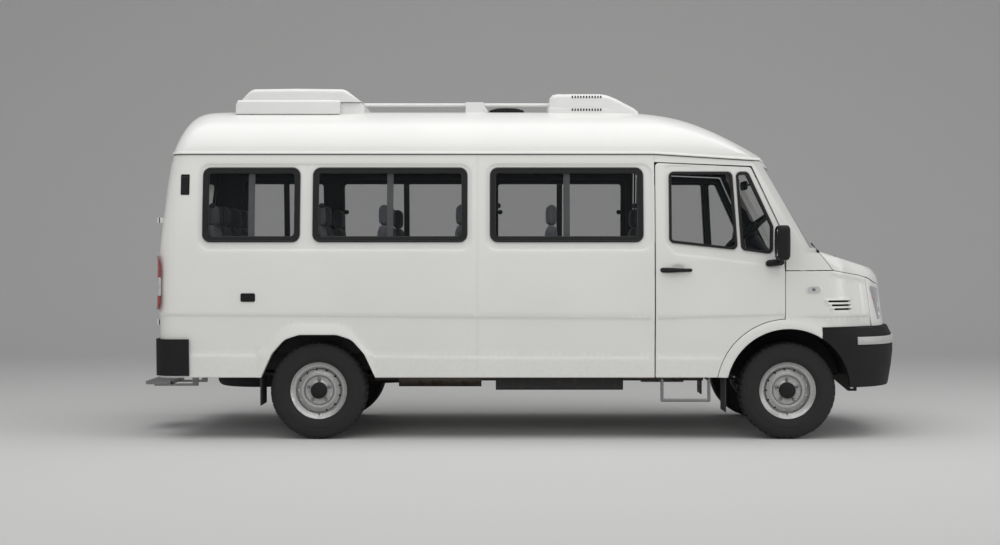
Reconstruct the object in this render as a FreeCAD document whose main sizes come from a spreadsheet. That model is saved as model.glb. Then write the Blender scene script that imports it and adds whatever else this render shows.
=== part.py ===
"""Minibus with a raised roof: parametric model, millimetres.

+X is forward, +Y is the vehicle's left, +Z is up. The origin lies on the ground,
midway along the length and the width.
"""
import FreeCAD, Part
import math
import os
import re
from types import SimpleNamespace

import Sketcher
from FreeCAD import Placement, Rotation, Vector

DRIVING_SIZES = {
    # Wheels and axles
    "front_axle_x": 1920,
    "wheelbase": 3350,
    "wheel_track": 1700,
    "tyre_radius": 346,
    "tyre_width": 215,
    "tyre_bead_radius": 193,
    "rim_flange_radius": 204,
    "rim_width": 156,
    "disc_hole_circle": 149,
    "disc_hole_radius": 7,
    "disc_hole_count": 13,
    "hub_cap_radius": 57,
    "lug_circle": 82,
    "lug_radius": 9,
    "drum_radius": 135,
    "spindle_radius": 30,
    "axle_seat_gap": 0.4,
    "kingpin_span": 1520,
    "kingpin_radius": 14,
    "kingpin_clearance": 0.6,
    "axle_beam_height": 55,
    "axle_tube_radius": 45,
    "differential_radius": 150,
    # Body levels
    "sill_height": 442,
    "crease_height": 885,
    "gutter_height": 2045,
    "header_height": 1996,
    "crown_height": 2386,
    "lean_start_height": 1300,
    "bonnet_seam_height": 1206,
    # Body widths, as half widths
    "sill_half_width": 974,
    "waist_half_width": 1000,
    "gutter_half_width": 914,
    # Body ends
    "body_rear_x": -2578,
    "rear_lean": 92,
    "rear_corner_radius": 110,
    "wall": 50,
    "roof_wall": 34,
    "skin_gap": 8,
    "seat_gap": 0.3,
    # Windscreen surface at its foot, in the middle of the vehicle
    "screen_foot_x": 2265,
    "screen_foot_height": 1342,
    "screen_lean": 0.608,
    "screen_radius": 2000,
    "screen_top_height": 1955,
    "screen_half_width": 800,
    # Side windows
    "window_bottom": 1408,
    "window_top": 1939,
    "window_corner": 54,
    "rubber_width": 38,
    "rubber_proud": 6,
    "glass_inset": 18,
    "glass_thickness": 6,
    "window_one_start": -2254,
    "window_one_length": 692,
    "window_two_start": -1469,
    "window_two_length": 1100,
    "window_three_start": -205,
    "window_three_length": 1091,
    # Front doors
    "door_rear_x": 974,
    "door_front_x": 1892,
    "door_top_rear": 1973,
    "door_top_front": 1944,
    "door_shoulder_height": 1289,
    "door_top_front_x": 1656,
    "door_window_rear_x": 1071,
    "door_window_top": 1909,
    "door_window_foot_rear": 1404,
    "door_window_foot_front": 1352,
    "door_bar_top_x": 1522,
    "door_bar_foot_x": 1556,
    "door_bar_width": 27,
    "quarter_window_top_x": 1636,
    "quarter_window_tip_x": 1810,
    "quarter_window_tip_height": 1519,
    "door_window_corner": 34,
    "handle_start_x": 1019,
    "handle_length": 206,
    "handle_height": 1205,
    "mirror_x": 1800,
    "mirror_depth": 97,
    "mirror_width": 170,
    "mirror_bottom": 1277,
    "mirror_height": 245,
    "mirror_stand_off": 1062,
    "door_knee_x": 1848,
    "door_knee_height": 1531,
    "hinge_stand_off": 6,
    "hinge_barrel_radius": 5,
    "hinge_barrel_length": 40,
    "lower_hinge_height": 960,
    "upper_hinge_height": 1100,
    "arch_radius": 443,
    "flare_radius": 515,
    # Sliding door
    "sliding_door_start": -252,
    "sliding_door_end": 948,
    "sliding_door_bottom": 480,
    "sliding_door_top": 2000,
    # Rear doors
    "rear_door_bottom": 726,
    "rear_door_top": 1990,
    "rear_hinge_y": 846,
    "rear_hinge_x": -2592,
    "rear_hinge_radius": 9,
    "rear_window_bottom": 1330,
    "rear_window_top": 1880,
    "rear_window_inner_y": 90,
    "rear_window_outer_y": 720,
    # Nose
    "nose_x": 2716,
    "nose_lean": -0.13,
    "nose_height": 831,
    "nose_front_radius": 2600,
    "nose_corner_x": 2500,
    "bonnet_wall": 18,
    "bonnet_crown": 26,
    "bonnet_rear_x": 2315,
    "bonnet_rear_radius": 2700,
    "bonnet_seam_x": 2241,
    "bonnet_slope": 0.327,
    "bonnet_shoulder_radius": 70,
    "bonnet_hinge_x": 2240,
    "bonnet_hinge_height": 1306,
    "bonnet_hinge_y": 560,
    "bumper_top": 795,
    "bumper_bottom": 372,
    "bumper_front_x": 2818,
    "bumper_rear_x": 2158,
    "bumper_wall": 60,
    # Rear bumper and steps
    "rear_bumper_x": -2606,
    "rear_bumper_end_x": -2346,
    "rear_bumper_top": 716,
    "rear_bumper_bottom": 455,
    "rear_step_end_x": -2818,
    "rear_step_depth": 200,
    "rear_step_width": 500,
    "rear_step_height": 350,
    "rear_step_thickness": 24,
    "side_step_start": 1011,
    "side_step_length": 357,
    "side_step_height": 266,
    "step_tube_radius": 11,
    # Frame and running gear
    "rail_span": 860,
    "rail_width": 60,
    "rail_bottom": 462,
    "floor_bottom": 600,
    "floor_thickness": 30,
    "spring_length": 1100,
    "spring_thickness": 32,
    "spring_width": 60,
    "engine_start_x": 2040,
    "engine_length": 470,
    "engine_width": 540,
    "engine_bottom": 500,
    "engine_height": 560,
    "tank_start_x": -166,
    "tank_length": 916,
    "tank_bottom": 343,
    "tank_height": 205,
    "tank_width": 380,
    "tank_inner_y": 470,
    "spare_x": -1957,
    "spare_bottom": 322,
    "propshaft_radius": 38,
    "gearbox_length": 640,
    "gearbox_width": 260,
    "gearbox_bottom": 405,
    "gearbox_height": 180,
    "exhaust_y": 260,
    "exhaust_height": 392,
    "silencer_radius": 68,
    "exhaust_radius": 24,
    "tow_eye_x": 2486,
    "tow_eye_height": 336,
    "tow_eye_radius": 18,
    # Roof pieces
    "rear_unit_start": -2110,
    "rear_unit_length": 992,
    "rear_unit_width": 1240,
    "rear_unit_top": 2550,
    "front_unit_start": 216,
    "front_unit_length": 688,
    "front_unit_width": 1040,
    "front_unit_top": 2510,
    "rail_height": 2434,
    "rail_radius": 12.5,
    # Cabin
    "seat_height": 1060,
    "headrest_top": 1680,
    "seat_width": 430,
    "seat_depth": 350,
    "steering_wheel_radius": 200,
    "steering_wheel_x": 1712,
    "steering_wheel_y": 420,
    "steering_wheel_height": 1500,
    "steering_tube_radius": 14,
    "dashboard_rear_x": 1725,
    "dashboard_top": 1345,
}

doc = FreeCAD.newDocument("Minibus")
sheet = doc.addObject("Spreadsheet::Sheet", "Sizes")
for row, (name, value) in enumerate(DRIVING_SIZES.items(), start=1):
    sheet.set(f"A{row}", name)
    sheet.set(f"B{row}", str(value))
    sheet.setAlias(f"B{row}", name)
doc.recompute()
s = SimpleNamespace(**{name: float(sheet.get(name)) for name in DRIVING_SIZES})

FAR = 4000.0
REAR_AXLE_X = s.front_axle_x - s.wheelbase
CROSS_MEMBERS = (REAR_AXLE_X + 420, -480, 260, 1180)
SIDES = {"right": -1, "left": 1}
nodes = []


def formula(text):
    """Write a formula in size names; each name is looked up in the sheet."""
    return re.sub(r"[a-z_]+", lambda word: f"Sizes.{word[0]}" if word[0] in DRIVING_SIZES else word[0], text)


def keep(obj, label):
    """Give an object its node name and list it for export."""
    obj.Label = label
    nodes.append(obj)
    return obj


def feature(label, shape):
    """Make a node from a shape that was built from the sheet's sizes."""
    obj = doc.addObject("Part::Feature", label)
    obj.Shape = shape
    obj.Placement = Placement()
    return keep(obj, label)


def bind(obj, **formulas):
    """Bind properties to sheet formulas; a double underscore stands for a dot."""
    for prop, text in formulas.items():
        obj.setExpression(prop.replace("__", "."), formula(text))
    return obj


def origin_plane(body, role):
    """Return one of a body's own origin planes."""
    return next(item for item in body.Origin.OriginFeatures if item.Role == role)


def profile(body, name, plane, corners):
    """Sketch a closed outline whose corners are pairs of sheet formulas."""
    sketch = body.newObject("Sketcher::SketchObject", name)
    sketch.AttachmentSupport = [(origin_plane(body, plane), "")]
    sketch.MapMode = "FlatFace"
    start = [(60.0 * math.cos(i), 60.0 * math.sin(i)) for i in range(len(corners))]
    for i in range(len(corners)):
        first, second = start[i], start[(i + 1) % len(corners)]
        sketch.addGeometry(Part.LineSegment(Vector(*first, 0), Vector(*second, 0)), False)
    for i in range(len(corners)):
        following = (i + 1) % len(corners)
        sketch.addConstraint(Sketcher.Constraint("Coincident", i, 2, following, 1))
    for i, (across, up) in enumerate(corners):
        for kind, text in (("DistanceX", across), ("DistanceY", up)):
            index = sketch.addConstraint(Sketcher.Constraint(kind, -1, 1, i, 1, 1.0))
            sketch.setExpression(f"Constraints[{index}]", formula(text))
    return sketch


def revolved(body, sketch):
    """Turn an outline round the sketch's vertical axis."""
    turn = body.newObject("PartDesign::Revolution", "Turn")
    turn.Profile = sketch
    turn.ReferenceAxis = (sketch, ["V_Axis"])
    turn.Angle = 360
    return turn


def polygon_face(points, plane, offset=0.0):
    """Face from a closed outline in the XZ, YZ or XY plane at an offset."""
    place = {
        "XZ": lambda a, b: Vector(a, offset, b),
        "YZ": lambda a, b: Vector(offset, a, b),
        "XY": lambda a, b: Vector(a, b, offset),
    }[plane]
    corners = [place(a, b) for a, b in points]
    return Part.Face(Part.makePolygon(corners + corners[:1]))


def side_prism(points, y_start, y_end):
    """Prism across the vehicle from an outline seen from the side."""
    return polygon_face(points, "XZ", y_start).extrude(Vector(0, y_end - y_start, 0))


def end_prism(points, x_start, x_end):
    """Prism along the vehicle from an outline seen from the end."""
    return polygon_face(points, "YZ", x_start).extrude(Vector(x_end - x_start, 0, 0))


def block(x_start, x_end, y_start, y_end, z_start, z_end):
    """Box between two corners, given in any order."""
    low = Vector(min(x_start, x_end), min(y_start, y_end), min(z_start, z_end))
    size = (abs(x_end - x_start), abs(y_end - y_start), abs(z_end - z_start))
    return Part.makeBox(*size, low)


def rounded_outline(x_start, x_end, z_start, z_end, radius):
    """Wire of a rectangle with round corners in the XZ plane."""
    wire = Part.makePolygon([
        Vector(x_start, 0, z_start), Vector(x_end, 0, z_start),
        Vector(x_end, 0, z_end), Vector(x_start, 0, z_end), Vector(x_start, 0, z_start),
    ])
    if radius <= 0:
        return wire
    solid = Part.Face(wire).extrude(Vector(0, 10, 0))
    upright = [e for e in solid.Edges if abs(e.tangentAt(e.FirstParameter).y) > 0.9]
    rounded = solid.makeFillet(radius, upright)
    return next(f for f in rounded.Faces if abs(f.CenterOfMass.y) < 1e-6).OuterWire


def window_prism(x_start, x_end, z_start, z_end, radius, y_start, y_end):
    """Rounded prism across the vehicle for a window or a recess."""
    outline = rounded_outline(x_start, x_end, z_start, z_end, radius)
    face = Part.Face(outline)
    face.translate(Vector(0, y_start, 0))
    return face.extrude(Vector(0, y_end - y_start, 0))


def mirrored(shape):
    """Copy on the other side of the vehicle."""
    return shape.mirror(Vector(0, 0, 0), Vector(0, 1, 0))


def for_side(shape_on_right, side):
    """Use a right-hand shape as it is, or its mirror image on the left."""
    return shape_on_right if side == "right" else mirrored(shape_on_right)


def joined(shapes):
    """Fuse a list of shapes into one."""
    result = shapes[0].multiFuse(shapes[1:]) if len(shapes) > 1 else shapes[0]
    return result.removeSplitter()


def apart(shapes):
    """Collect solids that share a node but don't touch."""
    solids = []
    for shape in shapes:
        solids.extend(shape.Solids)
    return Part.makeCompound(solids)


def rod(start, end, radius):
    """Round bar between two points."""
    axis = end - start
    return Part.makeCylinder(radius, axis.Length, start, axis)


def half_width(height):
    """Half width of the body side at a height: slanted below the crease, curved above it."""
    if height <= s.crease_height:
        share = (height - s.sill_height) / (s.crease_height - s.sill_height)
        return s.sill_half_width + share * (s.waist_half_width - s.sill_half_width)
    share = (height - s.crease_height) / (s.gutter_height - s.crease_height)
    return s.waist_half_width - (s.waist_half_width - s.gutter_half_width) * share ** 2


def rear_x(height):
    """Rear face of the body at a height: upright, then leaning forward."""
    share = max(0.0, height - s.lean_start_height) / (s.gutter_height - s.lean_start_height)
    return s.body_rear_x + s.rear_lean * share ** 1.3


def cabin_plan(height, inset):
    """Plan outline of the cabin at one height, open to the front beyond the windscreen."""
    back = rear_x(height) + inset
    side = half_width(height) - inset
    radius = max(s.rear_corner_radius - inset, 20.0)
    front = s.screen_foot_x + 600
    turn = radius * (1 - math.sqrt(0.5))
    wire = Part.Wire([
        Part.makeLine(Vector(front, -side, height), Vector(back + radius, -side, height)),
        Part.Arc(Vector(back + radius, -side, height), Vector(back + turn, -side + turn, height),
                 Vector(back, -side + radius, height)).toShape(),
        Part.makeLine(Vector(back, -side + radius, height), Vector(back, side - radius, height)),
        Part.Arc(Vector(back, side - radius, height), Vector(back + turn, side - turn, height),
                 Vector(back + radius, side, height)).toShape(),
        Part.makeLine(Vector(back + radius, side, height), Vector(front, side, height)),
        Part.makeLine(Vector(front, side, height), Vector(front, -side, height)),
    ])
    return wire


def screen_x(height, y, inset=0.0):
    """Windscreen surface at a height and a distance from the middle."""
    rise = height - s.screen_foot_height
    return s.screen_foot_x - inset - s.screen_lean * rise - y * y / (2 * s.screen_radius)


def screen_prism(inset):
    """Solid behind the windscreen surface: a curved plan swept along the screen's lean."""
    low = s.sill_height - 300
    high = s.crown_height + 300
    sweep = Vector(-s.screen_lean * (high - low), 0, high - low)
    reach = 1300.0
    front = Part.Arc(
        Vector(screen_x(low, reach, inset), -reach, low),
        Vector(screen_x(low, 0, inset), 0, low),
        Vector(screen_x(low, reach, inset), reach, low),
    ).toShape()
    back = -FAR
    outline = Part.Wire([
        front,
        Part.makeLine(Vector(screen_x(low, reach, inset), reach, low), Vector(back, reach, low)),
        Part.makeLine(Vector(back, reach, low), Vector(back, -reach, low)),
        Part.makeLine(Vector(back, -reach, low), Vector(screen_x(low, reach, inset), -reach, low)),
    ])
    return Part.Face(outline).extrude(sweep)


def cabin_envelope(inset, screen_inset=None):
    """Solid outline of the cabin below the roof, moved inward by an inset."""
    over = s.gutter_height + 40
    low_levels = [s.sill_height - 60, s.crease_height]
    high_levels = [s.crease_height, (s.crease_height + over) / 2, over]
    lower = Part.makeLoft([cabin_plan(z, inset) for z in low_levels], True, True)
    upper = Part.makeLoft([cabin_plan(z, inset) for z in high_levels], True, False)
    body = lower.fuse(upper)
    screen = screen_prism(inset * 1.16 if screen_inset is None else screen_inset)
    return body.common(screen)


def seam_prism(lift):
    """Space under the roof seam, which drops to the windscreen header at the front."""
    top = s.gutter_height + lift
    header = s.header_height + lift
    drop_start = s.door_top_front_x - 60
    drop_end = s.door_top_front_x + 50
    points = [(-FAR, -100), (FAR, -100), (FAR, header), (drop_end, header), (drop_start, top), (-FAR, top)]
    return side_prism(points, -FAR / 2, FAR / 2)


def door_outline(grow):
    """Side outline of a front door, grown by a gap all round."""
    arch = s.flare_radius - grow
    hub = Vector(s.front_axle_x, 0, s.tyre_radius)
    low = s.sill_height - (grow * 8 if grow > 0 else 0)
    rear = s.door_rear_x - grow
    front = s.door_front_x + grow
    foot_x = hub.x - math.sqrt(arch ** 2 - (low - hub.z) ** 2)
    brow_z = hub.z + math.sqrt(arch ** 2 - (front - hub.x) ** 2)
    middle = math.radians(135)
    arc = Part.Arc(
        Vector(foot_x, 0, low),
        Vector(hub.x + arch * math.cos(middle), 0, hub.z + arch * math.sin(middle)),
        Vector(front, 0, brow_z),
    ).toShape()
    points = [
        Vector(front, 0, brow_z),
        Vector(front + grow * 0.2, 0, s.door_shoulder_height),
        Vector(s.door_knee_x + grow, 0, s.door_knee_height),
        Vector(s.door_top_front_x + grow, 0, s.door_top_front + grow),
        Vector(rear, 0, s.door_top_rear + grow),
        Vector(rear, 0, low),
        Vector(foot_x, 0, low),
    ]
    return Part.Face(Part.Wire([arc] + Part.makePolygon(points).Edges))


def door_prism(grow, side):
    """Door outline swept through one side of the body."""
    face = door_outline(grow)
    reach = s.waist_half_width + 100
    inner = s.waist_half_width * 0.6
    solid = face.extrude(Vector(0, -(reach - inner), 0))
    solid.translate(Vector(0, -inner, 0))
    return for_side(solid, side)


def wheel_cylinder(x, radius, y_start, y_end):
    """Round prism about a wheel's axis."""
    return Part.makeCylinder(radius, abs(y_end - y_start), Vector(x, min(y_start, y_end), s.tyre_radius),
                             Vector(0, 1, 0))


def rear_arch_outline(grow):
    """Rear wheel arch seen from the side, with a flat top and slanted shoulders."""
    points = [(-430, -100), (-404, 104), (-330, 264), (-240, 366), (-134, 401),
              (134, 401), (240, 366), (330, 264), (404, 104), (430, -100)]
    scale = 1 + grow / 400
    return [(REAR_AXLE_X + a * scale, s.tyre_radius + b * scale) for a, b in points]


def windows():
    """Side windows as start and end positions, rear to front."""
    spans = (
        (s.window_one_start, s.window_one_length),
        (s.window_two_start, s.window_two_length),
        (s.window_three_start, s.window_three_length),
    )
    return [(start, start + length) for start, length in spans]


outer = cabin_envelope(0.0)
inner = cabin_envelope(s.wall)
shell = outer.cut(inner).common(seam_prism(-1.0))
shell = shell.common(block(-FAR, FAR, -FAR, FAR, s.sill_height, FAR))


def make_sides():
    """Body sides with rear corners, window openings, rear arches and the side door."""
    start = s.body_rear_x - 100
    end = s.door_rear_x - s.skin_gap
    for side, sign in SIDES.items():
        zone = block(start, end, -FAR, -s.rear_hinge_y - 4, 0, FAR)
        panel = shell.common(for_side(zone, side))
        cuts = [side_prism(rear_arch_outline(0), sign * 400, sign * 1200)]
        for x_start, x_end in windows():
            cuts.append(window_prism(x_start, x_end, s.window_bottom, s.window_top, s.window_corner,
                                     sign * 700, sign * 1200))
        if side == "left":
            gap = s.skin_gap / 2
            cuts.append(block(s.sliding_door_start - gap, s.sliding_door_end + gap, 700, 1200,
                              s.sliding_door_bottom - gap, s.sliding_door_top + gap))
        feature(f"side_{side}", joined([panel.cut(Part.makeCompound(cuts))]))
    door_zone = block(s.sliding_door_start + s.skin_gap / 2, s.sliding_door_end - s.skin_gap / 2, 700, 1200,
                      s.sliding_door_bottom + s.skin_gap / 2, s.sliding_door_top - s.skin_gap / 2)
    door = shell.common(door_zone)
    x_start, x_end = windows()[2]
    hole = window_prism(x_start, x_end, s.window_bottom, s.window_top, s.window_corner, 700, 1200)
    feature("sliding_door", door.cut(hole))


def make_roof():
    """Raised roof with a domed front, as a shell lofted along the vehicle."""
    base = s.header_height - 40

    def crown(x):
        """Height of the roof's middle line."""
        fall_start = 420.0
        front_x = 1830.0
        if x <= fall_start:
            return s.crown_height
        share = (x - fall_start) / (front_x - fall_start)
        return s.crown_height - (s.crown_height - s.header_height - 6) * share ** 2.6

    def section(x, width, top, inset):
        """Arched section at one station."""
        side = width - inset
        rise = top - base - inset
        points = []
        steps = 12
        for i in range(steps + 1):
            angle = math.pi * i / steps
            y = side * math.copysign(abs(math.cos(angle)) ** 0.55, math.cos(angle))
            z = base + rise * max(0.0, 1 - abs(y / side) ** 3.0) ** 0.62
            points.append(Vector(x, y, z))
        arch = Part.BSplineCurve()
        arch.interpolate(points)
        return Part.Wire([arch.toShape(), Part.makeLine(points[-1], points[0])])

    def solid(inset):
        """Loft through all stations."""
        width = s.gutter_half_width + 4
        back = s.body_rear_x + s.rear_lean + inset
        stations = [
            (back, width - 70, s.gutter_height + 45),
            (back + 45, width - 26, s.gutter_height + 170),
            (back + 130, width - 4, s.crown_height - 50),
            (back + 280, width, s.crown_height - 4),
            (back + 560, width, s.crown_height),
            (-1000, width, s.crown_height), (0, width, s.crown_height),
        ]
        for x in (420, 800, 1100, 1350, 1550, 1700, 1830):
            stations.append((x, width, crown(x)))
        return Part.makeLoft([section(x, w, top, inset) for x, w, top in stations], True, False)

    outer_roof = solid(0.0)
    inner_roof = solid(s.roof_wall)
    roof = outer_roof.cut(inner_roof)
    below = seam_prism(s.seat_gap)
    roof = roof.cut(below).common(screen_prism(-6.0))
    full_shell = outer.cut(inner)
    header = full_shell.common(block(s.body_rear_x - 100, s.body_rear_x + 260, -s.rear_hinge_y - 4 + s.seat_gap,
                                     s.rear_hinge_y + 4 - s.seat_gap, s.rear_door_top + s.skin_gap,
                                     s.gutter_height + 30))
    roof = max(roof.Solids, key=lambda piece: piece.Volume)
    feature("roof", joined([roof, header.cut(inner_roof)]))
    return outer_roof


def make_front_frame():
    """Rails over the doors, windscreen pillars, header and the sill under the windscreen."""
    zone = block(s.door_rear_x - s.skin_gap + s.seat_gap, FAR, -FAR, FAR,
                 s.bonnet_seam_height + s.seat_gap, FAR)
    frame = shell.common(zone)
    cuts = [door_prism(s.skin_gap, side) for side in SIDES]
    low = s.screen_foot_height + 25
    outline = [(-s.screen_half_width, low), (s.screen_half_width, low),
               (s.screen_half_width - 110, s.screen_top_height), (-s.screen_half_width + 110, s.screen_top_height)]
    cuts.append(end_prism(outline, s.door_top_front_x - 150, FAR))
    frame = frame.cut(Part.makeCompound(cuts))
    ears = []
    for sign in (-1, 1):
        for offset in (-1, 1):
            y_near = sign * s.bonnet_hinge_y + offset * 20.5
            y_far = y_near + offset * 14
            ears.append(rod(Vector(s.bonnet_hinge_x, y_near, s.bonnet_hinge_height),
                            Vector(s.bonnet_hinge_x, y_far, s.bonnet_hinge_height), 6))
            ears.append(block(screen_x(s.bonnet_hinge_height, s.bonnet_hinge_y) - 20, s.bonnet_hinge_x, y_near,
                              y_far, s.bonnet_hinge_height - 6, s.bonnet_hinge_height + 6))
    feature("front_frame", joined(frame.Solids + ears))


def nose_plan(height, inset):
    """Plan outline of the nose at one height."""
    shift = s.nose_lean * (height - s.nose_height)
    front = s.nose_x + shift - inset
    side = half_width(height) - inset
    back = s.door_front_x - 40
    corner = s.nose_corner_x + shift - inset * 0.6
    corner_y = side * 0.80
    chord = 0.42 * side
    right = Part.BSplineCurve()
    right.interpolate([
        Vector(back + 200, -side, height),
        Vector(back + 420, -side + 22, height),
        Vector(corner - 60, -corner_y - 62, height),
        Vector(corner + 70, -corner_y + 60, height),
        Vector(front - 34, -chord, height),
        Vector(front, 0, height),
    ], Tangents=[Vector(1, 0, 0)] + [Vector(0, 0, 0)] * 4 + [Vector(0, 1, 0)],
        TangentFlags=[True, False, False, False, False, True])
    left = right.copy()
    left_edge = left.toShape().mirror(Vector(0, 0, 0), Vector(0, 1, 0))
    return Part.Wire(Part.__sortEdges__([
        Part.makeLine(Vector(back, -side, height), Vector(back + 200, -side, height)),
        right.toShape(),
        left_edge,
        Part.makeLine(Vector(back + 200, side, height), Vector(back, side, height)),
        Part.makeLine(Vector(back, side, height), Vector(back, -side, height)),
    ]))


def bonnet_top_prism(inset):
    """Space under the crowned bonnet surface, swept along its slope."""
    y = s.waist_half_width + 100
    x_back = s.door_front_x - 100
    x_front = s.nose_x + 200
    top = s.screen_foot_height + 4 - inset + s.bonnet_slope * (s.bonnet_seam_x + 4 - x_back)
    drop = -s.bonnet_slope * (x_front - x_back)
    crown = Part.Arc(Vector(x_back, -y, top - s.bonnet_crown * 2.2), Vector(x_back, 0, top),
                     Vector(x_back, y, top - s.bonnet_crown * 2.2)).toShape()
    low = 200.0
    outline = Part.Wire([
        crown,
        Part.makeLine(Vector(x_back, y, top - s.bonnet_crown * 2.2), Vector(x_back, y, low)),
        Part.makeLine(Vector(x_back, y, low), Vector(x_back, -y, low)),
        Part.makeLine(Vector(x_back, -y, low), Vector(x_back, -y, top - s.bonnet_crown * 2.2)),
    ])
    return Part.Face(outline).extrude(Vector(x_front - x_back, 0, drop))


def nose_envelope(inset):
    """Solid outline of the nose, with rounded bonnet shoulders."""
    levels_low = [s.bumper_bottom, s.crease_height]
    levels_high = [s.crease_height, 1160, 1440]
    lower = Part.makeLoft([nose_plan(z, inset) for z in levels_low], True, True)
    upper = Part.makeLoft([nose_plan(z, inset) for z in levels_high], True, False)
    body = lower.fuse(upper)
    return body.common(bonnet_top_prism(inset))


def bonnet_seam(lift):
    """Side outline of the region above the bonnet seam."""
    x, z = s.bonnet_seam_x, s.bonnet_seam_height + lift
    return [(x - 106, z + 130), (x, z), (x + 90, z - 13), (x + 208, z - 32), (x + 301, z - 58),
            (x + 349, z - 99), (x + 564, z - 108), (x + 564, z + 400), (x - 106, z + 400)]


def make_nose():
    """Bonnet, fenders with the front arch, and the grille panel."""
    outer_nose = nose_envelope(0.0)
    bonnet_shell = outer_nose.cut(nose_envelope(s.bonnet_wall))
    rear_curve = Part.Arc(
        Vector(s.bonnet_rear_x - 1100 ** 2 / (2 * s.bonnet_rear_radius), -1100, 900),
        Vector(s.bonnet_rear_x, 0, 900),
        Vector(s.bonnet_rear_x - 1100 ** 2 / (2 * s.bonnet_rear_radius), 1100, 900)).toShape()
    end_x = s.bonnet_rear_x - 1100 ** 2 / (2 * s.bonnet_rear_radius)
    ahead = Part.Face(Part.Wire([
        rear_curve,
        Part.makeLine(Vector(end_x, 1100, 900), Vector(FAR, 1100, 900)),
        Part.makeLine(Vector(FAR, 1100, 900), Vector(FAR, -1100, 900)),
        Part.makeLine(Vector(FAR, -1100, 900), Vector(end_x, -1100, 900)),
    ])).extrude(Vector(0, 0, 700))
    bonnet = bonnet_shell.common(side_prism(bonnet_seam(0), -1200, 1200)).common(ahead)
    hinge = []
    for sign in (-1, 1):
        y = sign * s.bonnet_hinge_y
        hinge.append(rod(Vector(s.bonnet_hinge_x, y - 20, s.bonnet_hinge_height),
                         Vector(s.bonnet_hinge_x, y + 20, s.bonnet_hinge_height), 6))
        hinge.append(block(s.bonnet_hinge_x - 4, s.bonnet_hinge_x + 130, y - 18, y + 18,
                           s.bonnet_hinge_height - 5, s.bonnet_hinge_height + 5))
    feature("bonnet", joined([bonnet] + hinge))

    fender_shell = outer_nose.cut(nose_envelope(s.wall))
    gap = s.skin_gap
    hub_x = s.front_axle_x
    front_split = s.nose_x - 200
    pieces = []
    lamp_zone = [block(front_split - 10, FAR, sign * 520, sign * 1100, 850, 1080) for sign in (-1, 1)]
    for side, sign in SIDES.items():
        zone = block(s.door_front_x + gap, front_split, sign * 560, sign * 1100,
                     s.bumper_top + s.seat_gap, s.bonnet_seam_height)
        skin = fender_shell.common(zone)
        skin = skin.cut(side_prism(bonnet_seam(-gap), -1200, 1200)).cut(Part.makeCompound(lamp_zone))
        band = wheel_cylinder(hub_x, s.flare_radius - gap, sign * 900, sign * 1100)
        band = band.common(block(hub_x - 700, hub_x + 250, -FAR, FAR, s.sill_height, s.bumper_top + 70))
        band = shell.common(band).fuse(fender_shell.common(band))
        flare = joined([skin, band]).cut(wheel_cylinder(hub_x, s.arch_radius, sign * 500, sign * 1200))
        flare = flare.cut(block(s.bumper_rear_x - 1, FAR, -FAR, FAR, 0, s.bumper_top + s.seat_gap))
        pieces.append(flare)
    feature("fenders", apart(pieces))

    panel_zone = block(front_split + s.seat_gap, FAR, -1100, 1100, s.bumper_top + s.seat_gap, 1300)
    panel = fender_shell.common(panel_zone).cut(side_prism(bonnet_seam(-gap), -1200, 1200))
    panel = panel.cut(Part.makeCompound(lamp_zone))
    grille = block(front_split, FAR, -470, 470, 880, 1050)
    bars = []
    for i in range(4):
        z = 880 + 34 * (i + 1)
        bars.append(block(front_split, FAR, -471, 471, z - 5, z + 5))
    bar_shell = fender_shell.common(Part.makeCompound(bars))
    feature("front_panel", joined([panel.cut(grille), bar_shell]))
    lamps = []
    lamp_shell = outer_nose.cut(nose_envelope(s.wall * 0.8))
    for sign in (-1, 1):
        zone = block(front_split - 10 + 0.5, FAR, sign * 520.5, sign * 1100, 850.5, 1079.5)
        lamps.append(lamp_shell.common(zone))
    feature("front_lamps", apart(lamps))


def make_floor():
    """Stepped floor with rear wheel boxes, toe board and rear threshold."""
    low = s.floor_bottom
    top = low + s.floor_thickness
    wide = half_width(low) - s.wall - s.seat_gap
    narrow = wide - 8
    door_start = s.door_rear_x - s.skin_gap
    step_x = s.front_axle_x - s.arch_radius - 27
    step_top = s.tyre_radius + s.arch_radius + 41
    tunnel = 520.0
    wall_x = s.engine_start_x - 40
    back = s.body_rear_x + s.wall + s.seat_gap
    pieces = [
        block(back, door_start, -wide, wide, low, top),
        block(door_start, step_x, -narrow, narrow, low, top),
        block(step_x, wall_x, -tunnel, tunnel, low, top),
        block(wall_x, wall_x + 14, -tunnel, tunnel, low, s.bonnet_hinge_height - 60),
    ]
    for sign in (-1, 1):
        pieces.append(block(step_x, step_x + 15, sign * tunnel, sign * narrow, low, step_top))
        pieces.append(block(step_x, wall_x + 14, sign * tunnel, sign * (narrow - 20), step_top - 15, step_top))
        pieces.append(block(step_x, wall_x + 14, sign * (tunnel - 15), sign * tunnel, low, step_top))
        pieces.append(block(wall_x, wall_x + 14, sign * (tunnel - 15), sign * 860, step_top - 15,
                            s.bonnet_hinge_height - 60))
        box_out = side_prism(rear_arch_outline(20), sign * 640, sign * wide)
        box_in = side_prism(rear_arch_outline(4), sign * 655, sign * (wide + 5))
        keep_above = block(-FAR, FAR, -FAR, FAR, low, FAR)
        pieces.append(box_out.common(keep_above))
    floor = joined(pieces)
    holes = [side_prism(rear_arch_outline(4), sign * 655, sign * (wide + 5)) for sign in (-1, 1)]
    floor = floor.cut(Part.makeCompound(holes))
    floor = floor.common(inside_space.fuse(block(s.screen_foot_x - 400, FAR, -860, 860, 0, 1300)))
    threshold = block(back - s.wall, back + 20, -s.rear_hinge_y + 2, s.rear_hinge_y - 2, s.sill_height + 40,
                      s.rear_door_bottom - s.skin_gap)
    feature("floor", joined([floor, threshold]))


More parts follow.
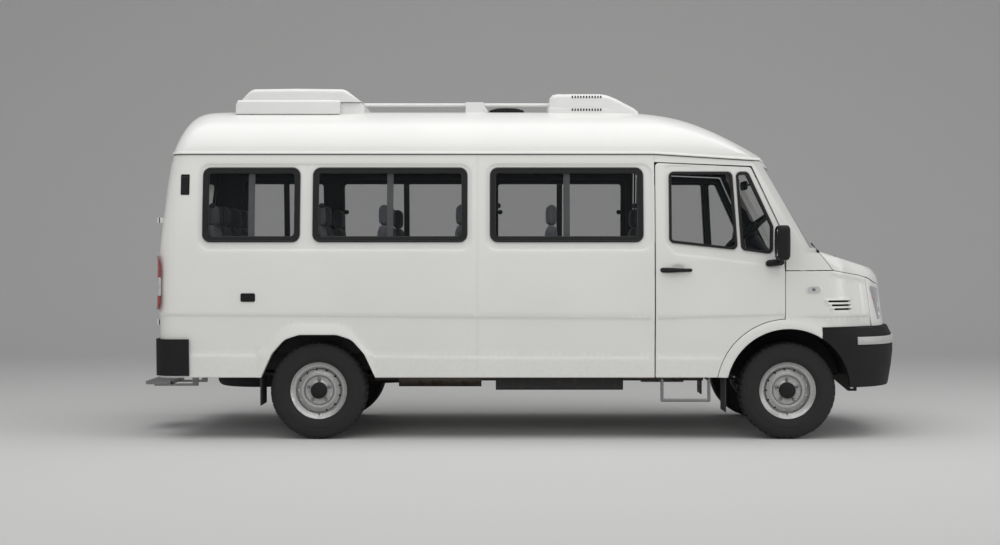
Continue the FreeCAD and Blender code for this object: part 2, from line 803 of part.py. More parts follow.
def rear_window_prism(sign, shrink):
    """Prism along the vehicle for a rear door's window."""
    y_in, y_out = sign * s.rear_window_inner_y, sign * s.rear_window_outer_y
    low, high = min(y_in, y_out) + shrink, max(y_in, y_out) - shrink
    prism = window_prism(low, high, s.rear_window_bottom + shrink, s.rear_window_top - shrink,
                         s.window_corner - shrink, 0, 400)
    prism.rotate(Vector(0, 0, 0), Vector(0, 0, 1), 90)
    prism.translate(Vector(s.body_rear_x + 300, 0, 0))
    return prism


def make_rear_doors():
    """Two doors in the rear face, each with a window, glass and two hinges."""
    half_gap = s.skin_gap / 2
    length = 38.0
    hinge_heights = (814.0, 1546.0)
    for side, sign in SIDES.items():
        zone = block(s.body_rear_x - 100, s.body_rear_x + 260, sign * half_gap,
                     sign * (s.rear_hinge_y - half_gap), s.rear_door_bottom, s.rear_door_top)
        door = shell.common(zone).cut(rear_window_prism(sign, 0))
        axis_y = sign * s.rear_hinge_y
        relief, barrels, stands = [], [], []
        for z in hinge_heights:
            relief.append(Part.makeCylinder(s.rear_hinge_radius + 6, 2 * length + 8,
                                            Vector(s.rear_hinge_x, axis_y, z - 4)))
            barrels.append(Part.makeCylinder(s.rear_hinge_radius, length, Vector(s.rear_hinge_x, axis_y, z)))
            strap = block(s.rear_hinge_x - 4, rear_x(z) + 20, axis_y, axis_y - sign * 60, z, z + length)
            barrels.append(strap)
            top = z + length + 0.5
            stands.append(Part.makeCylinder(s.rear_hinge_radius, length, Vector(s.rear_hinge_x, axis_y, top)))
            stands.append(block(s.rear_hinge_x - 4, rear_x(z) + 40, axis_y, axis_y + sign * 30, top, top + length))
        feature(f"rear_door_{side}", joined([door.cut(Part.makeCompound(relief))] + barrels))
        feature(f"rear_glass_{side}", glass_shell.common(rear_window_prism(sign, s.seat_gap)))
        corner_pieces[side] = (Part.makeCompound(relief), stands)


def door_window_faces(grow):
    """Outlines of a front door's main window and quarter window, rounded."""
    top = s.door_window_top + grow
    bar = s.door_bar_width
    main = [(s.door_window_rear_x - grow, top), (s.door_bar_top_x + grow, top),
            (s.door_bar_foot_x + grow, s.door_window_foot_front - grow),
            (s.door_window_rear_x - grow, s.door_window_foot_rear - grow)]
    foot = s.door_window_foot_front - grow
    quarter = [(s.door_bar_top_x + bar - grow, top), (s.quarter_window_top_x + grow, top),
               (s.quarter_window_tip_x + grow, s.quarter_window_tip_height),
               (s.quarter_window_tip_x - 4 + grow, foot - 30), (s.door_bar_foot_x + bar - grow, foot)]
    return [main, quarter]


def door_window_prism(points, radius, side):
    """Rounded prism through a door for one window outline."""
    solid = side_prism(points, -s.waist_half_width - 100, -s.waist_half_width * 0.6)
    across = [e for e in solid.Edges if abs(e.tangentAt(e.FirstParameter).y) > 0.99]
    return for_side(solid.makeFillet(radius, across), side)


def make_front_doors():
    """Front doors as thick as their walls, with glass, and with rubber, handle and mirror."""
    ring = s.rubber_width * 0.45
    hinge_y = s.waist_half_width + s.hinge_stand_off
    hinge_x = s.door_front_x - 2
    length = s.hinge_barrel_length
    for side, sign in SIDES.items():
        door = shell.common(door_prism(0, side))
        holes = [door_window_prism(face, s.door_window_corner, side) for face in door_window_faces(0)]
        relief, barrels, stands = [], [], []
        for z in (s.lower_hinge_height, s.upper_hinge_height):
            relief.append(Part.makeCylinder(11, 2 * length + 10, Vector(hinge_x, sign * hinge_y, z - 5)))
            barrels.append(Part.makeCylinder(s.hinge_barrel_radius, length, Vector(hinge_x, sign * hinge_y, z)))
            barrels.append(block(hinge_x - 24, hinge_x, sign * (hinge_y - 12), sign * (hinge_y + 2), z, z + length))
            top = z + length + 0.5
            stands.append(Part.makeCylinder(s.hinge_barrel_radius, length, Vector(hinge_x, sign * hinge_y, top)))
            stands.append(block(hinge_x + 3, hinge_x + 24, sign * (hinge_y - 16), sign * (hinge_y + 2), top,
                                top + length))
        panel = door.cut(Part.makeCompound(holes + relief))
        feature(f"door_{side}", joined([panel] + barrels))
        hinge_pieces[side] = (Part.makeCompound(relief), stands)

        panes = []
        for face in door_window_faces(-ring - s.seat_gap):
            panes.append(glass_shell.common(door_window_prism(face, s.door_window_corner - ring, side)))
        feature(f"door_glass_{side}", apart(panes))

        trim = []
        for outer_face, inner_face in zip(door_window_faces(-s.seat_gap), door_window_faces(-ring)):
            frame = door_window_prism(outer_face, s.door_window_corner, side)
            frame = frame.cut(door_window_prism(inner_face, s.door_window_corner - ring, side))
            trim.append(rubber_shell.common(frame))
        trim.append(door_handle(side).cut(skin_clear))
        trim.append(mirror(side).cut(skin_clear))
        feature(f"door_trim_{side}", apart(trim))


def door_handle(side):
    """Pull handle that stands on the door skin."""
    skin_y = half_width(s.handle_height) + s.seat_gap
    x = s.handle_start_x
    z = s.handle_height
    grip = block(x, x + s.handle_length, -skin_y - 38, -skin_y - 18, z - 14, z + 14)
    feet = [block(x + a, x + a + 34, -skin_y - 30, -skin_y + 10, z - 12, z + 12) for a in (4, s.handle_length - 38)]
    return for_side(joined([grip] + feet), side)


def mirror(side):
    """Mirror head with rounded edges on a bracket that seats on the door skin."""
    x, z = s.mirror_x, s.mirror_bottom
    y = -s.mirror_stand_off
    head = block(x, x + s.mirror_depth, y, y - s.mirror_width, z, z + s.mirror_height)
    head = head.makeFillet(30, [e for e in head.Edges if abs(e.tangentAt(e.FirstParameter).y) > 0.9])
    skin_y = half_width(z) + s.seat_gap
    foot = block(x - 72, x + 40, -skin_y - 14, -skin_y + 12, z - 43, z + 25)
    arm = block(x - 60, x + 60, y - 40, -skin_y - 6, z - 38, z - 10)
    post = block(x + 20, x + 60, y - 40, y - 6, z - 30, z + 20)
    return for_side(joined([head, foot, arm, post]), side)


def make_glass():
    """Windscreen, side panes and the rubbers that hold the side panes."""
    low = s.screen_foot_height + 25 + s.seat_gap
    half = s.screen_half_width - s.seat_gap
    outline = [(-half, low), (half, low), (half - 110, s.screen_top_height - s.seat_gap),
               (-half + 110, s.screen_top_height - s.seat_gap)]
    front = end_prism(outline, s.door_top_front_x - 150, FAR)
    panes = [glass_shell.common(front)]
    rubbers = []
    ring = s.rubber_width
    for side, sign in SIDES.items():
        for x_start, x_end in windows():
            hole = window_prism(x_start + ring + s.seat_gap, x_end - ring - s.seat_gap,
                                s.window_bottom + ring + s.seat_gap, s.window_top - ring - s.seat_gap,
                                s.window_corner * 0.6, sign * 700, sign * 1200)
            panes.append(glass_shell.common(hole))
            outer_ring = window_prism(x_start + s.seat_gap, x_end - s.seat_gap, s.window_bottom + s.seat_gap,
                                      s.window_top - s.seat_gap, s.window_corner - s.seat_gap,
                                      sign * 700, sign * 1200)
            inner_ring = window_prism(x_start + ring, x_end - ring, s.window_bottom + ring, s.window_top - ring,
                                      s.window_corner * 0.6, sign * 700, sign * 1200)
            rubbers.append(rubber_shell.common(outer_ring.cut(inner_ring)))
    feature("body_glass", apart(panes))
    feature("window_rubbers", apart(rubbers))


def bumper_plan(height, front, inset):
    """Plan outline of the front bumper at one height."""
    side = s.waist_half_width + 2 - inset
    tip = front - inset
    back = s.bumper_rear_x - 200
    right = Part.BSplineCurve()
    right.interpolate([
        Vector(back + 200, -side, height),
        Vector(tip - 330, -side * 0.93, height),
        Vector(tip - 130, -side * 0.72, height),
        Vector(tip - 36, -side * 0.42, height),
        Vector(tip, 0, height),
    ], Tangents=[Vector(1, 0, 0)] + [Vector(0, 0, 0)] * 3 + [Vector(0, 1, 0)],
        TangentFlags=[True, False, False, False, True])
    left_edge = right.toShape().mirror(Vector(0, 0, 0), Vector(0, 1, 0))
    return Part.Wire(Part.__sortEdges__([
        Part.makeLine(Vector(back, -side, height), Vector(back + 200, -side, height)),
        right.toShape(),
        left_edge,
        Part.makeLine(Vector(back + 200, side, height), Vector(back, side, height)),
        Part.makeLine(Vector(back, side, height), Vector(back, -side, height)),
    ]))


def make_bumpers():
    """Front bumper with its arch edge, and the rear bumper that wraps the corners."""
    rise = s.bumper_top - s.bumper_bottom
    levels = [(s.bumper_bottom, -34), (s.bumper_bottom + 0.3 * rise, -12), (s.bumper_bottom + 0.55 * rise, 0),
              (s.bumper_top - 0.2 * rise, 0), (s.bumper_top, -44)]
    solid = Part.makeLoft([bumper_plan(z, s.bumper_front_x + a, 0) for z, a in levels], True, True)
    hollow = Part.makeLoft([bumper_plan(z, s.bumper_front_x + a, s.bumper_wall) for z, a in
                            [(levels[0][0] - 1, levels[0][1])] + levels[1:-1] +
                            [(levels[-1][0] + 1, levels[-1][1])]], True, True)
    bumper = solid.cut(hollow).common(block(s.bumper_rear_x, FAR, -FAR, FAR, 0, FAR))
    bumper = bumper.cut(wheel_cylinder(s.front_axle_x, s.arch_radius, -1200, 1200))
    shelf = solid.common(block(s.nose_x - 100, FAR, -700, 700, s.bumper_top - 130, s.bumper_top - 90))
    feature("front_bumper", joined([bumper, shelf]))

    outer_skin = cabin_envelope(-22.0).cut(skin_clear)
    zone = block(-FAR, s.rear_bumper_end_x, -FAR, FAR, s.rear_bumper_bottom, s.rear_bumper_top)
    feature("rear_bumper", outer_skin.common(zone))


def make_steps():
    """Rear step plate on its bars, and a tube step below each front door."""
    thickness = s.rear_step_thickness
    top = s.rear_step_height + thickness / 2
    low = top - thickness
    end = s.rear_step_end_x
    half = s.rear_step_width / 2
    plate = block(end, end + s.rear_step_depth, -half, half, low, top)
    plate = plate.makeFillet(20, [e for e in plate.Edges if abs(e.tangentAt(e.FirstParameter).z) > 0.9])
    frame_end = s.body_rear_x + 98
    bars = []
    for sign in (-1, 1):
        bars.append(block(end + 60, frame_end + 50, sign * 170, sign * 210, low - 14, low + 2))
        bars.append(block(frame_end + 10, frame_end + 50, sign * 170, sign * 210, low - 14,
                          s.rail_bottom - s.seat_gap))
    pieces = [joined([plate] + bars)]
    radius = s.step_tube_radius
    y = s.sill_half_width - 40
    z = s.side_step_height + radius
    bend = s.sill_height - 18
    rail_y = s.rail_span / 2 - s.rail_width / 2
    for side in SIDES:
        first = s.side_step_start + radius
        last = first + s.side_step_length - 2 * radius
        tubes = [rod(Vector(first, -y, z), Vector(last, -y, z), radius)]
        for x in (first, last):
            tubes.append(rod(Vector(x, -y, z), Vector(x, -y, bend), radius))
            tubes.append(rod(Vector(x, -y, bend), Vector(x, -rail_y, bend), radius))
            tubes.append(rod(Vector(x, -rail_y, bend), Vector(x, -rail_y, s.rail_bottom - s.seat_gap), radius))
            for corner in (Vector(x, -y, z), Vector(x, -y, bend), Vector(x, -rail_y, bend)):
                tubes.append(Part.makeSphere(radius, corner))
        pieces.append(for_side(joined(tubes), side))
    feature("steps", apart(pieces))


def make_tail_lamps():
    """Tall lamps at the rear corners, standing just proud of the skin."""
    skin = cabin_envelope(-8.0).cut(skin_clear)
    lamps = []
    for sign in (-1, 1):
        zone = block(s.body_rear_x - 40, s.body_rear_x + 80, sign * (s.rear_hinge_y + 20), sign * 1100, 925, 1309)
        lamps.append(skin.common(zone))
    feature("tail_lamps", apart(lamps))


def make_frame():
    """Ladder frame with cross members and the leaf springs that it carries."""
    y = s.rail_span / 2
    low, top = s.rail_bottom, s.floor_bottom - s.seat_gap
    back, front = s.body_rear_x + 98, s.nose_x - 130
    pieces = []
    for sign in (-1, 1):
        pieces.append(block(back, front, sign * (y - s.rail_width), sign * y, low, top))
    for x in (back, front - 60):
        pieces.append(block(x, x + 60, -y + 10, y - 10, low, top))
    for x in CROSS_MEMBERS:
        pieces.append(block(x, x + 60, -y + 10, y - 10, low + 60, top))
    tank_top = s.tank_bottom + s.tank_height
    for share in (0.15, 0.8):
        x = s.tank_start_x + share * s.tank_length
        pieces.append(block(x, x + 50, -y + 10, -s.tank_inner_y - s.tank_width, tank_top + s.seat_gap, top))
    eye_x = s.tow_eye_x
    hook = side_prism([(eye_x - 150, low + 5), (eye_x - 150, low - 60), (eye_x - 30, s.tow_eye_height - 34),
                       (eye_x + 34, s.tow_eye_height - 34), (eye_x + 34, s.tow_eye_height + 34),
                       (eye_x - 20, low + 5)], -y + 20, -y + 40)
    hook = hook.cut(Part.makeCylinder(s.tow_eye_radius, 200, Vector(eye_x, -y - 60, s.tow_eye_height),
                                      Vector(0, 1, 0)))
    pieces.append(hook)
    rear_seat = s.tyre_radius + s.axle_tube_radius
    front_seat = s.tyre_radius - 46 + s.axle_beam_height
    for x, seat in ((s.front_axle_x, front_seat), (REAR_AXLE_X, rear_seat)):
        half = s.spring_length / 2
        for sign in (-1, 1):
            y_low = sign * (y - s.rail_width / 2) - s.spring_width / 2
            bottom = seat + s.seat_gap
            eye = low - 22
            arc_low = Part.Arc(Vector(x - half, y_low, eye), Vector(x, y_low, bottom),
                               Vector(x + half, y_low, eye)).toShape()
            arc_high = arc_low.translated(Vector(0, 0, s.spring_thickness * 0.6))
            ends = [Part.makeLine(arc_low.Vertexes[i].Point, arc_high.Vertexes[i].Point) for i in (0, 1)]
            leaf = Part.Face(Part.Wire(Part.__sortEdges__([arc_low, arc_high] + ends)))
            leaf = leaf.extrude(Vector(0, s.spring_width, 0))
            pieces.append(leaf)
            for end in (-1, 1):
                hanger_x = x + end * (half - 20)
                pieces.append(block(hanger_x - 20, hanger_x + 20, y_low, y_low + s.spring_width, eye - 8, low + 5))
    feature("frame_rails", joined(pieces))


def make_axles():
    """Front beam with kingpin eyes, knuckles, and the rear axle with its differential."""
    pin_y = s.kingpin_span / 2
    eye_low, eye_top = s.tyre_radius - 46, s.tyre_radius + 46
    beam = [block(s.front_axle_x - 35, s.front_axle_x + 35, -pin_y + 14, pin_y - 14, eye_low,
                  eye_low + s.axle_beam_height)]
    for sign in (-1, 1):
        beam.append(Part.makeCylinder(30, eye_top - eye_low, Vector(s.front_axle_x, sign * pin_y, eye_low)))
    beam = joined(beam)
    for sign in (-1, 1):
        beam = beam.cut(Part.makeCylinder(s.kingpin_radius + s.kingpin_clearance, 400,
                                          Vector(s.front_axle_x, sign * pin_y, 200)))
    feature("front_axle", beam)
    seat_y = s.wheel_track / 2 + 36 - s.axle_seat_gap
    for side, sign in SIDES.items():
        x = s.front_axle_x
        pieces = [
            Part.makeCylinder(s.kingpin_radius, eye_top - eye_low + 40, Vector(x, pin_y, eye_low - 20)),
            Part.makeCylinder(30, 24.5, Vector(x, pin_y, eye_top + 0.5)),
            Part.makeCylinder(30, 24.5, Vector(x, pin_y, eye_low - 25)),
            block(x - 30, x + 30, pin_y, pin_y + 55, eye_top + 0.5, eye_top + 25),
            block(x - 30, x + 30, pin_y, pin_y + 55, eye_low - 25, eye_low - 0.5),
            block(x - 30, x + 30, pin_y + 38, pin_y + 55, eye_low - 25, eye_top + 25),
            rod(Vector(x, pin_y + 50, s.tyre_radius), Vector(x, seat_y, s.tyre_radius), s.spindle_radius),
            rod(Vector(x, pin_y + 60, s.tyre_radius), Vector(x, pin_y + 98, s.tyre_radius), s.drum_radius),
        ]
        knuckle = joined(pieces)
        feature(f"knuckle_{side}", knuckle if sign > 0 else mirrored(knuckle))
    x = REAR_AXLE_X
    z = s.tyre_radius
    rear = [
        rod(Vector(x, -seat_y, z), Vector(x, seat_y, z), s.spindle_radius),
        rod(Vector(x, -pin_y, z), Vector(x, pin_y, z), s.axle_tube_radius),
        Part.makeSphere(s.differential_radius, Vector(x, 0, z)),
    ]
    for sign in (-1, 1):
        rear.append(rod(Vector(x, sign * (pin_y + 60), z), Vector(x, sign * (pin_y + 98), z), s.drum_radius))
        rear.append(rod(Vector(x, sign * (pin_y - 5), z), Vector(x, sign * (pin_y + 65), z), 60))
    feature("rear_axle", joined(rear))
    output_x = s.engine_start_x - s.gearbox_length
    start = Vector(x + s.differential_radius * 0.9, 0, z + 10)
    shaft = rod(start, Vector(output_x - s.seat_gap, 0, s.gearbox_bottom + 60), s.propshaft_radius)
    shaft = shaft.cut(Part.makeSphere(s.differential_radius + s.seat_gap, Vector(x, 0, z)))
    feature("propshaft", shaft.cut(block(output_x - s.seat_gap, FAR, -100, 100, 0, FAR)))


def make_wheels():
    """Tyres and disc wheels; each wheel turns about its own axle."""
    tread = "tyre_radius"
    half = "tyre_width / 2"
    bead = "tyre_bead_radius - 1 + seat_gap"
    tyre_half = [(bead, "rim_width / 2 - 12.6 - seat_gap"), ("rim_flange_radius + 2 * seat_gap",
                 "rim_width / 2 - 5 - seat_gap"), ("rim_flange_radius + 2 * seat_gap", "rim_width / 2 + 8"), ("tyre_bead_radius + 40", f"{half} - 3"),
                 ("tyre_bead_radius + 82", half), ("tyre_radius - 31", f"{half} - 6"),
                 ("tyre_radius - 8", f"{half} - 24"), (tread, f"{half} - 48")]
    tyre_corners = tyre_half + [(r, f"-({a})") for r, a in reversed(tyre_half)]
    flange = "rim_flange_radius"
    rim_corners = [
        ("0", "92"), ("hub_cap_radius - 12", "92"), ("hub_cap_radius", "84"), ("hub_cap_radius", "44"),
        ("lug_circle + 16", "44"), ("lug_circle + 26", "60"), ("lug_circle + 38", "64"),
        ("disc_hole_circle - 14", "54"), ("disc_hole_circle + 4", "46"), ("disc_hole_circle + 9", "22"),
        ("disc_hole_circle + 15", "22"), ("rim_flange_radius - 38", "56"), ("rim_flange_radius - 18", "64"),
        ("rim_flange_radius - 10", "rim_width / 2 - 3"), (flange, "rim_width / 2 + 4"),
        (flange, "rim_width / 2 - 4"), ("tyre_bead_radius - 1", "rim_width / 2 - 12"),
        ("tyre_bead_radius - 1", "-(rim_width / 2 - 12)"), (flange, "-(rim_width / 2 - 4)"),
        (flange, "-(rim_width / 2 + 4)"), ("rim_flange_radius - 10", "-(rim_width / 2 - 3)"),
        ("tyre_bead_radius - 8", "-(rim_width / 2 - 14)"), ("tyre_bead_radius - 8", "13"),
        ("disc_hole_circle + 6", "13"), ("disc_hole_circle - 3", "38"), ("disc_hole_circle - 15", "46"),
        ("lug_circle + 38", "56"), ("lug_circle + 28", "52"), ("lug_circle + 20", "36"), ("0", "36"),
    ]
    for end, axle in (("front", "front_axle_x"), ("rear", "front_axle_x - wheelbase")):
        for side, sign in SIDES.items():
            tyre = doc.addObject("PartDesign::Body", f"Tyre{end}{side}")
            revolved(tyre, profile(tyre, f"TyreProfile{end}{side}", "XY_Plane", tyre_corners))
            rim = doc.addObject("PartDesign::Body", f"Rim{end}{side}")
            revolved(rim, profile(rim, f"RimProfile{end}{side}", "XY_Plane", rim_corners))
            drilled(rim, f"{end}{side}")
            for body, kind in ((tyre, "tyre"), (rim, "rim")):
                body.Placement.Rotation = Rotation(Vector(0, 0, 1), 0 if sign > 0 else 180)
                bind(body, Placement__Base__x=axle, Placement__Base__y=f"{sign} * wheel_track / 2",
                     Placement__Base__z="tyre_radius")
                keep(body, f"{kind}_{end}_{side}")


def drilled(rim, mark):
    """Drill the ring of vent holes through a rim's disc."""
    sketch = rim.newObject("Sketcher::SketchObject", f"VentHole{mark}")
    sketch.AttachmentSupport = [(origin_plane(rim, "XZ_Plane"), "")]
    sketch.MapMode = "FlatFace"
    sketch.addGeometry(Part.Circle(Vector(149, 0, 0), Vector(0, 0, 1), 7), False)
    across = sketch.addConstraint(Sketcher.Constraint("DistanceX", -1, 1, 0, 3, 149.0))
    sketch.addConstraint(Sketcher.Constraint("PointOnObject", 0, 3, -1))
    radius = sketch.addConstraint(Sketcher.Constraint("Radius", 0, 7.0))
    sketch.setExpression(f"Constraints[{across}]", "Sizes.disc_hole_circle")
    sketch.setExpression(f"Constraints[{radius}]", "Sizes.disc_hole_radius")
    hole = rim.newObject("PartDesign::Pocket", f"Vent{mark}")
    hole.Profile = sketch
    hole.Type = 1
    hole.Midplane = True
    ring = rim.newObject("PartDesign::PolarPattern", f"VentRing{mark}")
    ring.Originals = [hole]
    ring.Axis = (sketch, ["N_Axis"])
    ring.Angle = 360
    ring.setExpression("Occurrences", "Sizes.disc_hole_count")
    rim.Tip = ring


def make_underbody():
    """Tank, exhaust, spare wheel and engine as simple masses at their real places."""
    tank = doc.addObject("Part::Box", "TankBlock")
    bind(tank, Length="tank_length", Width="tank_width", Height="tank_height",
         Placement__Base__x="tank_start_x", Placement__Base__y="-tank_inner_y - tank_width",
         Placement__Base__z="tank_bottom")
    rounded = doc.addObject("Part::Fillet", "TankRounded")
    rounded.Base = tank
    doc.recompute()
    rounded.Edges = [(i + 1, 30.0, 30.0) for i, e in enumerate(tank.Shape.Edges)
                     if abs(e.tangentAt(e.FirstParameter).x) > 0.9]
    keep(rounded, "fuel_tank")
    engine = doc.addObject("Part::Box", "EngineBlock")
    bind(engine, Length="engine_length", Width="engine_width", Height="engine_height",
         Placement__Base__x="engine_start_x", Placement__Base__y="-engine_width / 2",
         Placement__Base__z="engine_bottom")
    gearbox = doc.addObject("Part::Box", "GearboxBlock")
    bind(gearbox, Length="gearbox_length + 10", Width="gearbox_width", Height="gearbox_height",
         Placement__Base__x="engine_start_x - gearbox_length", Placement__Base__y="-gearbox_width / 2",
         Placement__Base__z="gearbox_bottom")
    mounting = doc.addObject("Part::Box", "EngineMounting")
    bind(mounting, Length="90", Width="rail_span - 2 * rail_width - 2 * seat_gap", Height="50",
         Placement__Base__x="engine_start_x + engine_length / 2",
         Placement__Base__y="-(rail_span / 2 - rail_width - seat_gap)", Placement__Base__z="engine_bottom + 20")
    power = doc.addObject("Part::MultiFuse", "EngineGearbox")
    power.Shapes = [engine, gearbox, mounting]
    keep(power, "engine")
    spare = Part.makeCylinder(s.tyre_radius, s.tyre_width, Vector(s.spare_x, 0, s.spare_bottom))
    spare = spare.makeFillet(45, [e for e in spare.Edges if e.Length > 1000])
    bore = Part.makeCylinder(s.tyre_bead_radius, 60, Vector(s.spare_x, 0, s.spare_bottom))
    reach = s.rail_span / 2 - s.rail_width - s.seat_gap
    carrier = block(s.spare_x - 40, s.spare_x + 40, -reach, reach, s.spare_bottom + s.tyre_width - 1,
                    s.spare_bottom + s.tyre_width + 18)
    feature("spare_wheel", joined([spare.cut(bore), carrier]))
    y, z, radius = -s.exhaust_y, s.exhaust_height, s.exhaust_radius
    pieces = [rod(Vector(1390, y, z), Vector(-300, y, z), radius),
              rod(Vector(-900, y, z), Vector(-280, y, z), s.silencer_radius),
              rod(Vector(-1080, y, z), Vector(-880, y, z), radius)]
    for x in CROSS_MEMBERS[1:]:
        pieces.append(block(x + 20, x + 40, y - 10, y + 10, z, s.rail_bottom + 60 - s.seat_gap))
    feature("exhaust", joined(pieces))


def make_liners():
    """Black arch liners over the front wheels, and a mudflap behind each wheel."""
    hub = Vector(s.front_axle_x, 0, s.tyre_radius)
    radius = s.arch_radius + 7
    liners = []
    for sign in (-1, 1):
        arc = wheel_cylinder(hub.x, radius + 6, sign * 535, sign * (s.sill_half_width - s.wall - 54))
        arc = arc.cut(wheel_cylinder(hub.x, radius, sign * 530, sign * 1000))
        side = wheel_cylinder(hub.x, radius, sign * 535, sign * 541)
        zone = block(hub.x - 600, hub.x + 600, -FAR, FAR, hub.z + 100, FAR)
        tab = block(hub.x - 20, hub.x + 20, sign * 600, sign * 660, hub.z + radius + 2,
                    hub.z + s.arch_radius + 26 - s.seat_gap)
        liners.append(joined([joined([arc, side]).common(zone), tab]))
    feature("wheel_liners", apart(liners))
    flaps = []
    for sign in (-1, 1):
        x = hub.x - math.sqrt(radius ** 2 - 100 ** 2) + 2
        flaps.append(block(x - 8, x, sign * 640, sign * (s.sill_half_width - s.wall - 12), 190,
                           hub.z + 100 - s.seat_gap))
        x = REAR_AXLE_X - 404
        flaps.append(block(x - 8, x, sign * 700, sign * (s.sill_half_width - 4), 243, s.sill_height - s.seat_gap))
    feature("mudflaps", apart(flaps))


def roof_unit(label, start, length, width, top, step, back_slope, front_slope):
    """Roof unit with a skirt, a raised lid and rounded edges."""
    skirt = [(start, s.crown_height - 60), (start + 18, step), (start + length - 40, step),
             (start + length, s.crown_height - 60)]
    lid = [(start + 30, step - 2), (start + back_slope, top), (start + length - front_slope, top),
           (start + length - 60, step - 2)]
    base = side_prism(skirt, -width / 2, width / 2)
    cover = side_prism(lid, -width / 2 + 20, width / 2 - 20)
    across = [e for e in cover.Edges if abs(e.CenterOfMass.z - top) < 1]
    unit = joined([base, cover.makeFillet(24, across)])
    feature(label, unit.cut(roof_cover))


def make_roof_pieces():
    """Two roof units, the pipe between them with its bracket, and a round vent."""
    roof_unit("roof_unit_rear", s.rear_unit_start, s.rear_unit_length, s.rear_unit_width, s.rear_unit_top,
              2450, 106, 173)
    roof_unit("roof_unit_front", s.front_unit_start, s.front_unit_length, s.front_unit_width, s.front_unit_top,
              2440, 49, 268)
    rear_end = s.rear_unit_start + s.rear_unit_length
    y = -400.0
    pipe = rod(Vector(rear_end - 60, y, s.rail_height), Vector(s.front_unit_start + 60, y, s.rail_height),
               s.rail_radius)
    bracket = block(-393, -261, y - 60, y + 60, s.crown_height - 60, s.rail_height + 16)
    rail = joined([pipe, bracket]).cut(roof_cover)
    for unit in [node for node in nodes if node.Label.startswith("roof_unit")]:
        rail = rail.cut(unit.Shape)
    feature("roof_rail", max(rail.Solids, key=lambda piece: piece.Volume))
    vent = Part.makeCylinder(146, 90, Vector(-90, -250, s.crown_height - 60))
    feature("roof_vent", vent.makeFillet(12, [vent.Edges[0]]).cut(roof_cover))


def make_seats():
    """Seats in rows: cushions, backs and headrests, and the frames that carry them."""
    floor_top = s.floor_bottom + s.floor_thickness
    rows = [(241, (-700,)), (-412, (-700, -255)), (-970, (-700, -255, 700)), (-1448, (-700, -255, 700)),
            (-2224, (-700, -235, 235, 700)), (930, (-480, 480))]
    soft, frames = [], []
    for x, places in rows:
        raised = 130.0 if x > 900 else 0.0
        for y in places:
            half = s.seat_width / 2
            low = s.seat_height - 110
            cushion = block(x + 45, x + 45 + s.seat_depth + raised, y - half, y + half, low, s.seat_height)
            back = block(x - 50, x + 40, y - half, y + half, low, s.headrest_top - 150)
            rest = block(x - 42, x + 32, y - 130, y + 130, s.headrest_top - 150 + s.seat_gap,
                         s.headrest_top)
            soft += [cushion.makeFillet(25, cushion.Edges), back.makeFillet(25, back.Edges),
                     rest.makeFillet(25, rest.Edges)]
            plate = block(x - 45, x + 40 + s.seat_depth, y - half + 20, y + half - 20, low - 20,
                          low - s.seat_gap)
            inward = -math.copysign(1, y)
            legs = [block(x + a, x + a + 40, y + inward * b - 15, y + inward * b + 15, floor_top + s.seat_gap,
                          low - 15) for a in (0, 280) for b in (half - 110, half - 40)]
            frames.append(joined([plate] + legs))
    feature("seat_cushions", apart(soft))
    feature("seat_frames", apart(frames))


def make_cockpit():
    """Dashboard with the steering column, and the steering wheel square to the column."""
    back, top = s.dashboard_rear_x, s.dashboard_top
    wall_x = s.engine_start_x - 40 - s.seat_gap
    points = [(back + 20, 1010), (back, top - 55), (back + 70, top), (back + 1000, top), (back + 1000, top - 45),
              (wall_x, top - 45), (wall_x, 1010)]
    board = side_prism(points, -900, 900).common(inside_space)
    centre = Vector(s.steering_wheel_x, -s.steering_wheel_y, s.steering_wheel_height)
    lean = math.radians(52)
    axis = Vector(-math.cos(lean), 0, math.sin(lean))
    foot = centre - axis * 330
    column = rod(foot, centre - axis * 60.4, 34)
    feature("dashboard", joined([board, column]))
    ring = Part.makeTorus(s.steering_wheel_radius, s.steering_tube_radius, centre, axis)
    hub = rod(centre - axis * 60, centre - axis * 10, 45)
    spokes = []
    for i in range(3):
        angle = math.radians(90 + 120 * i)
        side = Vector(0, 1, 0)
        up = axis.cross(side)
        tip = centre + (side * math.cos(angle) + up * math.sin(angle)) * s.steering_wheel_radius
        spokes.append(rod(centre - axis * 35, tip, 11))
    feature("steering_wheel", joined([ring, hub] + spokes))


def make_wipers():
    """Two wiper arms and blades that lie just ahead of the windscreen."""
    wipers = []
    lift = 14.0
    for y in (-560.0, 40.0):
        foot_z = s.screen_foot_height - 8
        spots = [(foot_z, y), (s.screen_foot_height + 60, y + 470)]
        ends = [Vector(screen_x(z, abs(b)) + lift, b, z) for z, b in spots]
        wipers.append(joined([rod(ends[0], ends[1], 6), Part.makeCylinder(13, 20, ends[0] - Vector(13, 0, 0),
                                                                          Vector(1, 0, 0.6))]))
    clear = screen_prism(-s.seat_gap)
    feature("wipers", apart([wiper.cut(clear) for wiper in wipers]))


glass_shell = cabin_envelope(s.glass_inset).cut(cabin_envelope(s.glass_inset + s.glass_thickness))
rubber_shell = cabin_envelope(-s.rubber_proud).cut(cabin_envelope(s.wall - 4))
inside_space = cabin_envelope(s.wall + s.seat_gap)
skin_clear = cabin_envelope(-s.seat_gap)
roof_cover = None
corner_pieces = {}
hinge_pieces = {}


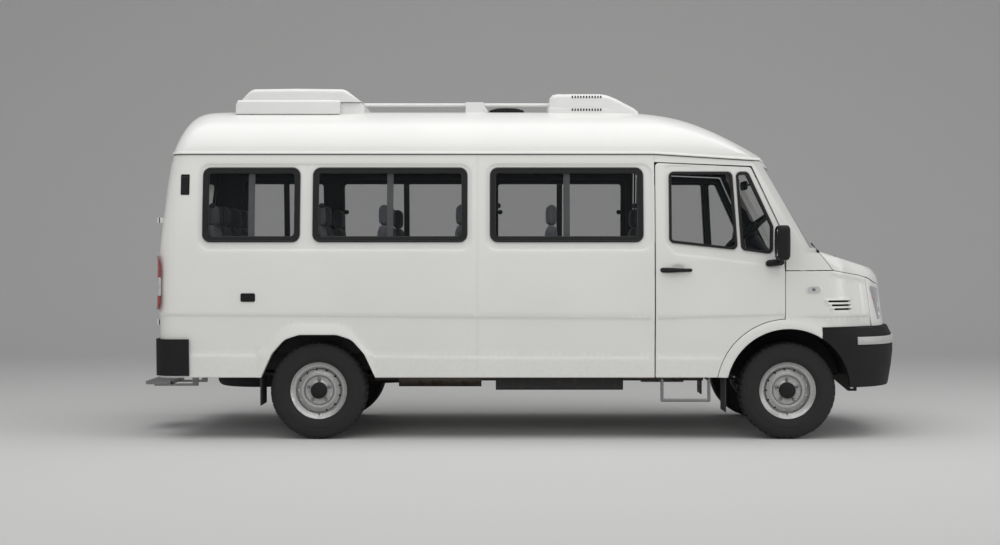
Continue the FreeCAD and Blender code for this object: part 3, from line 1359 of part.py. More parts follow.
def attach_hinges():
    """Fuse the fixed hinge barrels to the rear corners and to the fenders."""
    by_label = {node.Label: node for node in nodes}
    for side in SIDES:
        relief, stands = corner_pieces[side]
        panel = by_label[f"side_{side}"]
        panel.Shape = joined([panel.Shape.cut(relief)] + stands)
    fenders = by_label["fenders"]
    solids = []
    for solid in fenders.Shape.Solids:
        side = "left" if solid.CenterOfMass.y > 0 else "right"
        relief, stands = hinge_pieces[side]
        solids.append(joined([solid.cut(relief)] + stands))
    fenders.Shape = apart(solids)


def build():
    """Make every sub-part."""
    global roof_cover
    make_sides()
    roof_cover = make_roof()
    make_front_frame()
    make_nose()
    make_floor()
    make_rear_doors()
    make_front_doors()
    attach_hinges()
    make_glass()
    make_bumpers()
    make_steps()
    make_tail_lamps()
    make_frame()
    make_axles()
    make_wheels()
    make_underbody()
    make_liners()
    make_roof_pieces()
    make_seats()
    make_cockpit()
    make_wipers()


build()
doc.recompute()
faults = []
for item in doc.Objects:
    if any(state in ("Invalid", "Error") for state in item.State):
        faults.append(f"{item.Label} failed")
for node in nodes:
    if node.Shape.isNull() or not node.Shape.isValid() or not node.Shape.Solids:
        faults.append(f"{node.Label} has no valid solid")
if faults:
    raise RuntimeError("; ".join(faults))
os.makedirs("parts", exist_ok=True)
for node in nodes:
    node.Shape.exportStep(f"parts/{node.Label}.step")
    print(node.Label, len(node.Shape.Solids), round(node.Shape.Volume / 1e9, 5))
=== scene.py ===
"""Looks of a minibus with a raised roof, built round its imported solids. Lengths are metres."""
import logging
import math
from dataclasses import dataclass, field
from enum import Enum
from functools import partial
from typing import Callable, Sequence

import bmesh
import bpy
import numpy as np
from mathutils import Matrix, Vector
from mathutils.bvhtree import BVHTree
from mathutils.geometry import delaunay_2d_cdt


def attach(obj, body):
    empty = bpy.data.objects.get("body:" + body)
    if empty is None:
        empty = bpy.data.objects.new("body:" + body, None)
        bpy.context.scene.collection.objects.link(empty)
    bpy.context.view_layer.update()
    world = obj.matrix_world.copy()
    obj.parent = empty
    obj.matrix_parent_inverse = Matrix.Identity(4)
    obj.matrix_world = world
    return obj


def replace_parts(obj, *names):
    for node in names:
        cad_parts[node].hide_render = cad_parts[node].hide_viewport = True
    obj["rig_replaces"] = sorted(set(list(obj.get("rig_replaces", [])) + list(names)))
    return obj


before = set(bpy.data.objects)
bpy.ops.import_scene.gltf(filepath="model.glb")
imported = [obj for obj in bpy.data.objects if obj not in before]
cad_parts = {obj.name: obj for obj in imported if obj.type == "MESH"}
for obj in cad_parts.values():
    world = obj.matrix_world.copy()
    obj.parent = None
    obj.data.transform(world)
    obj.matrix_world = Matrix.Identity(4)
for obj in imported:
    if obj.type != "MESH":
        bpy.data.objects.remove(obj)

log = logging.getLogger("minibus")
Point = tuple[float, float]
Colour = tuple[float, float, float]
Socket = bpy.types.NodeSocket
Place = Callable[[np.ndarray, np.ndarray, np.ndarray], np.ndarray]


class Side(Enum):
    """A side of the vehicle, as the sign of its Y axis."""

    RIGHT = -1
    LEFT = 1

    @property
    def word(self) -> str:
        """Name as it stands in the solids' names."""
        return self.name.lower()


class Tree:
    """Node tree of one material, with short calls for the nodes that the finishes use."""

    def __init__(self, name: str) -> None:
        """Start a material of that name.

        Args:
            name: its name.
        """
        self.material = bpy.data.materials.new(name)
        self.material.use_nodes = True
        self.tree = self.material.node_tree
        self.shader = self.tree.nodes["Principled BSDF"]
        self.place = self.tree.nodes.new("ShaderNodeTexCoord").outputs["Object"]

    def feed(self, socket: Socket, value: object) -> None:
        """Set a socket's value, or link another socket to it.

        Args:
            socket: the input socket.
            value: a number, a colour or another node's output.
        """
        if isinstance(value, Socket):
            self.tree.links.new(value, socket)
        elif isinstance(value, tuple) and len(value) == 3 and socket.type == "RGBA":
            socket.default_value = (*value, 1.0)
        else:
            socket.default_value = value

    def node(self, kind: str, inputs: dict | None = None, **settings: object) -> bpy.types.Node:
        """Add a node.

        Args:
            kind: node type.
            inputs: values or sockets by input name or number.
            settings: attributes of the node.

        Returns:
            The new node.
        """
        made = self.tree.nodes.new(kind)
        for key, value in settings.items():
            setattr(made, key, value)
        for key, value in (inputs or {}).items():
            self.feed(made.inputs[key], value)
        return made

    def stretched(self, scale: Sequence[float]) -> Socket:
        """Object coordinates with a scale along each axis."""
        return self.node("ShaderNodeMapping", {"Vector": self.place, "Scale": tuple(scale)}).outputs[0]

    def noise(self, scale: float, detail: float = 3.0, where: Socket | None = None) -> Socket:
        """Noise on object coordinates, or on the given vector."""
        vector = self.place if where is None else where
        return self.node("ShaderNodeTexNoise", {"Vector": vector, "Scale": scale, "Detail": detail}).outputs[0]

    def math(self, operation: str, first: object, second: object = 0.0) -> Socket:
        """Combine two values."""
        return self.node("ShaderNodeMath", {0: first, 1: second}, operation=operation).outputs[0]

    def span(self, value: Socket, start: float, end: float, low: float = 0.0, high: float = 1.0) -> Socket:
        """Map a value from start and end to low and high, and stop there."""
        return self.node("ShaderNodeMapRange", {"Value": value, "From Min": start, "From Max": end,
                                                "To Min": low, "To Max": high}).outputs[0]

    def axis(self, letter: str) -> Socket:
        """One of the object coordinates."""
        return self.node("ShaderNodeSeparateXYZ", {"Vector": self.place}).outputs[letter]

    def mix(self, factor: object, first: object, second: object) -> Socket:
        """Blend two colours."""
        return self.node("ShaderNodeMix", {0: factor, 6: first, 7: second}, data_type="RGBA").outputs[2]

    def bump(self, height: Socket, distance: float, strength: float = 1.0) -> None:
        """Raise the surface by a height field."""
        made = self.node("ShaderNodeBump", {"Height": height, "Distance": distance, "Strength": strength})
        self.feed(self.shader.inputs["Normal"], made.outputs[0])

    def set(self, **values: object) -> None:
        """Set or link the shader's inputs; an underscore stands for a blank."""
        for key, value in values.items():
            self.feed(self.shader.inputs[key.replace("_", " ")], value)


def shade(colour: Colour, amount: float) -> Colour:
    """Colour made lighter or darker by a factor."""
    return tuple(min(1.0, part * amount) for part in colour)


@dataclass(frozen=True)
class Finish:
    """A plain moulded surface, and the base of all other finishes."""

    name: str
    colour: Colour
    roughness: float = 0.5
    grain: float = 900.0
    depth: float = 0.00015
    fade: float = 1.18
    shine: float = 0.5

    def dress(self, tree: Tree) -> None:
        """Fine moulded grain with slight wear in the gloss.

        Args:
            tree: the material's tree.
        """
        worn = tree.noise(14.0, 5.0)
        tree.set(Base_Color=tree.mix(tree.span(worn, 0.35, 0.7), self.colour, shade(self.colour, self.fade)),
                 Roughness=tree.span(worn, 0.3, 0.7, self.roughness - 0.06, self.roughness + 0.07),
                 Specular_IOR_Level=self.shine)
        cells = tree.node("ShaderNodeTexVoronoi", {"Vector": tree.place, "Scale": self.grain}).outputs[0]
        tree.bump(cells, self.depth, 0.6)

    def material(self) -> bpy.types.Material:
        """Return the material, made once.

        Returns:
            The material.
        """
        found = bpy.data.materials.get(f"{self.name}_finish")
        if found is None:
            tree = Tree(f"{self.name}_finish")
            self.dress(tree)
            found = tree.material
            found.diffuse_color = (*self.colour, 1.0)
        return found


@dataclass(frozen=True)
class Plain(Finish):
    """An even matt colour."""

    def dress(self, tree: Tree) -> None:
        """Colour and roughness alone."""
        tree.set(Base_Color=self.colour, Roughness=self.roughness)


@dataclass(frozen=True)
class Enamel(Finish):
    """Sprayed gloss paint with a faint ripple, and road dust low down."""

    dust: Colour = (0.40, 0.37, 0.33)
    dust_top: float = 0.75
    coat: float = 0.4

    def dress(self, tree: Tree) -> None:
        """Cloudy colour, ripple, and dust that thickens towards the ground.

        Args:
            tree: the material's tree.
        """
        cloud = tree.span(tree.noise(1.7, 4.0), 0.35, 0.7)
        base = tree.mix(cloud, self.colour, shade(self.colour, 0.97))
        low = tree.span(tree.axis("Z"), self.dust_top, 0.35, 0.0, 0.14)
        specks = tree.span(tree.noise(38.0, 7.0), 0.42, 0.66, 0.15, 1.0)
        tree.set(Base_Color=tree.mix(tree.math("MULTIPLY", low, specks), base, self.dust),
                 Roughness=tree.span(tree.noise(9.0), 0.3, 0.7, self.roughness - 0.05, self.roughness + 0.05),
                 Coat_Weight=self.coat, Coat_Roughness=0.14)
        tree.bump(tree.noise(240.0), 0.0001, 0.5)


@dataclass(frozen=True)
class TyreRubber(Finish):
    """Tyre rubber with fine blooming and dust in its grooves."""

    def dress(self, tree: Tree) -> None:
        """Mottled dark rubber.

        Args:
            tree: the material's tree.
        """
        bloom = tree.span(tree.noise(30.0, 8.0), 0.4, 0.75)
        tree.set(Base_Color=tree.mix(bloom, self.colour, shade(self.colour, 1.9)),
                 Roughness=tree.span(bloom, 0.0, 1.0, self.roughness - 0.08, self.roughness + 0.1))
        tree.bump(tree.noise(700.0, 5.0), 0.0002, 0.7)


@dataclass(frozen=True)
class Cloth(Finish):
    """Woven seat cloth with a melange yarn and a soft sheen."""

    yarn: float = 620.0
    fleck: Colour = (0.16, 0.17, 0.19)

    def dress(self, tree: Tree) -> None:
        """Crossed threads, flecks and wear.

        Args:
            tree: the material's tree.
        """
        waves = []
        for turn in ((1.0, 0.0, 1.0), (0.0, 1.0, 1.0), (1.0, 1.0, 0.0)):
            vector = tree.stretched(turn)
            waves.append(tree.node("ShaderNodeTexWave", {"Vector": vector, "Scale": self.yarn / 6.0,
                                                         "Distortion": 1.2}, wave_type="BANDS",
                                   bands_direction="DIAGONAL").outputs[1])
        weave = tree.math("MULTIPLY", tree.math("ADD", waves[0], waves[1]), waves[2])
        flecks = tree.span(tree.noise(self.yarn, 2.0), 0.45, 0.62)
        tree.set(Base_Color=tree.mix(flecks, self.colour, self.fleck), Roughness=self.roughness,
                 Sheen_Weight=0.35, Sheen_Roughness=0.5)
        tree.bump(weave, 0.0006, 0.6)


@dataclass(frozen=True)
class Metal(Finish):
    """Painted or bare metal: cast, rolled or sprayed silver."""

    metallic: float = 1.0
    rust: float = 0.0
    rust_colour: Colour = (0.10, 0.045, 0.02)

    def dress(self, tree: Tree) -> None:
        """Mottled gloss, small pits and a little rust.

        Args:
            tree: the material's tree.
        """
        mottle = tree.noise(55.0, 6.0)
        spots = tree.math("MULTIPLY", tree.span(tree.noise(21.0, 8.0), 0.55, 0.7), self.rust)
        worn = tree.mix(tree.span(mottle, 0.3, 0.7), self.colour, shade(self.colour, 0.86))
        tree.set(Base_Color=tree.mix(spots, worn, self.rust_colour), Metallic=self.metallic,
                 Roughness=tree.span(mottle, 0.3, 0.7, self.roughness - 0.07, self.roughness + 0.08))
        tree.bump(tree.noise(self.grain, 4.0), self.depth, 0.5)


@dataclass(frozen=True)
class Tinted(Finish):
    """Window glass: mostly clear, with its own tint and reflections."""

    opacity: float = 0.2

    def dress(self, tree: Tree) -> None:
        """Thin tinted sheet with a faint haze.

        Args:
            tree: the material's tree.
        """
        haze = tree.span(tree.noise(5.0, 6.0), 0.4, 0.8, 0.0, 0.03)
        tree.set(Base_Color=self.colour, Alpha=self.opacity, IOR=1.52, Specular_IOR_Level=0.5,
                 Roughness=tree.math("ADD", haze, self.roughness))


@dataclass(frozen=True)
class Lens(Finish):
    """Coloured lamp lens with moulded flutes."""

    flutes: float = 160.0
    glow: float = 0.0

    def dress(self, tree: Tree) -> None:
        """Fluted plastic that lets a little light in.

        Args:
            tree: the material's tree.
        """
        bands = tree.node("ShaderNodeTexWave", {"Vector": tree.place, "Scale": self.flutes, "Distortion": 0.0},
                          wave_type="BANDS", bands_direction="Z").outputs[1]
        deep = tree.mix(tree.span(tree.noise(25.0), 0.3, 0.7), self.colour, shade(self.colour, 0.8))
        tree.set(Base_Color=deep, Roughness=self.roughness, Coat_Weight=1.0, Coat_Roughness=0.03,
                 Subsurface_Weight=0.1, Emission_Color=self.colour, Emission_Strength=self.glow)
        tree.bump(bands, 0.0008, 0.5)


class Paint:
    """The finishes of this vehicle."""

    WHITE = Enamel("white_enamel", (0.76, 0.755, 0.73), 0.34)
    ROOF_WHITE = Enamel("roof_enamel", (0.78, 0.775, 0.755), 0.38, dust=(0.5, 0.48, 0.45), dust_top=0.4)
    # Near-black underbody paint: partly the real black underbody, partly painted shade under the vehicle and on the
    # hidden inner faces of the fenders and grille panel.
    FLOOR = Enamel("underbody_enamel", (0.035, 0.035, 0.037), 0.6, coat=0.0)
    # Near-black inner faces of the body panels and doors: partly dark trim, partly painted shade standing in for the
    # dim cabin seen through the windows.
    LINING = Finish("dark_lining", (0.022, 0.023, 0.026), 0.8, 700.0, 0.0003)
    # Headliner painted near black: painted shade standing in for the unlit cabin roof.
    HEADLINER = Finish("headliner", (0.035, 0.037, 0.041), 0.9, 500.0, 0.0004)
    BLACK = Finish("black_moulding", (0.009, 0.009, 0.010), 0.6, 1100.0, 0.0002, shine=0.3)
    BUMPER = Finish("bumper_moulding", (0.012, 0.012, 0.013), 0.7, 800.0, 0.0003, shine=0.25)
    UNIT = Finish("white_moulding", (0.74, 0.74, 0.725), 0.42, 500.0, 0.0001, fade=0.97)
    RAIL = Finish("window_rail", (0.075, 0.077, 0.080), 0.45, 900.0, 0.0001)
    STRIP = Finish("grey_strip", (0.42, 0.42, 0.41), 0.4, 900.0, 0.0001)
    DASH = Finish("dash_moulding", (0.030, 0.031, 0.034), 0.7, 600.0, 0.0004)
    RUBBER = Finish("window_rubber", (0.013, 0.013, 0.014), 0.5, 1500.0, 0.0001, shine=0.3)
    TYRE = TyreRubber("tyre_rubber", (0.011, 0.011, 0.0115), 0.8)
    FLAP = TyreRubber("flap_rubber", (0.022, 0.022, 0.022), 0.7)
    CLOTH = Cloth("seat_cloth", (0.045, 0.048, 0.054), 0.9)
    PIPING = Cloth("seat_piping", (0.10, 0.105, 0.115), 0.85, fleck=(0.2, 0.2, 0.21))
    SILVER = Metal("wheel_silver", (0.56, 0.56, 0.55), 0.42, 300.0, 0.0002, metallic=0.75, rust=0.1)
    STEEL = Metal("step_steel", (0.33, 0.33, 0.33), 0.45, 300.0, 0.0002, rust=0.15)
    CHASSIS = Metal("chassis_black", (0.016, 0.016, 0.016), 0.6, 200.0, 0.0004, metallic=0.0, rust=0.25)
    IRON = Metal("cast_iron", (0.04, 0.038, 0.036), 0.65, 160.0, 0.0008, metallic=0.6, rust=0.5)
    PIPE = Metal("exhaust_pipe", (0.16, 0.14, 0.12), 0.55, 260.0, 0.0003, metallic=0.8, rust=0.8)
    CHROME = Metal("lamp_mirror", (0.85, 0.85, 0.86), 0.12, 900.0, 0.00002)
    GLASS = Tinted("tinted_glass", (0.02, 0.026, 0.028), 0.02, opacity=0.11)
    CLEAR = Tinted("clear_lens", (0.6, 0.62, 0.64), 0.03, opacity=0.25)
    RED = Lens("red_lens", (0.33, 0.008, 0.012), 0.18)
    AMBER = Lens("amber_lens", (0.75, 0.22, 0.02), 0.2)
    WHITE_LENS = Lens("white_lens", (0.62, 0.60, 0.60), 0.2)


def sharpened(mesh: bpy.types.Mesh, angle: float = 33.0) -> bpy.types.Mesh:
    """Shade a mesh smoothly except over edges sharper than an angle in degrees.

    Args:
        mesh: the mesh.
        angle: edges sharper than this many degrees stay sharp.

    Returns:
        The same mesh.
    """
    mesh.polygons.foreach_set("use_smooth", [True] * len(mesh.polygons))
    mesh.set_sharp_from_angle(angle=math.radians(angle))
    return mesh


def made_object(name: str, mesh: bpy.types.Mesh, *finishes: Finish) -> bpy.types.Object:
    """Link a mesh to the scene with its finishes.

    Args:
        name: its name.
        mesh: the mesh.
        finishes: its finishes, in the order of its material slots.

    Returns:
        The object.
    """
    for finish in finishes:
        mesh.materials.append(finish.material())
    made = bpy.data.objects.new(name, mesh)
    bpy.context.scene.collection.objects.link(made)
    return made


def gained(group: bmesh.types.BMesh, source: bmesh.types.BMesh, slot: int | None = 0) -> None:
    """Add one mesh to another, and free it.

    Args:
        group: the mesh that grows.
        source: the mesh to add.
        slot: material slot for its faces; None keeps their own.
    """
    corners = {vert: group.verts.new(vert.co) for vert in source.verts}
    for face in source.faces:
        made = group.faces.new([corners[vert] for vert in face.verts])
        made.material_index = face.material_index if slot is None else slot
        made.smooth = face.smooth
    source.free()


def slab(low: Sequence[float], high: Sequence[float], bevel: float = 0.0, steps: int = 2) -> bmesh.types.BMesh:
    """Box between two corners with rounded edges.

    Args:
        low: one corner.
        high: the opposite corner.
        bevel: edge radius.
        steps: segments of each rounded edge.

    Returns:
        The box as a loose mesh.
    """
    box = bmesh.new()
    bmesh.ops.create_cube(box, size=1.0)
    start, end = np.minimum(low, high), np.maximum(low, high)
    for vert in box.verts:
        vert.co = Vector(start + (np.array(vert.co) + 0.5) * (end - start))
    if bevel > 0:
        reach = min(bevel, 0.49 * float(min(end - start)))
        bmesh.ops.bevel(box, geom=box.edges[:], offset=reach, segments=steps, affect="EDGES", profile=0.5)
    return box


def lathe(outline: Sequence[Point], centre: Sequence[float], axis: Sequence[float], steps: int = 48,
          loop: bool = False) -> bmesh.types.BMesh:
    """Turn an outline of (along, radius) pairs round an axis.

    Args:
        outline: the pairs in order; an end at radius 0 closes the form.
        centre: origin of the axis.
        axis: direction of the axis.
        steps: segments round the axis.
        loop: whether the outline closes on itself.

    Returns:
        The turned form as a loose mesh.
    """
    form = bmesh.new()
    spin = Vector((0, 0, 1)).rotation_difference(Vector(axis)).to_matrix()
    place = Vector(centre)
    rings = []
    for along, radius in outline:
        if radius < 1e-6:
            rings.append([form.verts.new(spin @ Vector((0, 0, along)) + place)])
            continue
        ring = []
        for i in range(steps):
            turn = math.tau * i / steps
            ring.append(form.verts.new(spin @ Vector((radius * math.cos(turn), radius * math.sin(turn), along))
                                       + place))
        rings.append(ring)
    bridged(form, rings + rings[:1] if loop else rings)
    bmesh.ops.recalc_face_normals(form, faces=form.faces)
    return form


def bridged(form: bmesh.types.BMesh, rings: Sequence[list], closed: bool = True, capped: bool = False) -> None:
    """Join rings of vertices one after another; a ring of one vertex is a tip.

    Args:
        form: the loose mesh.
        rings: rows of vertices, all equally long.
        closed: whether each ring's last vertex joins its first.
        capped: whether the first and the last ring get a face each.
    """
    for first, second in zip(rings, rings[1:]):
        count = max(len(first), len(second))
        for i in range(count if closed else count - 1):
            following = (i + 1) % count
            if len(first) == 1:
                form.faces.new((first[0], second[following], second[i]))
            elif len(second) == 1:
                form.faces.new((first[i], first[following], second[0]))
            else:
                form.faces.new((first[i], first[following], second[following], second[i]))
    if capped:
        form.faces.new(rings[0][::-1])
        form.faces.new(rings[-1])


def walled(form: bmesh.types.BMesh, outer: list[list], inner: list[list]) -> None:
    """Join the rows of vertices of an outer and an inner face into one closed sheet.

    Args:
        form: the loose mesh.
        outer: rows of the outer face.
        inner: rows of the inner face, as many and as long.
    """
    sheet = outer + inner[::-1]
    bridged(form, sheet + sheet[:1], closed=False)
    for end in (0, -1):
        for i in range(len(outer) - 1):
            form.faces.new((outer[i][end], outer[i + 1][end], inner[i + 1][end], inner[i][end]))


def laid(form: bmesh.types.BMesh, place: Place, lines: Sequence[tuple[np.ndarray, float]]) -> list[list]:
    """Add rings of vertices along lines on a surface.

    Args:
        form: the loose mesh.
        place: the surface's rule.
        lines: pairs of a line in the surface's own coordinates and its height over the surface.

    Returns:
        The rings of vertices.
    """
    return [[form.verts.new(point) for point in place(line[:, 0], line[:, 1], np.full(len(line), out))]
            for line, out in lines]


def tube(path: Sequence[Sequence[float]], radius: float | Sequence[float], steps: int = 12, closed: bool = False
         ) -> bmesh.types.BMesh:
    """Round bar along a line of points, with capped ends.

    Args:
        path: points along its middle.
        radius: its radius.
        steps: sides or steps of a turn.
        closed: whether the last one joins the first.

    Returns:
        The form as a loose mesh.
    """
    points = [Vector(point) for point in path]
    sizes = [radius] * len(points) if isinstance(radius, (int, float)) else list(radius)
    form = bmesh.new()
    rings = []
    across = None
    for i, point in enumerate(points):
        before = points[i - 1] if i or closed else point
        after = points[(i + 1) % len(points)] if i + 1 < len(points) or closed else point
        along = (after - before).normalized()
        if across is None:
            across = along.orthogonal().normalized()
        across = (across - along * across.dot(along)).normalized()
        other = along.cross(across)
        rings.append([form.verts.new(point + (across * math.cos(math.tau * k / steps)
                                              + other * math.sin(math.tau * k / steps)) * sizes[i])
                      for k in range(steps)])
    bridged(form, rings + rings[:1] if closed else rings, capped=not closed)
    bmesh.ops.recalc_face_normals(form, faces=form.faces)
    return form


def curve_points(corners: Sequence[Sequence[float]], radius: float, steps: int = 6) -> list[Vector]:
    """Points of a line whose inner corners are rounded.

    Args:
        corners: the corner points.
        radius: its radius.
        steps: sides or steps of a turn.

    Returns:
        Points along the curve.
    """
    spots = [Vector(corner) for corner in corners]
    line = [spots[0]]
    for before, spot, after in zip(spots, spots[1:], spots[2:]):
        into, out = (before - spot), (after - spot)
        reach = min(radius, into.length * 0.49, out.length * 0.49)
        start, end = spot + into.normalized() * reach, spot + out.normalized() * reach
        for i in range(steps + 1):
            t = i / steps
            line.append(start * (1 - t) ** 2 + spot * 2 * t * (1 - t) + end * t ** 2)
    return line + [spots[-1]]


def rounded(corners: Sequence[tuple[float, float, float]], steps: int = 7) -> np.ndarray:
    """Closed outline whose corners (x, z, radius) are rounded.

    Args:
        corners: outline corners in order, each with its radius.
        steps: segments of each rounded corner.

    Returns:
        An array of points.
    """
    line = []
    for i, (x, z, radius) in enumerate(corners):
        spot = np.array((x, z))
        into = np.array(corners[i - 1][:2]) - spot
        out = np.array(corners[(i + 1) % len(corners)][:2]) - spot
        if radius <= 0:
            line.append(spot)
            continue
        reach_in, reach_out = np.linalg.norm(into), np.linalg.norm(out)
        into, out = into / reach_in, out / reach_out
        half = math.acos(float(np.clip(into @ out, -1, 1))) / 2
        reach = min(radius / math.tan(half), 0.49 * reach_in, 0.49 * reach_out)
        size = reach * math.tan(half)
        middle = spot + (into + out) / np.linalg.norm(into + out) * (size / math.sin(half))
        start, end = spot + into * reach - middle, spot + out * reach - middle
        for k in range(steps + 1):
            t = k / steps
            arm = start * (1 - t) + end * t
            line.append(middle + arm / np.linalg.norm(arm) * size)
    return np.array(line)


def oblong(x_start: float, x_end: float, z_start: float, z_end: float, radius: float, steps: int = 7) -> np.ndarray:
    """Closed outline of a rectangle with round corners."""
    return rounded([(x_start, z_start, radius), (x_end, z_start, radius), (x_end, z_end, radius),
                    (x_start, z_end, radius)], steps)


def distance(points: np.ndarray, outline: np.ndarray) -> np.ndarray:
    """Signed distance of points from a closed outline, positive inside.

    Args:
        points: points as rows.
        outline: closed outline as rows of points.

    Returns:
        Distances, positive inside.
    """
    start = outline
    arm = np.roll(outline, -1, axis=0) - start
    best = np.full(len(points), np.inf)
    inside = np.zeros(len(points), bool)
    for (x, z), (dx, dz) in zip(start, arm):
        gap = points - (x, z)
        length = dx * dx + dz * dz
        if length < 1e-16:
            continue
        share = np.clip((gap[:, 0] * dx + gap[:, 1] * dz) / length, 0, 1)
        away = np.hypot(gap[:, 0] - share * dx, gap[:, 1] - share * dz)
        best = np.minimum(best, away)
        crosses = (z > points[:, 1]) != (z + dz > points[:, 1])
        with np.errstate(divide="ignore", invalid="ignore"):
            at = x + (points[:, 1] - z) * dx / dz
        inside ^= crosses & (points[:, 0] < at)
    return np.where(inside, best, -best)


def smooth_step(value: np.ndarray, start: float, end: float) -> np.ndarray:
    """Rise smoothly from 0 at start to 1 at end."""
    share = np.clip((value - start) / (end - start), 0, 1)
    return share * share * (3 - 2 * share)


WELD = 2e-5


def merged(node: str) -> bmesh.types.BMesh:
    """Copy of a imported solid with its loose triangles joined.

    Args:
        node: the node's name.

    Returns:
        The form as a loose mesh.
    """
    form = bmesh.new()
    form.from_mesh(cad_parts[node].data)
    bmesh.ops.remove_doubles(form, verts=form.verts, dist=WELD)
    return form


@dataclass
class Packed:
    """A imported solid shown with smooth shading: a merged copy that stands for the node."""

    node: str
    body: str
    finish: Finish
    slot: str
    lining: Finish | None = None
    angle: float = 33.0

    def build(self) -> bpy.types.Object:
        """Merge the solid's triangles, dress it and let it ride on its body.

        Returns:
            The new object.
        """
        form = merged(self.node)
        if self.lining:
            for face in form.faces:
                face.material_index = int(self.inward(face))
        mesh = bpy.data.meshes.new(f"{self.node}_surface")
        form.to_mesh(mesh)
        form.free()
        if mesh.attributes.get("custom_normal"):
            mesh.attributes.remove(mesh.attributes["custom_normal"])
        finishes = [self.finish] + ([self.lining] if self.lining else [])
        made = made_object(f"{self.node}_surface", sharpened(mesh, self.angle), *finishes)
        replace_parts(made, self.node)
        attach(made, self.body)
        return made

    @staticmethod
    def inward(face: bmesh.types.BMFace) -> bool:
        """Whether a face of the body looks into the cabin.

        Args:
            face: the face.

        Returns:
            Whether it does.
        """
        centre = face.calc_center_median()
        out = Vector((centre.x if abs(centre.x) > 2.3 else 0.0, centre.y if abs(centre.y) > 0.8 else 0.0,
                      centre.z - 1.2 if centre.z > 2.0 else 0.0))
        return out.length > 0 and face.normal.dot(out) < -0.05 * out.length


PACKED = (
    Packed("front_frame", "body", Paint.WHITE, "body_paint", Paint.LINING),
    # The floor takes the near-black underbody paint, partly painted shade under the vehicle.
    Packed("floor", "body", Paint.FLOOR, "floor_paint"),
    Packed("rear_door_right", "rear_door_right", Paint.WHITE, "body_paint", Paint.LINING),
    Packed("rear_door_left", "rear_door_left", Paint.WHITE, "body_paint", Paint.LINING),
    Packed("rear_glass_right", "rear_door_right", Paint.GLASS, "tinted_glass"),
    Packed("rear_glass_left", "rear_door_left", Paint.GLASS, "tinted_glass"),
    Packed("door_glass_right", "door_right", Paint.GLASS, "tinted_glass"),
    Packed("door_glass_left", "door_left", Paint.GLASS, "tinted_glass"),
    Packed("body_glass", "body", Paint.GLASS, "tinted_glass"),
    Packed("window_rubbers", "body", Paint.RUBBER, "window_rubber"),
    Packed("front_bumper", "body", Paint.BUMPER, "black_plastic"),
    Packed("rear_bumper", "body", Paint.BUMPER, "black_plastic"),
    Packed("steps", "body", Paint.STEEL, "step_steel"),
    Packed("frame_rails", "body", Paint.CHASSIS, "frame_steel"),
    Packed("front_axle", "body", Paint.IRON, "axle_iron"),
    Packed("knuckle_right", "knuckle_right", Paint.IRON, "axle_iron"),
    Packed("knuckle_left", "knuckle_left", Paint.IRON, "axle_iron"),
    Packed("rear_axle", "body", Paint.IRON, "axle_iron"),
    Packed("propshaft", "body", Paint.IRON, "axle_iron"),
    Packed("fuel_tank", "body", Paint.CHASSIS, "tank_steel"),
    Packed("engine", "body", Paint.IRON, "engine_iron"),
    Packed("spare_wheel", "body", Paint.TYRE, "tyre_rubber"),
    Packed("exhaust", "body", Paint.PIPE, "exhaust_steel"),
    Packed("wheel_liners", "body", Paint.BLACK, "black_plastic"),
    Packed("mudflaps", "body", Paint.FLAP, "flap_rubber"),
    Packed("roof_rail", "body", Paint.UNIT, "rail_paint"),
    Packed("seat_frames", "body", Paint.CHASSIS, "frame_steel"),
    Packed("dashboard", "body", Paint.DASH, "dash_plastic"),
    Packed("steering_wheel", "steering_wheel", Paint.BLACK, "black_plastic"),
    Packed("wipers", "body", Paint.BLACK, "black_plastic"),
)
SILL, WAIST, GUTTER = 0.442, 0.885, 2.045
WHEELS = {"front": 1.920, "rear": -1.430}
HUB_HEIGHT = 0.346


@dataclass
class Assembly:
    """A group of pieces that ride on one body or more."""

    made: list[bpy.types.Object] = field(default_factory=list, init=False)

    def add(self, name: str, form: bmesh.types.BMesh, body: str, slot: str, *finishes: Finish,
            stands_for: Sequence[str] = (), angle: float = 35.0) -> bpy.types.Object:
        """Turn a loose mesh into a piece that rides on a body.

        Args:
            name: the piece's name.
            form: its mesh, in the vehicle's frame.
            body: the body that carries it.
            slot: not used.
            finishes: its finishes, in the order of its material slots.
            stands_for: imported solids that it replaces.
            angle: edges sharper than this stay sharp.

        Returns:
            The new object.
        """
        mesh = bpy.data.meshes.new(name)
        form.to_mesh(mesh)
        form.free()
        piece = made_object(name, sharpened(mesh, angle), *finishes)
        return self.keep(piece, body, stands_for)

    def keep(self, piece: bpy.types.Object, body: str, stands_for: Sequence[str] = ()
             ) -> bpy.types.Object:
        """Let a finished object ride on a body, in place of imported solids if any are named.

        Args:
            piece: the finished object.
            body: the body that carries it.
            stands_for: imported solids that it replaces.

        Returns:
            The object.
        """
        if stands_for:
            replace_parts(piece, *stands_for)
        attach(piece, body)
        self.made.append(piece)
        return piece

    def build(self) -> list[bpy.types.Object]:
        """Make the pieces."""
        raise NotImplementedError


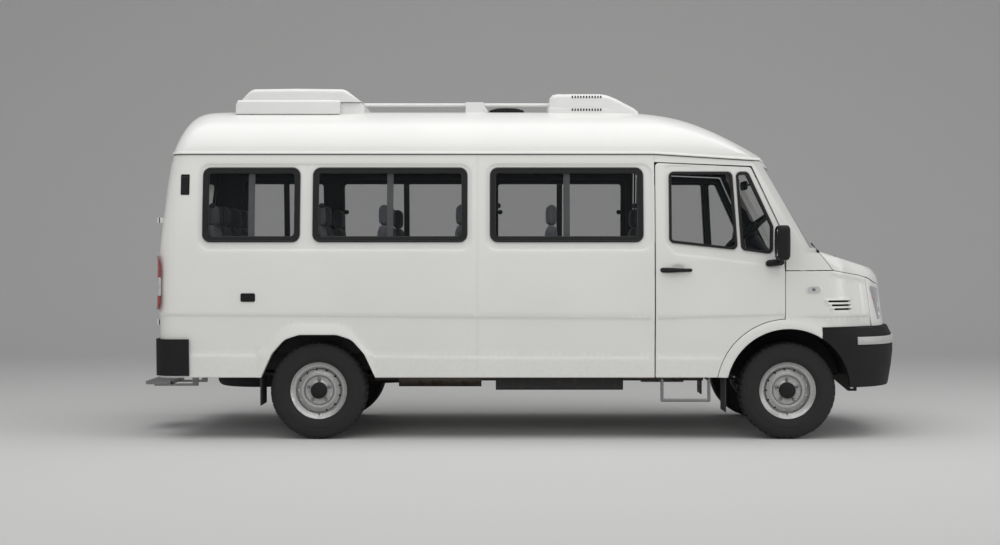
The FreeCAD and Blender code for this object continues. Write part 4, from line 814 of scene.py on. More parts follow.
@dataclass
class Repeats:
    """Geometry node tree that repeats a small mesh, each copy moved and turned on from the last.

    Every copy is the mesh turned round an axis through a centre by its number times a turn, and moved by its
    number times a step. Scatter moves each copy a little at random, from a fixed seed.
    """

    name: str = "repeats"
    keys: dict[str, str] = field(default_factory=dict, init=False)

    def __post_init__(self) -> None:
        """Build the tree with its named inputs."""
        self.tree = bpy.data.node_groups.new(self.name, "GeometryNodeTree")
        kinds = {"Geometry": "Geometry", "Count": "Int", "Start": "Float", "Turn": "Float", "Axis": "Vector",
                 "Centre": "Vector", "Step": "Vector", "Scatter": "Float", "Seed": "Int", "Finish": "Material"}
        for word, kind in kinds.items():
            socket = self.tree.interface.new_socket(word, in_out="INPUT", socket_type=f"NodeSocket{kind}")
            self.keys[word] = socket.identifier
        self.tree.interface.new_socket("Geometry", in_out="OUTPUT", socket_type="NodeSocketGeometry")
        given = self.node("NodeGroupInput").outputs
        index = self.node("GeometryNodeInputIndex").outputs[0]
        moved = self.node("ShaderNodeVectorMath", {0: given["Step"], "Scale": index}, operation="SCALE")
        placed = self.node("ShaderNodeVectorMath", {0: moved.outputs[0], 1: given["Centre"]}, operation="ADD")
        reach = self.node("ShaderNodeMath", {0: given["Scatter"], 1: -1.0}, operation="MULTIPLY")
        random = self.node("FunctionNodeRandomValue", {"Min": reach.outputs[0], "Max": given["Scatter"],
                                                       "Seed": given["Seed"]}, data_type="FLOAT_VECTOR")
        spot = self.node("ShaderNodeVectorMath", {0: placed.outputs[0], 1: random.outputs[0]}, operation="ADD")
        turned = self.node("ShaderNodeMath", {0: index, 1: given["Turn"], 2: given["Start"]},
                           operation="MULTIPLY_ADD")
        spin = self.node("FunctionNodeAxisAngleToRotation", {"Axis": given["Axis"], "Angle": turned.outputs[0]})
        points = self.node("GeometryNodePoints", {"Count": given["Count"], "Position": spot.outputs[0]})
        copies = self.node("GeometryNodeInstanceOnPoints", {"Points": points.outputs[0],
                                                            "Instance": given["Geometry"],
                                                            "Rotation": spin.outputs[0]})
        real = self.node("GeometryNodeRealizeInstances", {"Geometry": copies.outputs[0]})
        dressed = self.node("GeometryNodeSetMaterial", {"Geometry": real.outputs[0], "Material": given["Finish"]})
        self.node("NodeGroupOutput", {"Geometry": dressed.outputs[0]})

    def node(self, kind: str, inputs: dict | None = None, **settings: object) -> bpy.types.Node:
        """Add a node with its settings, and link or set its inputs.

        Args:
            kind: the node's type.
            inputs: values or sockets by input.
            settings: the node's own settings.

        Returns:
            The node.
        """
        made = self.tree.nodes.new(kind)
        for key, value in settings.items():
            setattr(made, key, value)
        for key, value in (inputs or {}).items():
            if isinstance(value, Socket):
                self.tree.links.new(value, made.inputs[key])
            else:
                made.inputs[key].default_value = value
        return made

    def form(self, element: bmesh.types.BMesh, count: int, centre: Sequence[float] = (0.0, 0.0, 0.0),
             finish: Finish | None = None, **values: object) -> bmesh.types.BMesh:
        """Repeat a mesh.

        Args:
            element: the first copy, in the vehicle's frame; it is freed.
            count: how many copies.
            centre: point that the axis goes through.
            finish: finish of the copies.
            values: further inputs by their names in small letters.

        Returns:
            All copies as one loose mesh.
        """
        bmesh.ops.translate(element, verts=element.verts, vec=-Vector(centre))
        mesh = bpy.data.meshes.new("element")
        element.to_mesh(mesh)
        element.free()
        host = bpy.data.objects.new("element", mesh)
        bpy.context.scene.collection.objects.link(host)
        modifier = host.modifiers.new(self.name, "NODES")
        modifier.node_group = self.tree
        given = {"axis": (0.0, 0.0, 1.0), "step": (0.0, 0.0, 0.0), "seed": 7, **values, "count": count,
                 "centre": tuple(centre)}
        for word, value in given.items():
            modifier[self.keys[word.capitalize()]] = value
        if finish:
            modifier[self.keys["Finish"]] = finish.material()
        bpy.context.view_layer.update()
        ready = host.evaluated_get(bpy.context.evaluated_depsgraph_get())
        result = bpy.data.meshes.new_from_object(ready)
        host.modifiers.remove(modifier)
        bpy.data.objects.remove(host)
        made = bmesh.new()
        made.from_mesh(result)
        for face in made.faces:
            face.material_index = 0
        bpy.data.meshes.remove(result)
        return made


REPEATS = Repeats()


@dataclass
class Wheel(Assembly):
    """Road wheel: tyre with tread blocks, pressed steel rim with bolts and a black cap."""

    axle: str
    side: Side
    radius: float = 0.346
    pitches: int = 46
    bolts: int = 5
    bolt_circle: float = 0.082
    valve_radius: float = 0.172
    sidewall: tuple[Point, ...] = (
        (0.072, 0.196), (0.083, 0.2035), (0.094, 0.206), (0.0985, 0.211), (0.0990, 0.2175), (0.1015, 0.2205),
        (0.1045, 0.229), (0.1065, 0.243), (0.1072, 0.256), (0.1074, 0.268), (0.1063, 0.2705), (0.1064, 0.2735),
        (0.1070, 0.276), (0.1060, 0.288), (0.1042, 0.300), (0.1030, 0.3015), (0.1024, 0.3055), (0.1030, 0.3075),
        (0.1000, 0.3165), (0.0950, 0.3245), (0.0885, 0.3305), (0.0800, 0.3345), (0.0600, 0.3368))

    @property
    def centre(self) -> tuple[float, float, float]:
        """Middle of the wheel."""
        return (WHEELS[self.axle], self.side.value * 0.850, HUB_HEIGHT)

    @property
    def place(self) -> str:
        """The wheel's place as it stands in the solids' names."""
        return f"{self.axle}_{self.side.word}"

    def build(self) -> list[bpy.types.Object]:
        """Make tyre and rim.

        Returns:
            The pieces made.
        """
        body = f"wheel_{self.place}"
        self.add(f"tyre_{self.place}_surface", self.tyre(), body, "tyre_rubber", Paint.TYRE,
                 stands_for=[f"tyre_{self.place}"], angle=28.0)
        self.add(f"rim_{self.place}_surface", self.rim(), body, "wheel_steel", Paint.SILVER, Paint.STEEL,
                 Paint.BLACK, stands_for=[f"rim_{self.place}"], angle=30.0)
        return self.made

    def along(self, out: float, x: float = 0.0, z: float = 0.0) -> Vector:
        """Point at a distance outward from the wheel's middle plane."""
        return Vector(self.centre) + Vector((x, self.side.value * out, z))

    def tyre(self) -> bmesh.types.BMesh:
        """Carcass with moulded sidewalls, and tread blocks on it.

        Returns:
            The form as a loose mesh.
        """
        outer = list(self.sidewall)
        outline = outer + [(0.0, 0.3378)] + [(-a, r) for a, r in outer[::-1]] + [(-0.066, 0.190), (0.066, 0.190)]
        form = lathe(outline, self.centre, (0, self.side.value, 0), 96, loop=True)
        pitch = math.tau / self.pitches
        gained(form, REPEATS.form(self.tread_pitch(pitch), self.pitches, self.centre, Paint.TYRE,
                                  axis=(0.0, 1.0, 0.0), turn=pitch))
        return form

    def tread_pitch(self, pitch: float) -> bmesh.types.BMesh:
        """Blocks across the tread within one pitch.

        Args:
            pitch: distance between neighbours.

        Returns:
            The form as a loose mesh.
        """
        form = bmesh.new()
        rows = ((-0.0900, -0.0600, 0.40, 0.0, -0.010), (-0.0545, -0.0250, 0.36, 0.28, 0.0),
                (-0.0195, 0.0195, 0.42, 0.0, 0.0), (0.0250, 0.0545, 0.36, -0.28, 0.0),
                (0.0600, 0.0900, 0.40, 0.0, -0.010))
        for start, end, half, skew, drop in rows:
            verts = []
            for y in (start, end):
                outside = abs(y) > 0.085
                for turn in (-half, half):
                    angle = (turn + skew * (0.5 if y == end else -0.5)) * pitch
                    top = self.radius + (drop if outside else 0.0) - 0.0003
                    for radius in (self.radius - 0.016 - (0.006 if outside else 0.0), top):
                        verts.append(form.verts.new(Vector(self.centre) + Vector((
                            radius * math.sin(angle), y, radius * math.cos(angle)))))
            for quad in ((0, 1, 3, 2), (4, 6, 7, 5), (0, 4, 5, 1), (2, 3, 7, 6), (1, 5, 7, 3)):
                form.faces.new([verts[i] for i in quad])
        bmesh.ops.recalc_face_normals(form, faces=form.faces)
        return form

    def rim(self) -> bmesh.types.BMesh:
        """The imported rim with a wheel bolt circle, a cap with ribs, and a valve.

        Returns:
            The form as a loose mesh.
        """
        form = merged(f"rim_{self.place}")
        for face in form.faces:
            spot = face.calc_center_median() - Vector(self.centre)
            if math.hypot(spot.x, spot.z) < 0.0575 and spot.y * self.side.value > 0.0445:
                face.material_index = 2
        first = self.along(0.0, 0.0, self.bolt_circle)
        axis = (0, self.side.value, 0)
        bolt = lathe([(0.043, 0.0), (0.043, 0.0135), (0.050, 0.0135), (0.0515, 0.0118), (0.0600, 0.0112),
                      (0.0620, 0.0095), (0.0630, 0.0)], first, axis, 6)
        gained(form, REPEATS.form(bolt, self.bolts, self.centre, Paint.STEEL, axis=(0.0, 1.0, 0.0),
                                  turn=math.tau / self.bolts), slot=1)
        washer = lathe([(0.0435, 0.0), (0.0435, 0.0185), (0.0460, 0.0178), (0.0470, 0.0150), (0.0470, 0.0)],
                       first, axis, 20)
        gained(form, REPEATS.form(washer, self.bolts, self.centre, Paint.SILVER, axis=(0.0, 1.0, 0.0),
                                  turn=math.tau / self.bolts))
        cap = [(0.0835, 0.0), (0.0835, 0.0560), (0.0860, 0.0560), (0.0885, 0.0505), (0.0915, 0.0450),
               (0.0905, 0.0340), (0.0890, 0.0320), (0.0918, 0.0300), (0.0919, 0.0)]
        gained(form, lathe(cap, self.centre, axis, 48), slot=2)
        lip = [(0.0600, 0.1890), (0.0660, 0.1915), (0.0660, 0.1950), (0.0600, 0.1965)]
        gained(form, lathe(lip, self.centre, axis, 72, loop=True))
        stem = [self.along(0.035, 0.0, -self.valve_radius), self.along(0.060, 0.0, -self.valve_radius + 0.003),
                self.along(0.068, 0.0, -self.valve_radius + 0.006)]
        gained(form, tube(stem, (0.0055, 0.0045, 0.0040), 10), slot=2)
        return form


class BodyForm:
    """Rules of the cabin's outer surface."""

    corner = 0.110

    @staticmethod
    def half(z: np.ndarray) -> np.ndarray:
        """Half width of the side at a height.

        Args:
            z: height.

        Returns:
            Half widths.
        """
        low = 0.974 + (z - SILL) / (WAIST - SILL) * 0.026
        high = 1.0 - 0.086 * ((z - WAIST) / (GUTTER - WAIST)) ** 2
        return np.where(z <= WAIST, low, high)

    @staticmethod
    def rear(z: np.ndarray) -> np.ndarray:
        """Rear face at a height."""
        return -2.578 + 0.092 * (np.maximum(0.0, z - 1.3) / (GUTTER - 1.3)) ** 1.3

    @staticmethod
    def screen(z: np.ndarray, y: np.ndarray) -> np.ndarray:
        """Windscreen surface."""
        return 2.265 - 0.608 * (z - 1.342) - y * y / 4.0

    @staticmethod
    def seam(x: np.ndarray) -> np.ndarray:
        """Height of the roof seam."""
        return np.interp(x, (0.972, 1.709), (2.045, 1.998))

    @classmethod
    def wrap(cls, u: np.ndarray, z: np.ndarray, out: np.ndarray, side: Side) -> np.ndarray:
        """Point of a side panel that wraps round the rear corner.

        Args:
            u: distance along the panel; on the straight part it is X.
            z: height.
            out: distance outside the surface.
            side: side of the vehicle.

        Returns:
            An array of points.
        """
        radius = cls.corner
        centre = cls.rear(z) + radius
        inner = cls.half(z) - radius
        arc = np.clip((centre - u) / radius, 0, math.pi / 2)
        past = np.maximum(0.0, centre - u - radius * math.pi / 2)
        x = np.maximum(u, centre) - (radius + out) * np.sin(arc)
        y = inner + (radius + out) * np.cos(arc) - past
        return np.stack([x, side.value * y, z], axis=1)

    @classmethod
    def rear_edge(cls, z: float, reach: float = 0.850) -> float:
        """Panel distance at which a side panel meets the rear doors.

        Args:
            z: height.
            reach: how far the edge lies forward of the rear face.

        Returns:
            The value in metres.
        """
        radius, inner = cls.corner, float(cls.half(np.array(z))) - cls.corner
        centre = float(cls.rear(np.array(z))) + radius
        if inner < reach:
            return centre - radius * math.acos((reach - inner) / radius)
        return centre - radius * math.pi / 2 - (inner - reach)

    @classmethod
    def tail(cls, v: np.ndarray, z: np.ndarray, out: np.ndarray, side: Side) -> np.ndarray:
        """Point of a rear door; v is the distance from the vehicle's middle.

        Args:
            v: distance from the middle along the rear.
            z: height.
            out: distance outside the surface.
            side: the vehicle's side.

        Returns:
            Points as rows.
        """
        inner = cls.half(z) - cls.corner
        past = np.clip(v - inner, 0.0, cls.corner * 0.95)
        bend = cls.corner - np.sqrt(cls.corner ** 2 - past ** 2)
        return np.stack([cls.rear(z) - out + bend, side.value * v, z], axis=1)


def dense(line: np.ndarray, step: float, closed: bool = True) -> np.ndarray:
    """Line with points added so that none are further apart than a step.

    Args:
        line: points as rows.
        step: greatest distance between points.
        closed: whether the last one joins the first.

    Returns:
        Points as rows.
    """
    ends = np.concatenate([line, line[:1]]) if closed else line
    points = []
    for first, second in zip(ends, ends[1:]):
        count = max(1, math.ceil(float(np.linalg.norm(second - first)) / step))
        points += [first + (second - first) * i / count for i in range(count)]
    return np.array(points if closed else points + [ends[-1]])


def ring(line: np.ndarray) -> np.ndarray:
    """Closed outline as a line that ends where it starts."""
    return np.concatenate([line, line[:1]])


@dataclass
class Skin:
    """Sheet with relief, holes, a rolled edge and a lining, laid on a surface rule.

    The outline and the holes are closed lines in the panel's own two coordinates.
    """

    outline: np.ndarray
    holes: list[np.ndarray]
    place: Place
    relief: Callable[[np.ndarray], np.ndarray]
    features: list[np.ndarray] = field(default_factory=list)
    pitch: float = 0.045
    thickness: float = 0.050
    hem: float = 0.003
    rolls: tuple[float, float] = (0.004, 0.009)
    lining_pitch: float = 0.12

    def inside(self, points: np.ndarray, gap: float) -> np.ndarray:
        """Which points lie on the sheet, at least a gap away from its edges.

        Args:
            points: points as rows.
            gap: distance to keep or to move by.

        Returns:
            Whether each point lies inside.
        """
        kept = distance(points, self.outline) > gap
        for hole in self.holes:
            kept &= distance(points, hole) < -gap
        return kept

    @staticmethod
    def moved(loop: np.ndarray, gap: float) -> np.ndarray:
        """Outline moved inward by a gap; a negative gap moves it outward.

        Args:
            loop: closed outline as rows of points.
            gap: distance to keep or to move by.

        Returns:
            Points as rows.
        """
        ahead, behind = np.roll(loop, -1, axis=0), np.roll(loop, 1, axis=0)
        first, second = loop - behind, ahead - loop
        first /= np.linalg.norm(first, axis=1)[:, None] + 1e-12
        second /= np.linalg.norm(second, axis=1)[:, None] + 1e-12
        turn = first + second
        turn /= np.linalg.norm(turn, axis=1)[:, None] + 1e-12
        area = 0.5 * float(np.sum(loop[:, 0] * ahead[:, 1] - ahead[:, 0] * loop[:, 1]))
        normal = np.stack([-turn[:, 1], turn[:, 0]], axis=1) * math.copysign(1.0, area)
        scale = 1.0 / np.maximum(0.45, np.abs(np.sum(turn * first, axis=1)))
        return loop + normal * (gap * scale)[:, None]

    def grid(self, pitch: float, gap: float) -> np.ndarray:
        """Evenly spaced points on the sheet.

        Args:
            pitch: distance between neighbours.
            gap: distance to keep or to move by.

        Returns:
            Points as rows.
        """
        low, high = self.outline.min(axis=0), self.outline.max(axis=0)
        lines = [np.arange(a + pitch / 2, b, pitch) for a, b in zip(low, high)]
        points = np.stack(np.meshgrid(*lines), axis=-1).reshape(-1, 2)
        return points[self.inside(points, gap)]

    def sheet(self, loops: Sequence[np.ndarray], lines: Sequence[np.ndarray], grid: np.ndarray
              ) -> tuple[np.ndarray, list, dict[int, int]]:
        """Fill the sheet with triangles through closed loops, open lines and grid points.

        Args:
            loops: closed outlines.
            lines: lines that the mesh follows.
            grid: points that fill the rest.

        Returns:
            The points, the triangles and the place of each outline point.
        """
        points, edges, start = [*loops], [], 0
        for loop in loops:
            count = len(loop)
            edges += [(start + i, start + (i + 1) % count) for i in range(count)]
            start += count
        for line in lines:
            kept = self.inside(line, self.rolls[1] + 0.002)
            spot = start + np.cumsum(kept) - 1
            edges += [(int(spot[i]), int(spot[i + 1])) for i in range(len(line) - 1) if kept[i] and kept[i + 1]]
            points.append(line[kept])
            start += int(kept.sum())
        points = np.concatenate([*points, grid])
        result = delaunay_2d_cdt([Vector(point) for point in points], edges, [], 0, 1e-6)
        verts = np.array([tuple(vert) for vert in result[0]])
        faces = np.array(result[2])
        middle = verts[faces].mean(axis=1)
        faces = faces[self.inside(middle, 0.0)]
        found = {old: new for new, olds in enumerate(result[3]) for old in olds}
        return verts, faces.tolist(), found

    def form(self) -> bmesh.types.BMesh:
        """Make the closed sheet; its second material slot is the lining.

        Returns:
            The form as a loose mesh.
        """
        loops = [self.outline, *self.holes]
        signs = [1.0] + [-1.0] * len(self.holes)
        rolled = [self.moved(loop, sign * gap) for loop, sign in zip(loops, signs) for gap in self.rolls]
        verts, faces, found = self.sheet([*loops, *rolled], self.features, self.grid(self.pitch, 0.02))
        border = sum(len(loop) for loop in loops)
        out = self.relief(verts)
        out[[found[i] for i in range(border)]] -= self.hem
        form = bmesh.new()
        front = [form.verts.new(point) for point in self.place(verts[:, 0], verts[:, 1], out)]
        for face in faces:
            form.faces.new([front[i] for i in face]).smooth = True
        lining, lining_faces, lining_found = self.sheet(loops, [], self.grid(self.lining_pitch, 0.03))
        depth = np.full(len(lining), -self.thickness)
        rear = [form.verts.new(point) for point in self.place(lining[:, 0], lining[:, 1], depth)]
        for face in lining_faces:
            form.faces.new([rear[i] for i in face][::-1]).material_index = 1
        start = 0
        for loop in loops:
            count = len(loop)
            outer = [front[found[start + i]] for i in range(count)]
            lip = self.place(loop[:, 0], loop[:, 1], np.full(count, -0.012))
            middle = [form.verts.new(point) for point in lip]
            inner = [rear[lining_found[start + i]] for i in range(count)]
            for first, second in ((outer, middle), (middle, inner)):
                for i in range(count):
                    k = (i + 1) % count
                    form.faces.new((first[i], first[k], second[k], second[i]))
            start += count
        bmesh.ops.recalc_face_normals(form, faces=form.faces)
        return form


class Relief:
    """Pressed shapes of the side panels, as distances outside the plain surface."""

    belt = 0.008
    lower = 0.007

    @staticmethod
    def slot(points: np.ndarray, outline: np.ndarray, depth: float, slope: float) -> np.ndarray:
        """Recess of a depth inside an outline with sloped edges."""
        return -depth * smooth_step(distance(points, outline), -slope / 2, slope / 2)

    @staticmethod
    def creases(points: np.ndarray, upper: Sequence[Point], rib: Sequence[Point]) -> np.ndarray:
        """Lower panel that lies inside an upper crease and comes out again at a rib.

        Args:
            points: points as rows.
            upper: upper crease.
            rib: rib below it.

        Returns:
            Distances outside the plain surface.
        """
        top = np.interp(points[:, 0], *zip(*upper))
        foot = np.interp(points[:, 0], *zip(*rib))
        below = smooth_step(top - points[:, 1], 0.0, 0.012)
        above = smooth_step(points[:, 1] - foot, -0.016, 0.0)
        return -Relief.lower * below * above

    @staticmethod
    def groove(points: np.ndarray, x: float, depth: float = 0.004, width: float = 0.005) -> np.ndarray:
        """Upright panel gap."""
        return -depth * np.exp(-((points[:, 0] - x) / width) ** 2)

    @staticmethod
    def flare(points: np.ndarray, outer: np.ndarray, inner: np.ndarray, lift: float) -> np.ndarray:
        """Arch edge that rises from its outer line to the opening.

        Args:
            points: points as rows.
            outer: outer outline.
            inner: inner outline.
            lift: height of the rise.

        Returns:
            Distances outside the plain surface.
        """
        rise = distance(points, outer)
        span = np.maximum(rise - distance(points, inner), 1e-4)
        return np.where(rise > 0, lift * smooth_step(rise / span, 0.0, 0.85), 0.0)


WINDOW_SPAN = (1.408, 1.939)
WINDOWS = ((-2.254, -1.562), (-1.469, -0.369), (-0.205, 0.886))
WINDOW_CORNER = 0.054


def arch(grow: float = 0.0) -> np.ndarray:
    """Rear wheel opening with a flat top and slanted shoulders.

    Args:
        grow: distance to grow by.

    Returns:
        Points as rows.
    """
    shape = ((-0.430, -0.100, 0.0), (-0.404, 0.104, 0.5), (-0.330, 0.264, 0.4), (-0.240, 0.366, 0.22),
             (-0.134, 0.401, 0.3), (0.134, 0.401, 0.3), (0.240, 0.366, 0.22), (0.330, 0.264, 0.4),
             (0.404, 0.104, 0.5), (0.430, -0.100, 0.0))
    line = rounded([(WHEELS["rear"] + x, HUB_HEIGHT + z, r) for x, z, r in shape], 5)
    return Skin.moved(line, -grow) if grow else line


@dataclass(frozen=True)
class SideShape:
    """Pressed shapes of one body side, as outlines in its own coordinates."""

    belts: tuple[tuple[float, float], ...] = ((-2.282, -0.344), (-0.233, 0.948))
    belt_span: Point = (1.350, 1.963)
    crease: tuple[Point, ...] = ((-2.8, 0.896), (0.974, 0.868), (1.9, 0.899))
    rib: tuple[Point, ...] = ((-2.8, 0.617), (0.0, 0.594), (1.9, 0.589))
    flare_line: tuple[tuple[float, float, float], ...] = (
        (-0.470, -0.20, 0.0), (-0.427, 0.270, 0.04), (-0.366, 0.313, 0.13), (-0.305, 0.386, 0.17),
        (-0.256, 0.435, 0.17), (-0.195, 0.462, 0.17), (-0.134, 0.471, 0.1), (0.123, 0.469, 0.1),
        (0.184, 0.454, 0.17), (0.245, 0.411, 0.17), (0.294, 0.349, 0.17), (0.343, 0.286, 0.12),
        (0.386, 0.261, 0.04), (0.450, -0.20, 0.0))
    groove: float = -0.305

    def belt_lines(self) -> list[np.ndarray]:
        """Outlines of the recesses round the windows."""
        return [oblong(start, end, *self.belt_span, 0.075, 9) for start, end in self.belts]

    def flare_outline(self) -> np.ndarray:
        """Outer line of the rear arch's raised edge."""
        return rounded([(WHEELS["rear"] + x, HUB_HEIGHT + z, r) for x, z, r in self.flare_line], 5)

    def relief(self, points: np.ndarray) -> np.ndarray:
        """Distance of the pressed surface outside the plain one.

        Args:
            points: points as rows.

        Returns:
            Distances outside the plain surface.
        """
        outer = self.flare_outline()
        near = smooth_step(distance(points, outer), -0.012, 0.0)
        out = Relief.creases(points, self.crease, self.rib) * (1 - near)
        out += Relief.flare(points, outer, arch(), 0.013)
        for line in self.belt_lines():
            out += Relief.slot(points, line, Relief.belt, 0.022)
        return out + Relief.groove(points, self.groove)

    def features(self) -> list[np.ndarray]:
        """Lines that the mesh follows so that the relief stays crisp.

        Returns:
            Rows of points.
        """
        lines = []
        for line in self.belt_lines():
            lines += [ring(dense(Skin.moved(line, gap), 0.05)) for gap in (-0.011, -0.004, 0.004, 0.011)]
        for rule, offsets in ((self.crease, (0.0, -0.006, -0.012, -0.03)), (self.rib, (0.0, -0.008, -0.016, -0.035))):
            x = np.arange(-2.8, 1.9, 0.04)
            z = np.interp(x, *zip(*rule))
            lines += [np.stack([x, z + gap], axis=1) for gap in offsets]
        outer = self.flare_outline()
        lines += [ring(dense(Skin.moved(outer, gap), 0.04)) for gap in (-0.012, 0.0, 0.02, 0.045)]
        z = np.arange(0.44, 2.05, 0.04)
        lines += [np.stack([np.full_like(z, self.groove + gap), z], axis=1) for gap in (-0.009, 0.0, 0.009)]
        return lines


@dataclass
class BodySide(Assembly):
    """One body side from the rear doors to the front door, with its pressed shapes."""

    side: Side
    shape: SideShape = SideShape()

    def outline(self) -> np.ndarray:
        """Edge of the panel, anticlockwise from its front foot.

        Returns:
            Points as rows.
        """
        edge = [(BodyForm.rear_edge(z), z, 0.0) for z in np.linspace(2.044, 0.442, 40)]
        opening = [(x, z, r) for x, z, r in ((-1.835, 0.442, 0.01), (-1.834, 0.450, 0.0), (-1.760, 0.610, 0.14),
                                             (-1.670, 0.712, 0.12), (-1.564, 0.747, 0.12),
                                             (-1.296, 0.747, 0.12), (-1.190, 0.712, 0.12),
                                             (-1.100, 0.610, 0.14), (-1.026, 0.450, 0.0), (-1.025, 0.442, 0.01))]
        return dense(rounded([(0.966, 0.442, 0.004), (0.966, 2.044, 0.0), *edge, *opening], 6), 0.05)

    def holes(self) -> list[np.ndarray]:
        """Window openings, and the side door's opening on the left.

        Returns:
            Outlines of the openings.
        """
        spans = WINDOWS
        if self.side is Side.LEFT:
            spans = spans[:2]
        found = [dense(oblong(*span, *WINDOW_SPAN, WINDOW_CORNER), 0.06) for span in spans]
        if self.side is Side.LEFT:
            found.append(dense(oblong(-0.256, 0.952, 0.476, 2.004, 0.02), 0.06))
        return found

    def build(self) -> list[bpy.types.Object]:
        """Make the panel, and the side door on the left.

        Returns:
            The pieces made.
        """
        place = partial(BodyForm.wrap, side=self.side)
        features = self.shape.features()
        panel = Skin(self.outline(), self.holes(), place, self.shape.relief, features)
        node = f"side_{self.side.word}"
        self.add(f"{node}_panel", panel.form(), "body", "body_paint", Paint.WHITE, Paint.LINING,
                 stands_for=[node], angle=62.0)
        if self.side is Side.LEFT:
            outline = dense(oblong(-0.248, 0.944, 0.484, 1.996, 0.02), 0.06)
            hole = dense(oblong(*WINDOWS[2], *WINDOW_SPAN, WINDOW_CORNER), 0.06)
            door = Skin(outline, [hole], place, self.shape.relief, features)
            self.add("sliding_door_panel", door.form(), "body", "body_paint", Paint.WHITE, Paint.LINING,
                     stands_for=["sliding_door"], angle=62.0)
        return self.made


@dataclass
class FrontDoor(Assembly):
    """A front door's pressed panel with its two window openings."""

    side: Side
    rear: float = 0.974
    front: float = 1.892
    knee: Point = (1.848, 1.531)
    top: tuple[Point, Point] = ((0.974, 1.973), (1.656, 1.944))

    def outline(self) -> np.ndarray:
        """Edge of the door, which follows the front arch at its foot.

        Returns:
            Points as rows.
        """
        hub = np.array((WHEELS["front"], HUB_HEIGHT))
        radius = 0.515
        foot = hub[0] - math.sqrt(radius ** 2 - (SILL - hub[1]) ** 2)
        brow = hub[1] + math.sqrt(radius ** 2 - (self.front - hub[0]) ** 2)
        start = math.atan2(SILL - hub[1], foot - hub[0])
        end = math.atan2(brow - hub[1], self.front - hub[0])
        arc = [(hub[0] + radius * math.cos(a), hub[1] + radius * math.sin(a), 0.0)
               for a in np.linspace(start, end, 26)][::-1]
        corners = [(self.front, 1.289, 0.0), (*self.knee, 0.05), (*self.top[1], 0.025), (*self.top[0], 0.025),
                   (self.rear, SILL, 0.01)]
        return dense(rounded([*arc[:1], *corners, *arc[:0:-1]], 6)[::-1], 0.05)

    @staticmethod
    def windows(grow: float = 0.0) -> list[np.ndarray]:
        """Openings of the main window and of the quarter window.

        Args:
            grow: distance to grow by.

        Returns:
            Outlines of the windows.
        """
        top, low = 1.909 + grow, 1.352 - grow
        main = rounded([(1.071 - grow, top, 0.034), (1.071 - grow, 1.404 - grow, 0.034),
                        (1.556 + grow, low, 0.034), (1.522 + grow, top, 0.034)])
        quarter = rounded([(1.549 - grow, top, 0.034), (1.583 - grow, low, 0.034), (1.806 + grow, low - 0.03, 0.034),
                           (1.810 + grow, 1.519, 0.034), (1.636 + grow, top, 0.034)])
        return [main, quarter]

    def recess(self) -> np.ndarray:
        """Edge of the recess below and around the windows."""
        return rounded([(1.044, 1.955, 0.03), (1.044, 1.395, 0.06), (1.114, 1.321, 0.06), (1.406, 1.289, 0.2),
                        (1.610, 1.262, 0.2), (1.838, 1.232, 0.2), (1.920, 1.222, 0.0), (1.920, 1.955, 0.0)])

    def relief(self, points: np.ndarray) -> np.ndarray:
        """Pressed shapes of the door.

        Args:
            points: points as rows.

        Returns:
            Distances outside the plain surface.
        """
        shape = SideShape()
        out = Relief.creases(points, shape.crease, shape.rib)
        out += Relief.slot(points, self.recess(), 0.007, 0.022)
        cup = np.hypot((points[:, 0] - 1.132) / 0.048, (points[:, 1] - 1.215) / 0.034)
        return out - 0.010 * smooth_step(1.05 - cup, 0.0, 0.45)

    def features(self) -> list[np.ndarray]:
        """Lines that the mesh follows.

        Returns:
            Rows of points.
        """
        shape = SideShape()
        lines = [line for line in shape.features() if abs(line[0, 1] - line[-1, 1]) < 0.2 and len(line) > 100]
        lines += [ring(dense(Skin.moved(self.recess(), gap), 0.04)) for gap in (-0.011, -0.004, 0.004, 0.011)]
        for scale in (0.6, 0.8, 1.05):
            turn = np.linspace(0, math.tau, 25)
            lines.append(np.stack([1.132 + 0.048 * scale * np.cos(turn), 1.215 + 0.034 * scale * np.sin(turn)],
                                  axis=1))
        return lines

    def build(self) -> list[bpy.types.Object]:
        """Make the door panel.

        Returns:
            The pieces made.
        """
        place = partial(BodyForm.wrap, side=self.side)
        panel = Skin(self.outline(), [dense(hole, 0.06) for hole in self.windows()], place, self.relief,
                     self.features(), pitch=0.04)
        word = self.side.word
        self.add(f"door_{word}_panel", panel.form(), f"door_{word}", "body_paint", Paint.WHITE, Paint.LINING,
                 stands_for=[f"door_{word}"], angle=62.0)
        return self.made


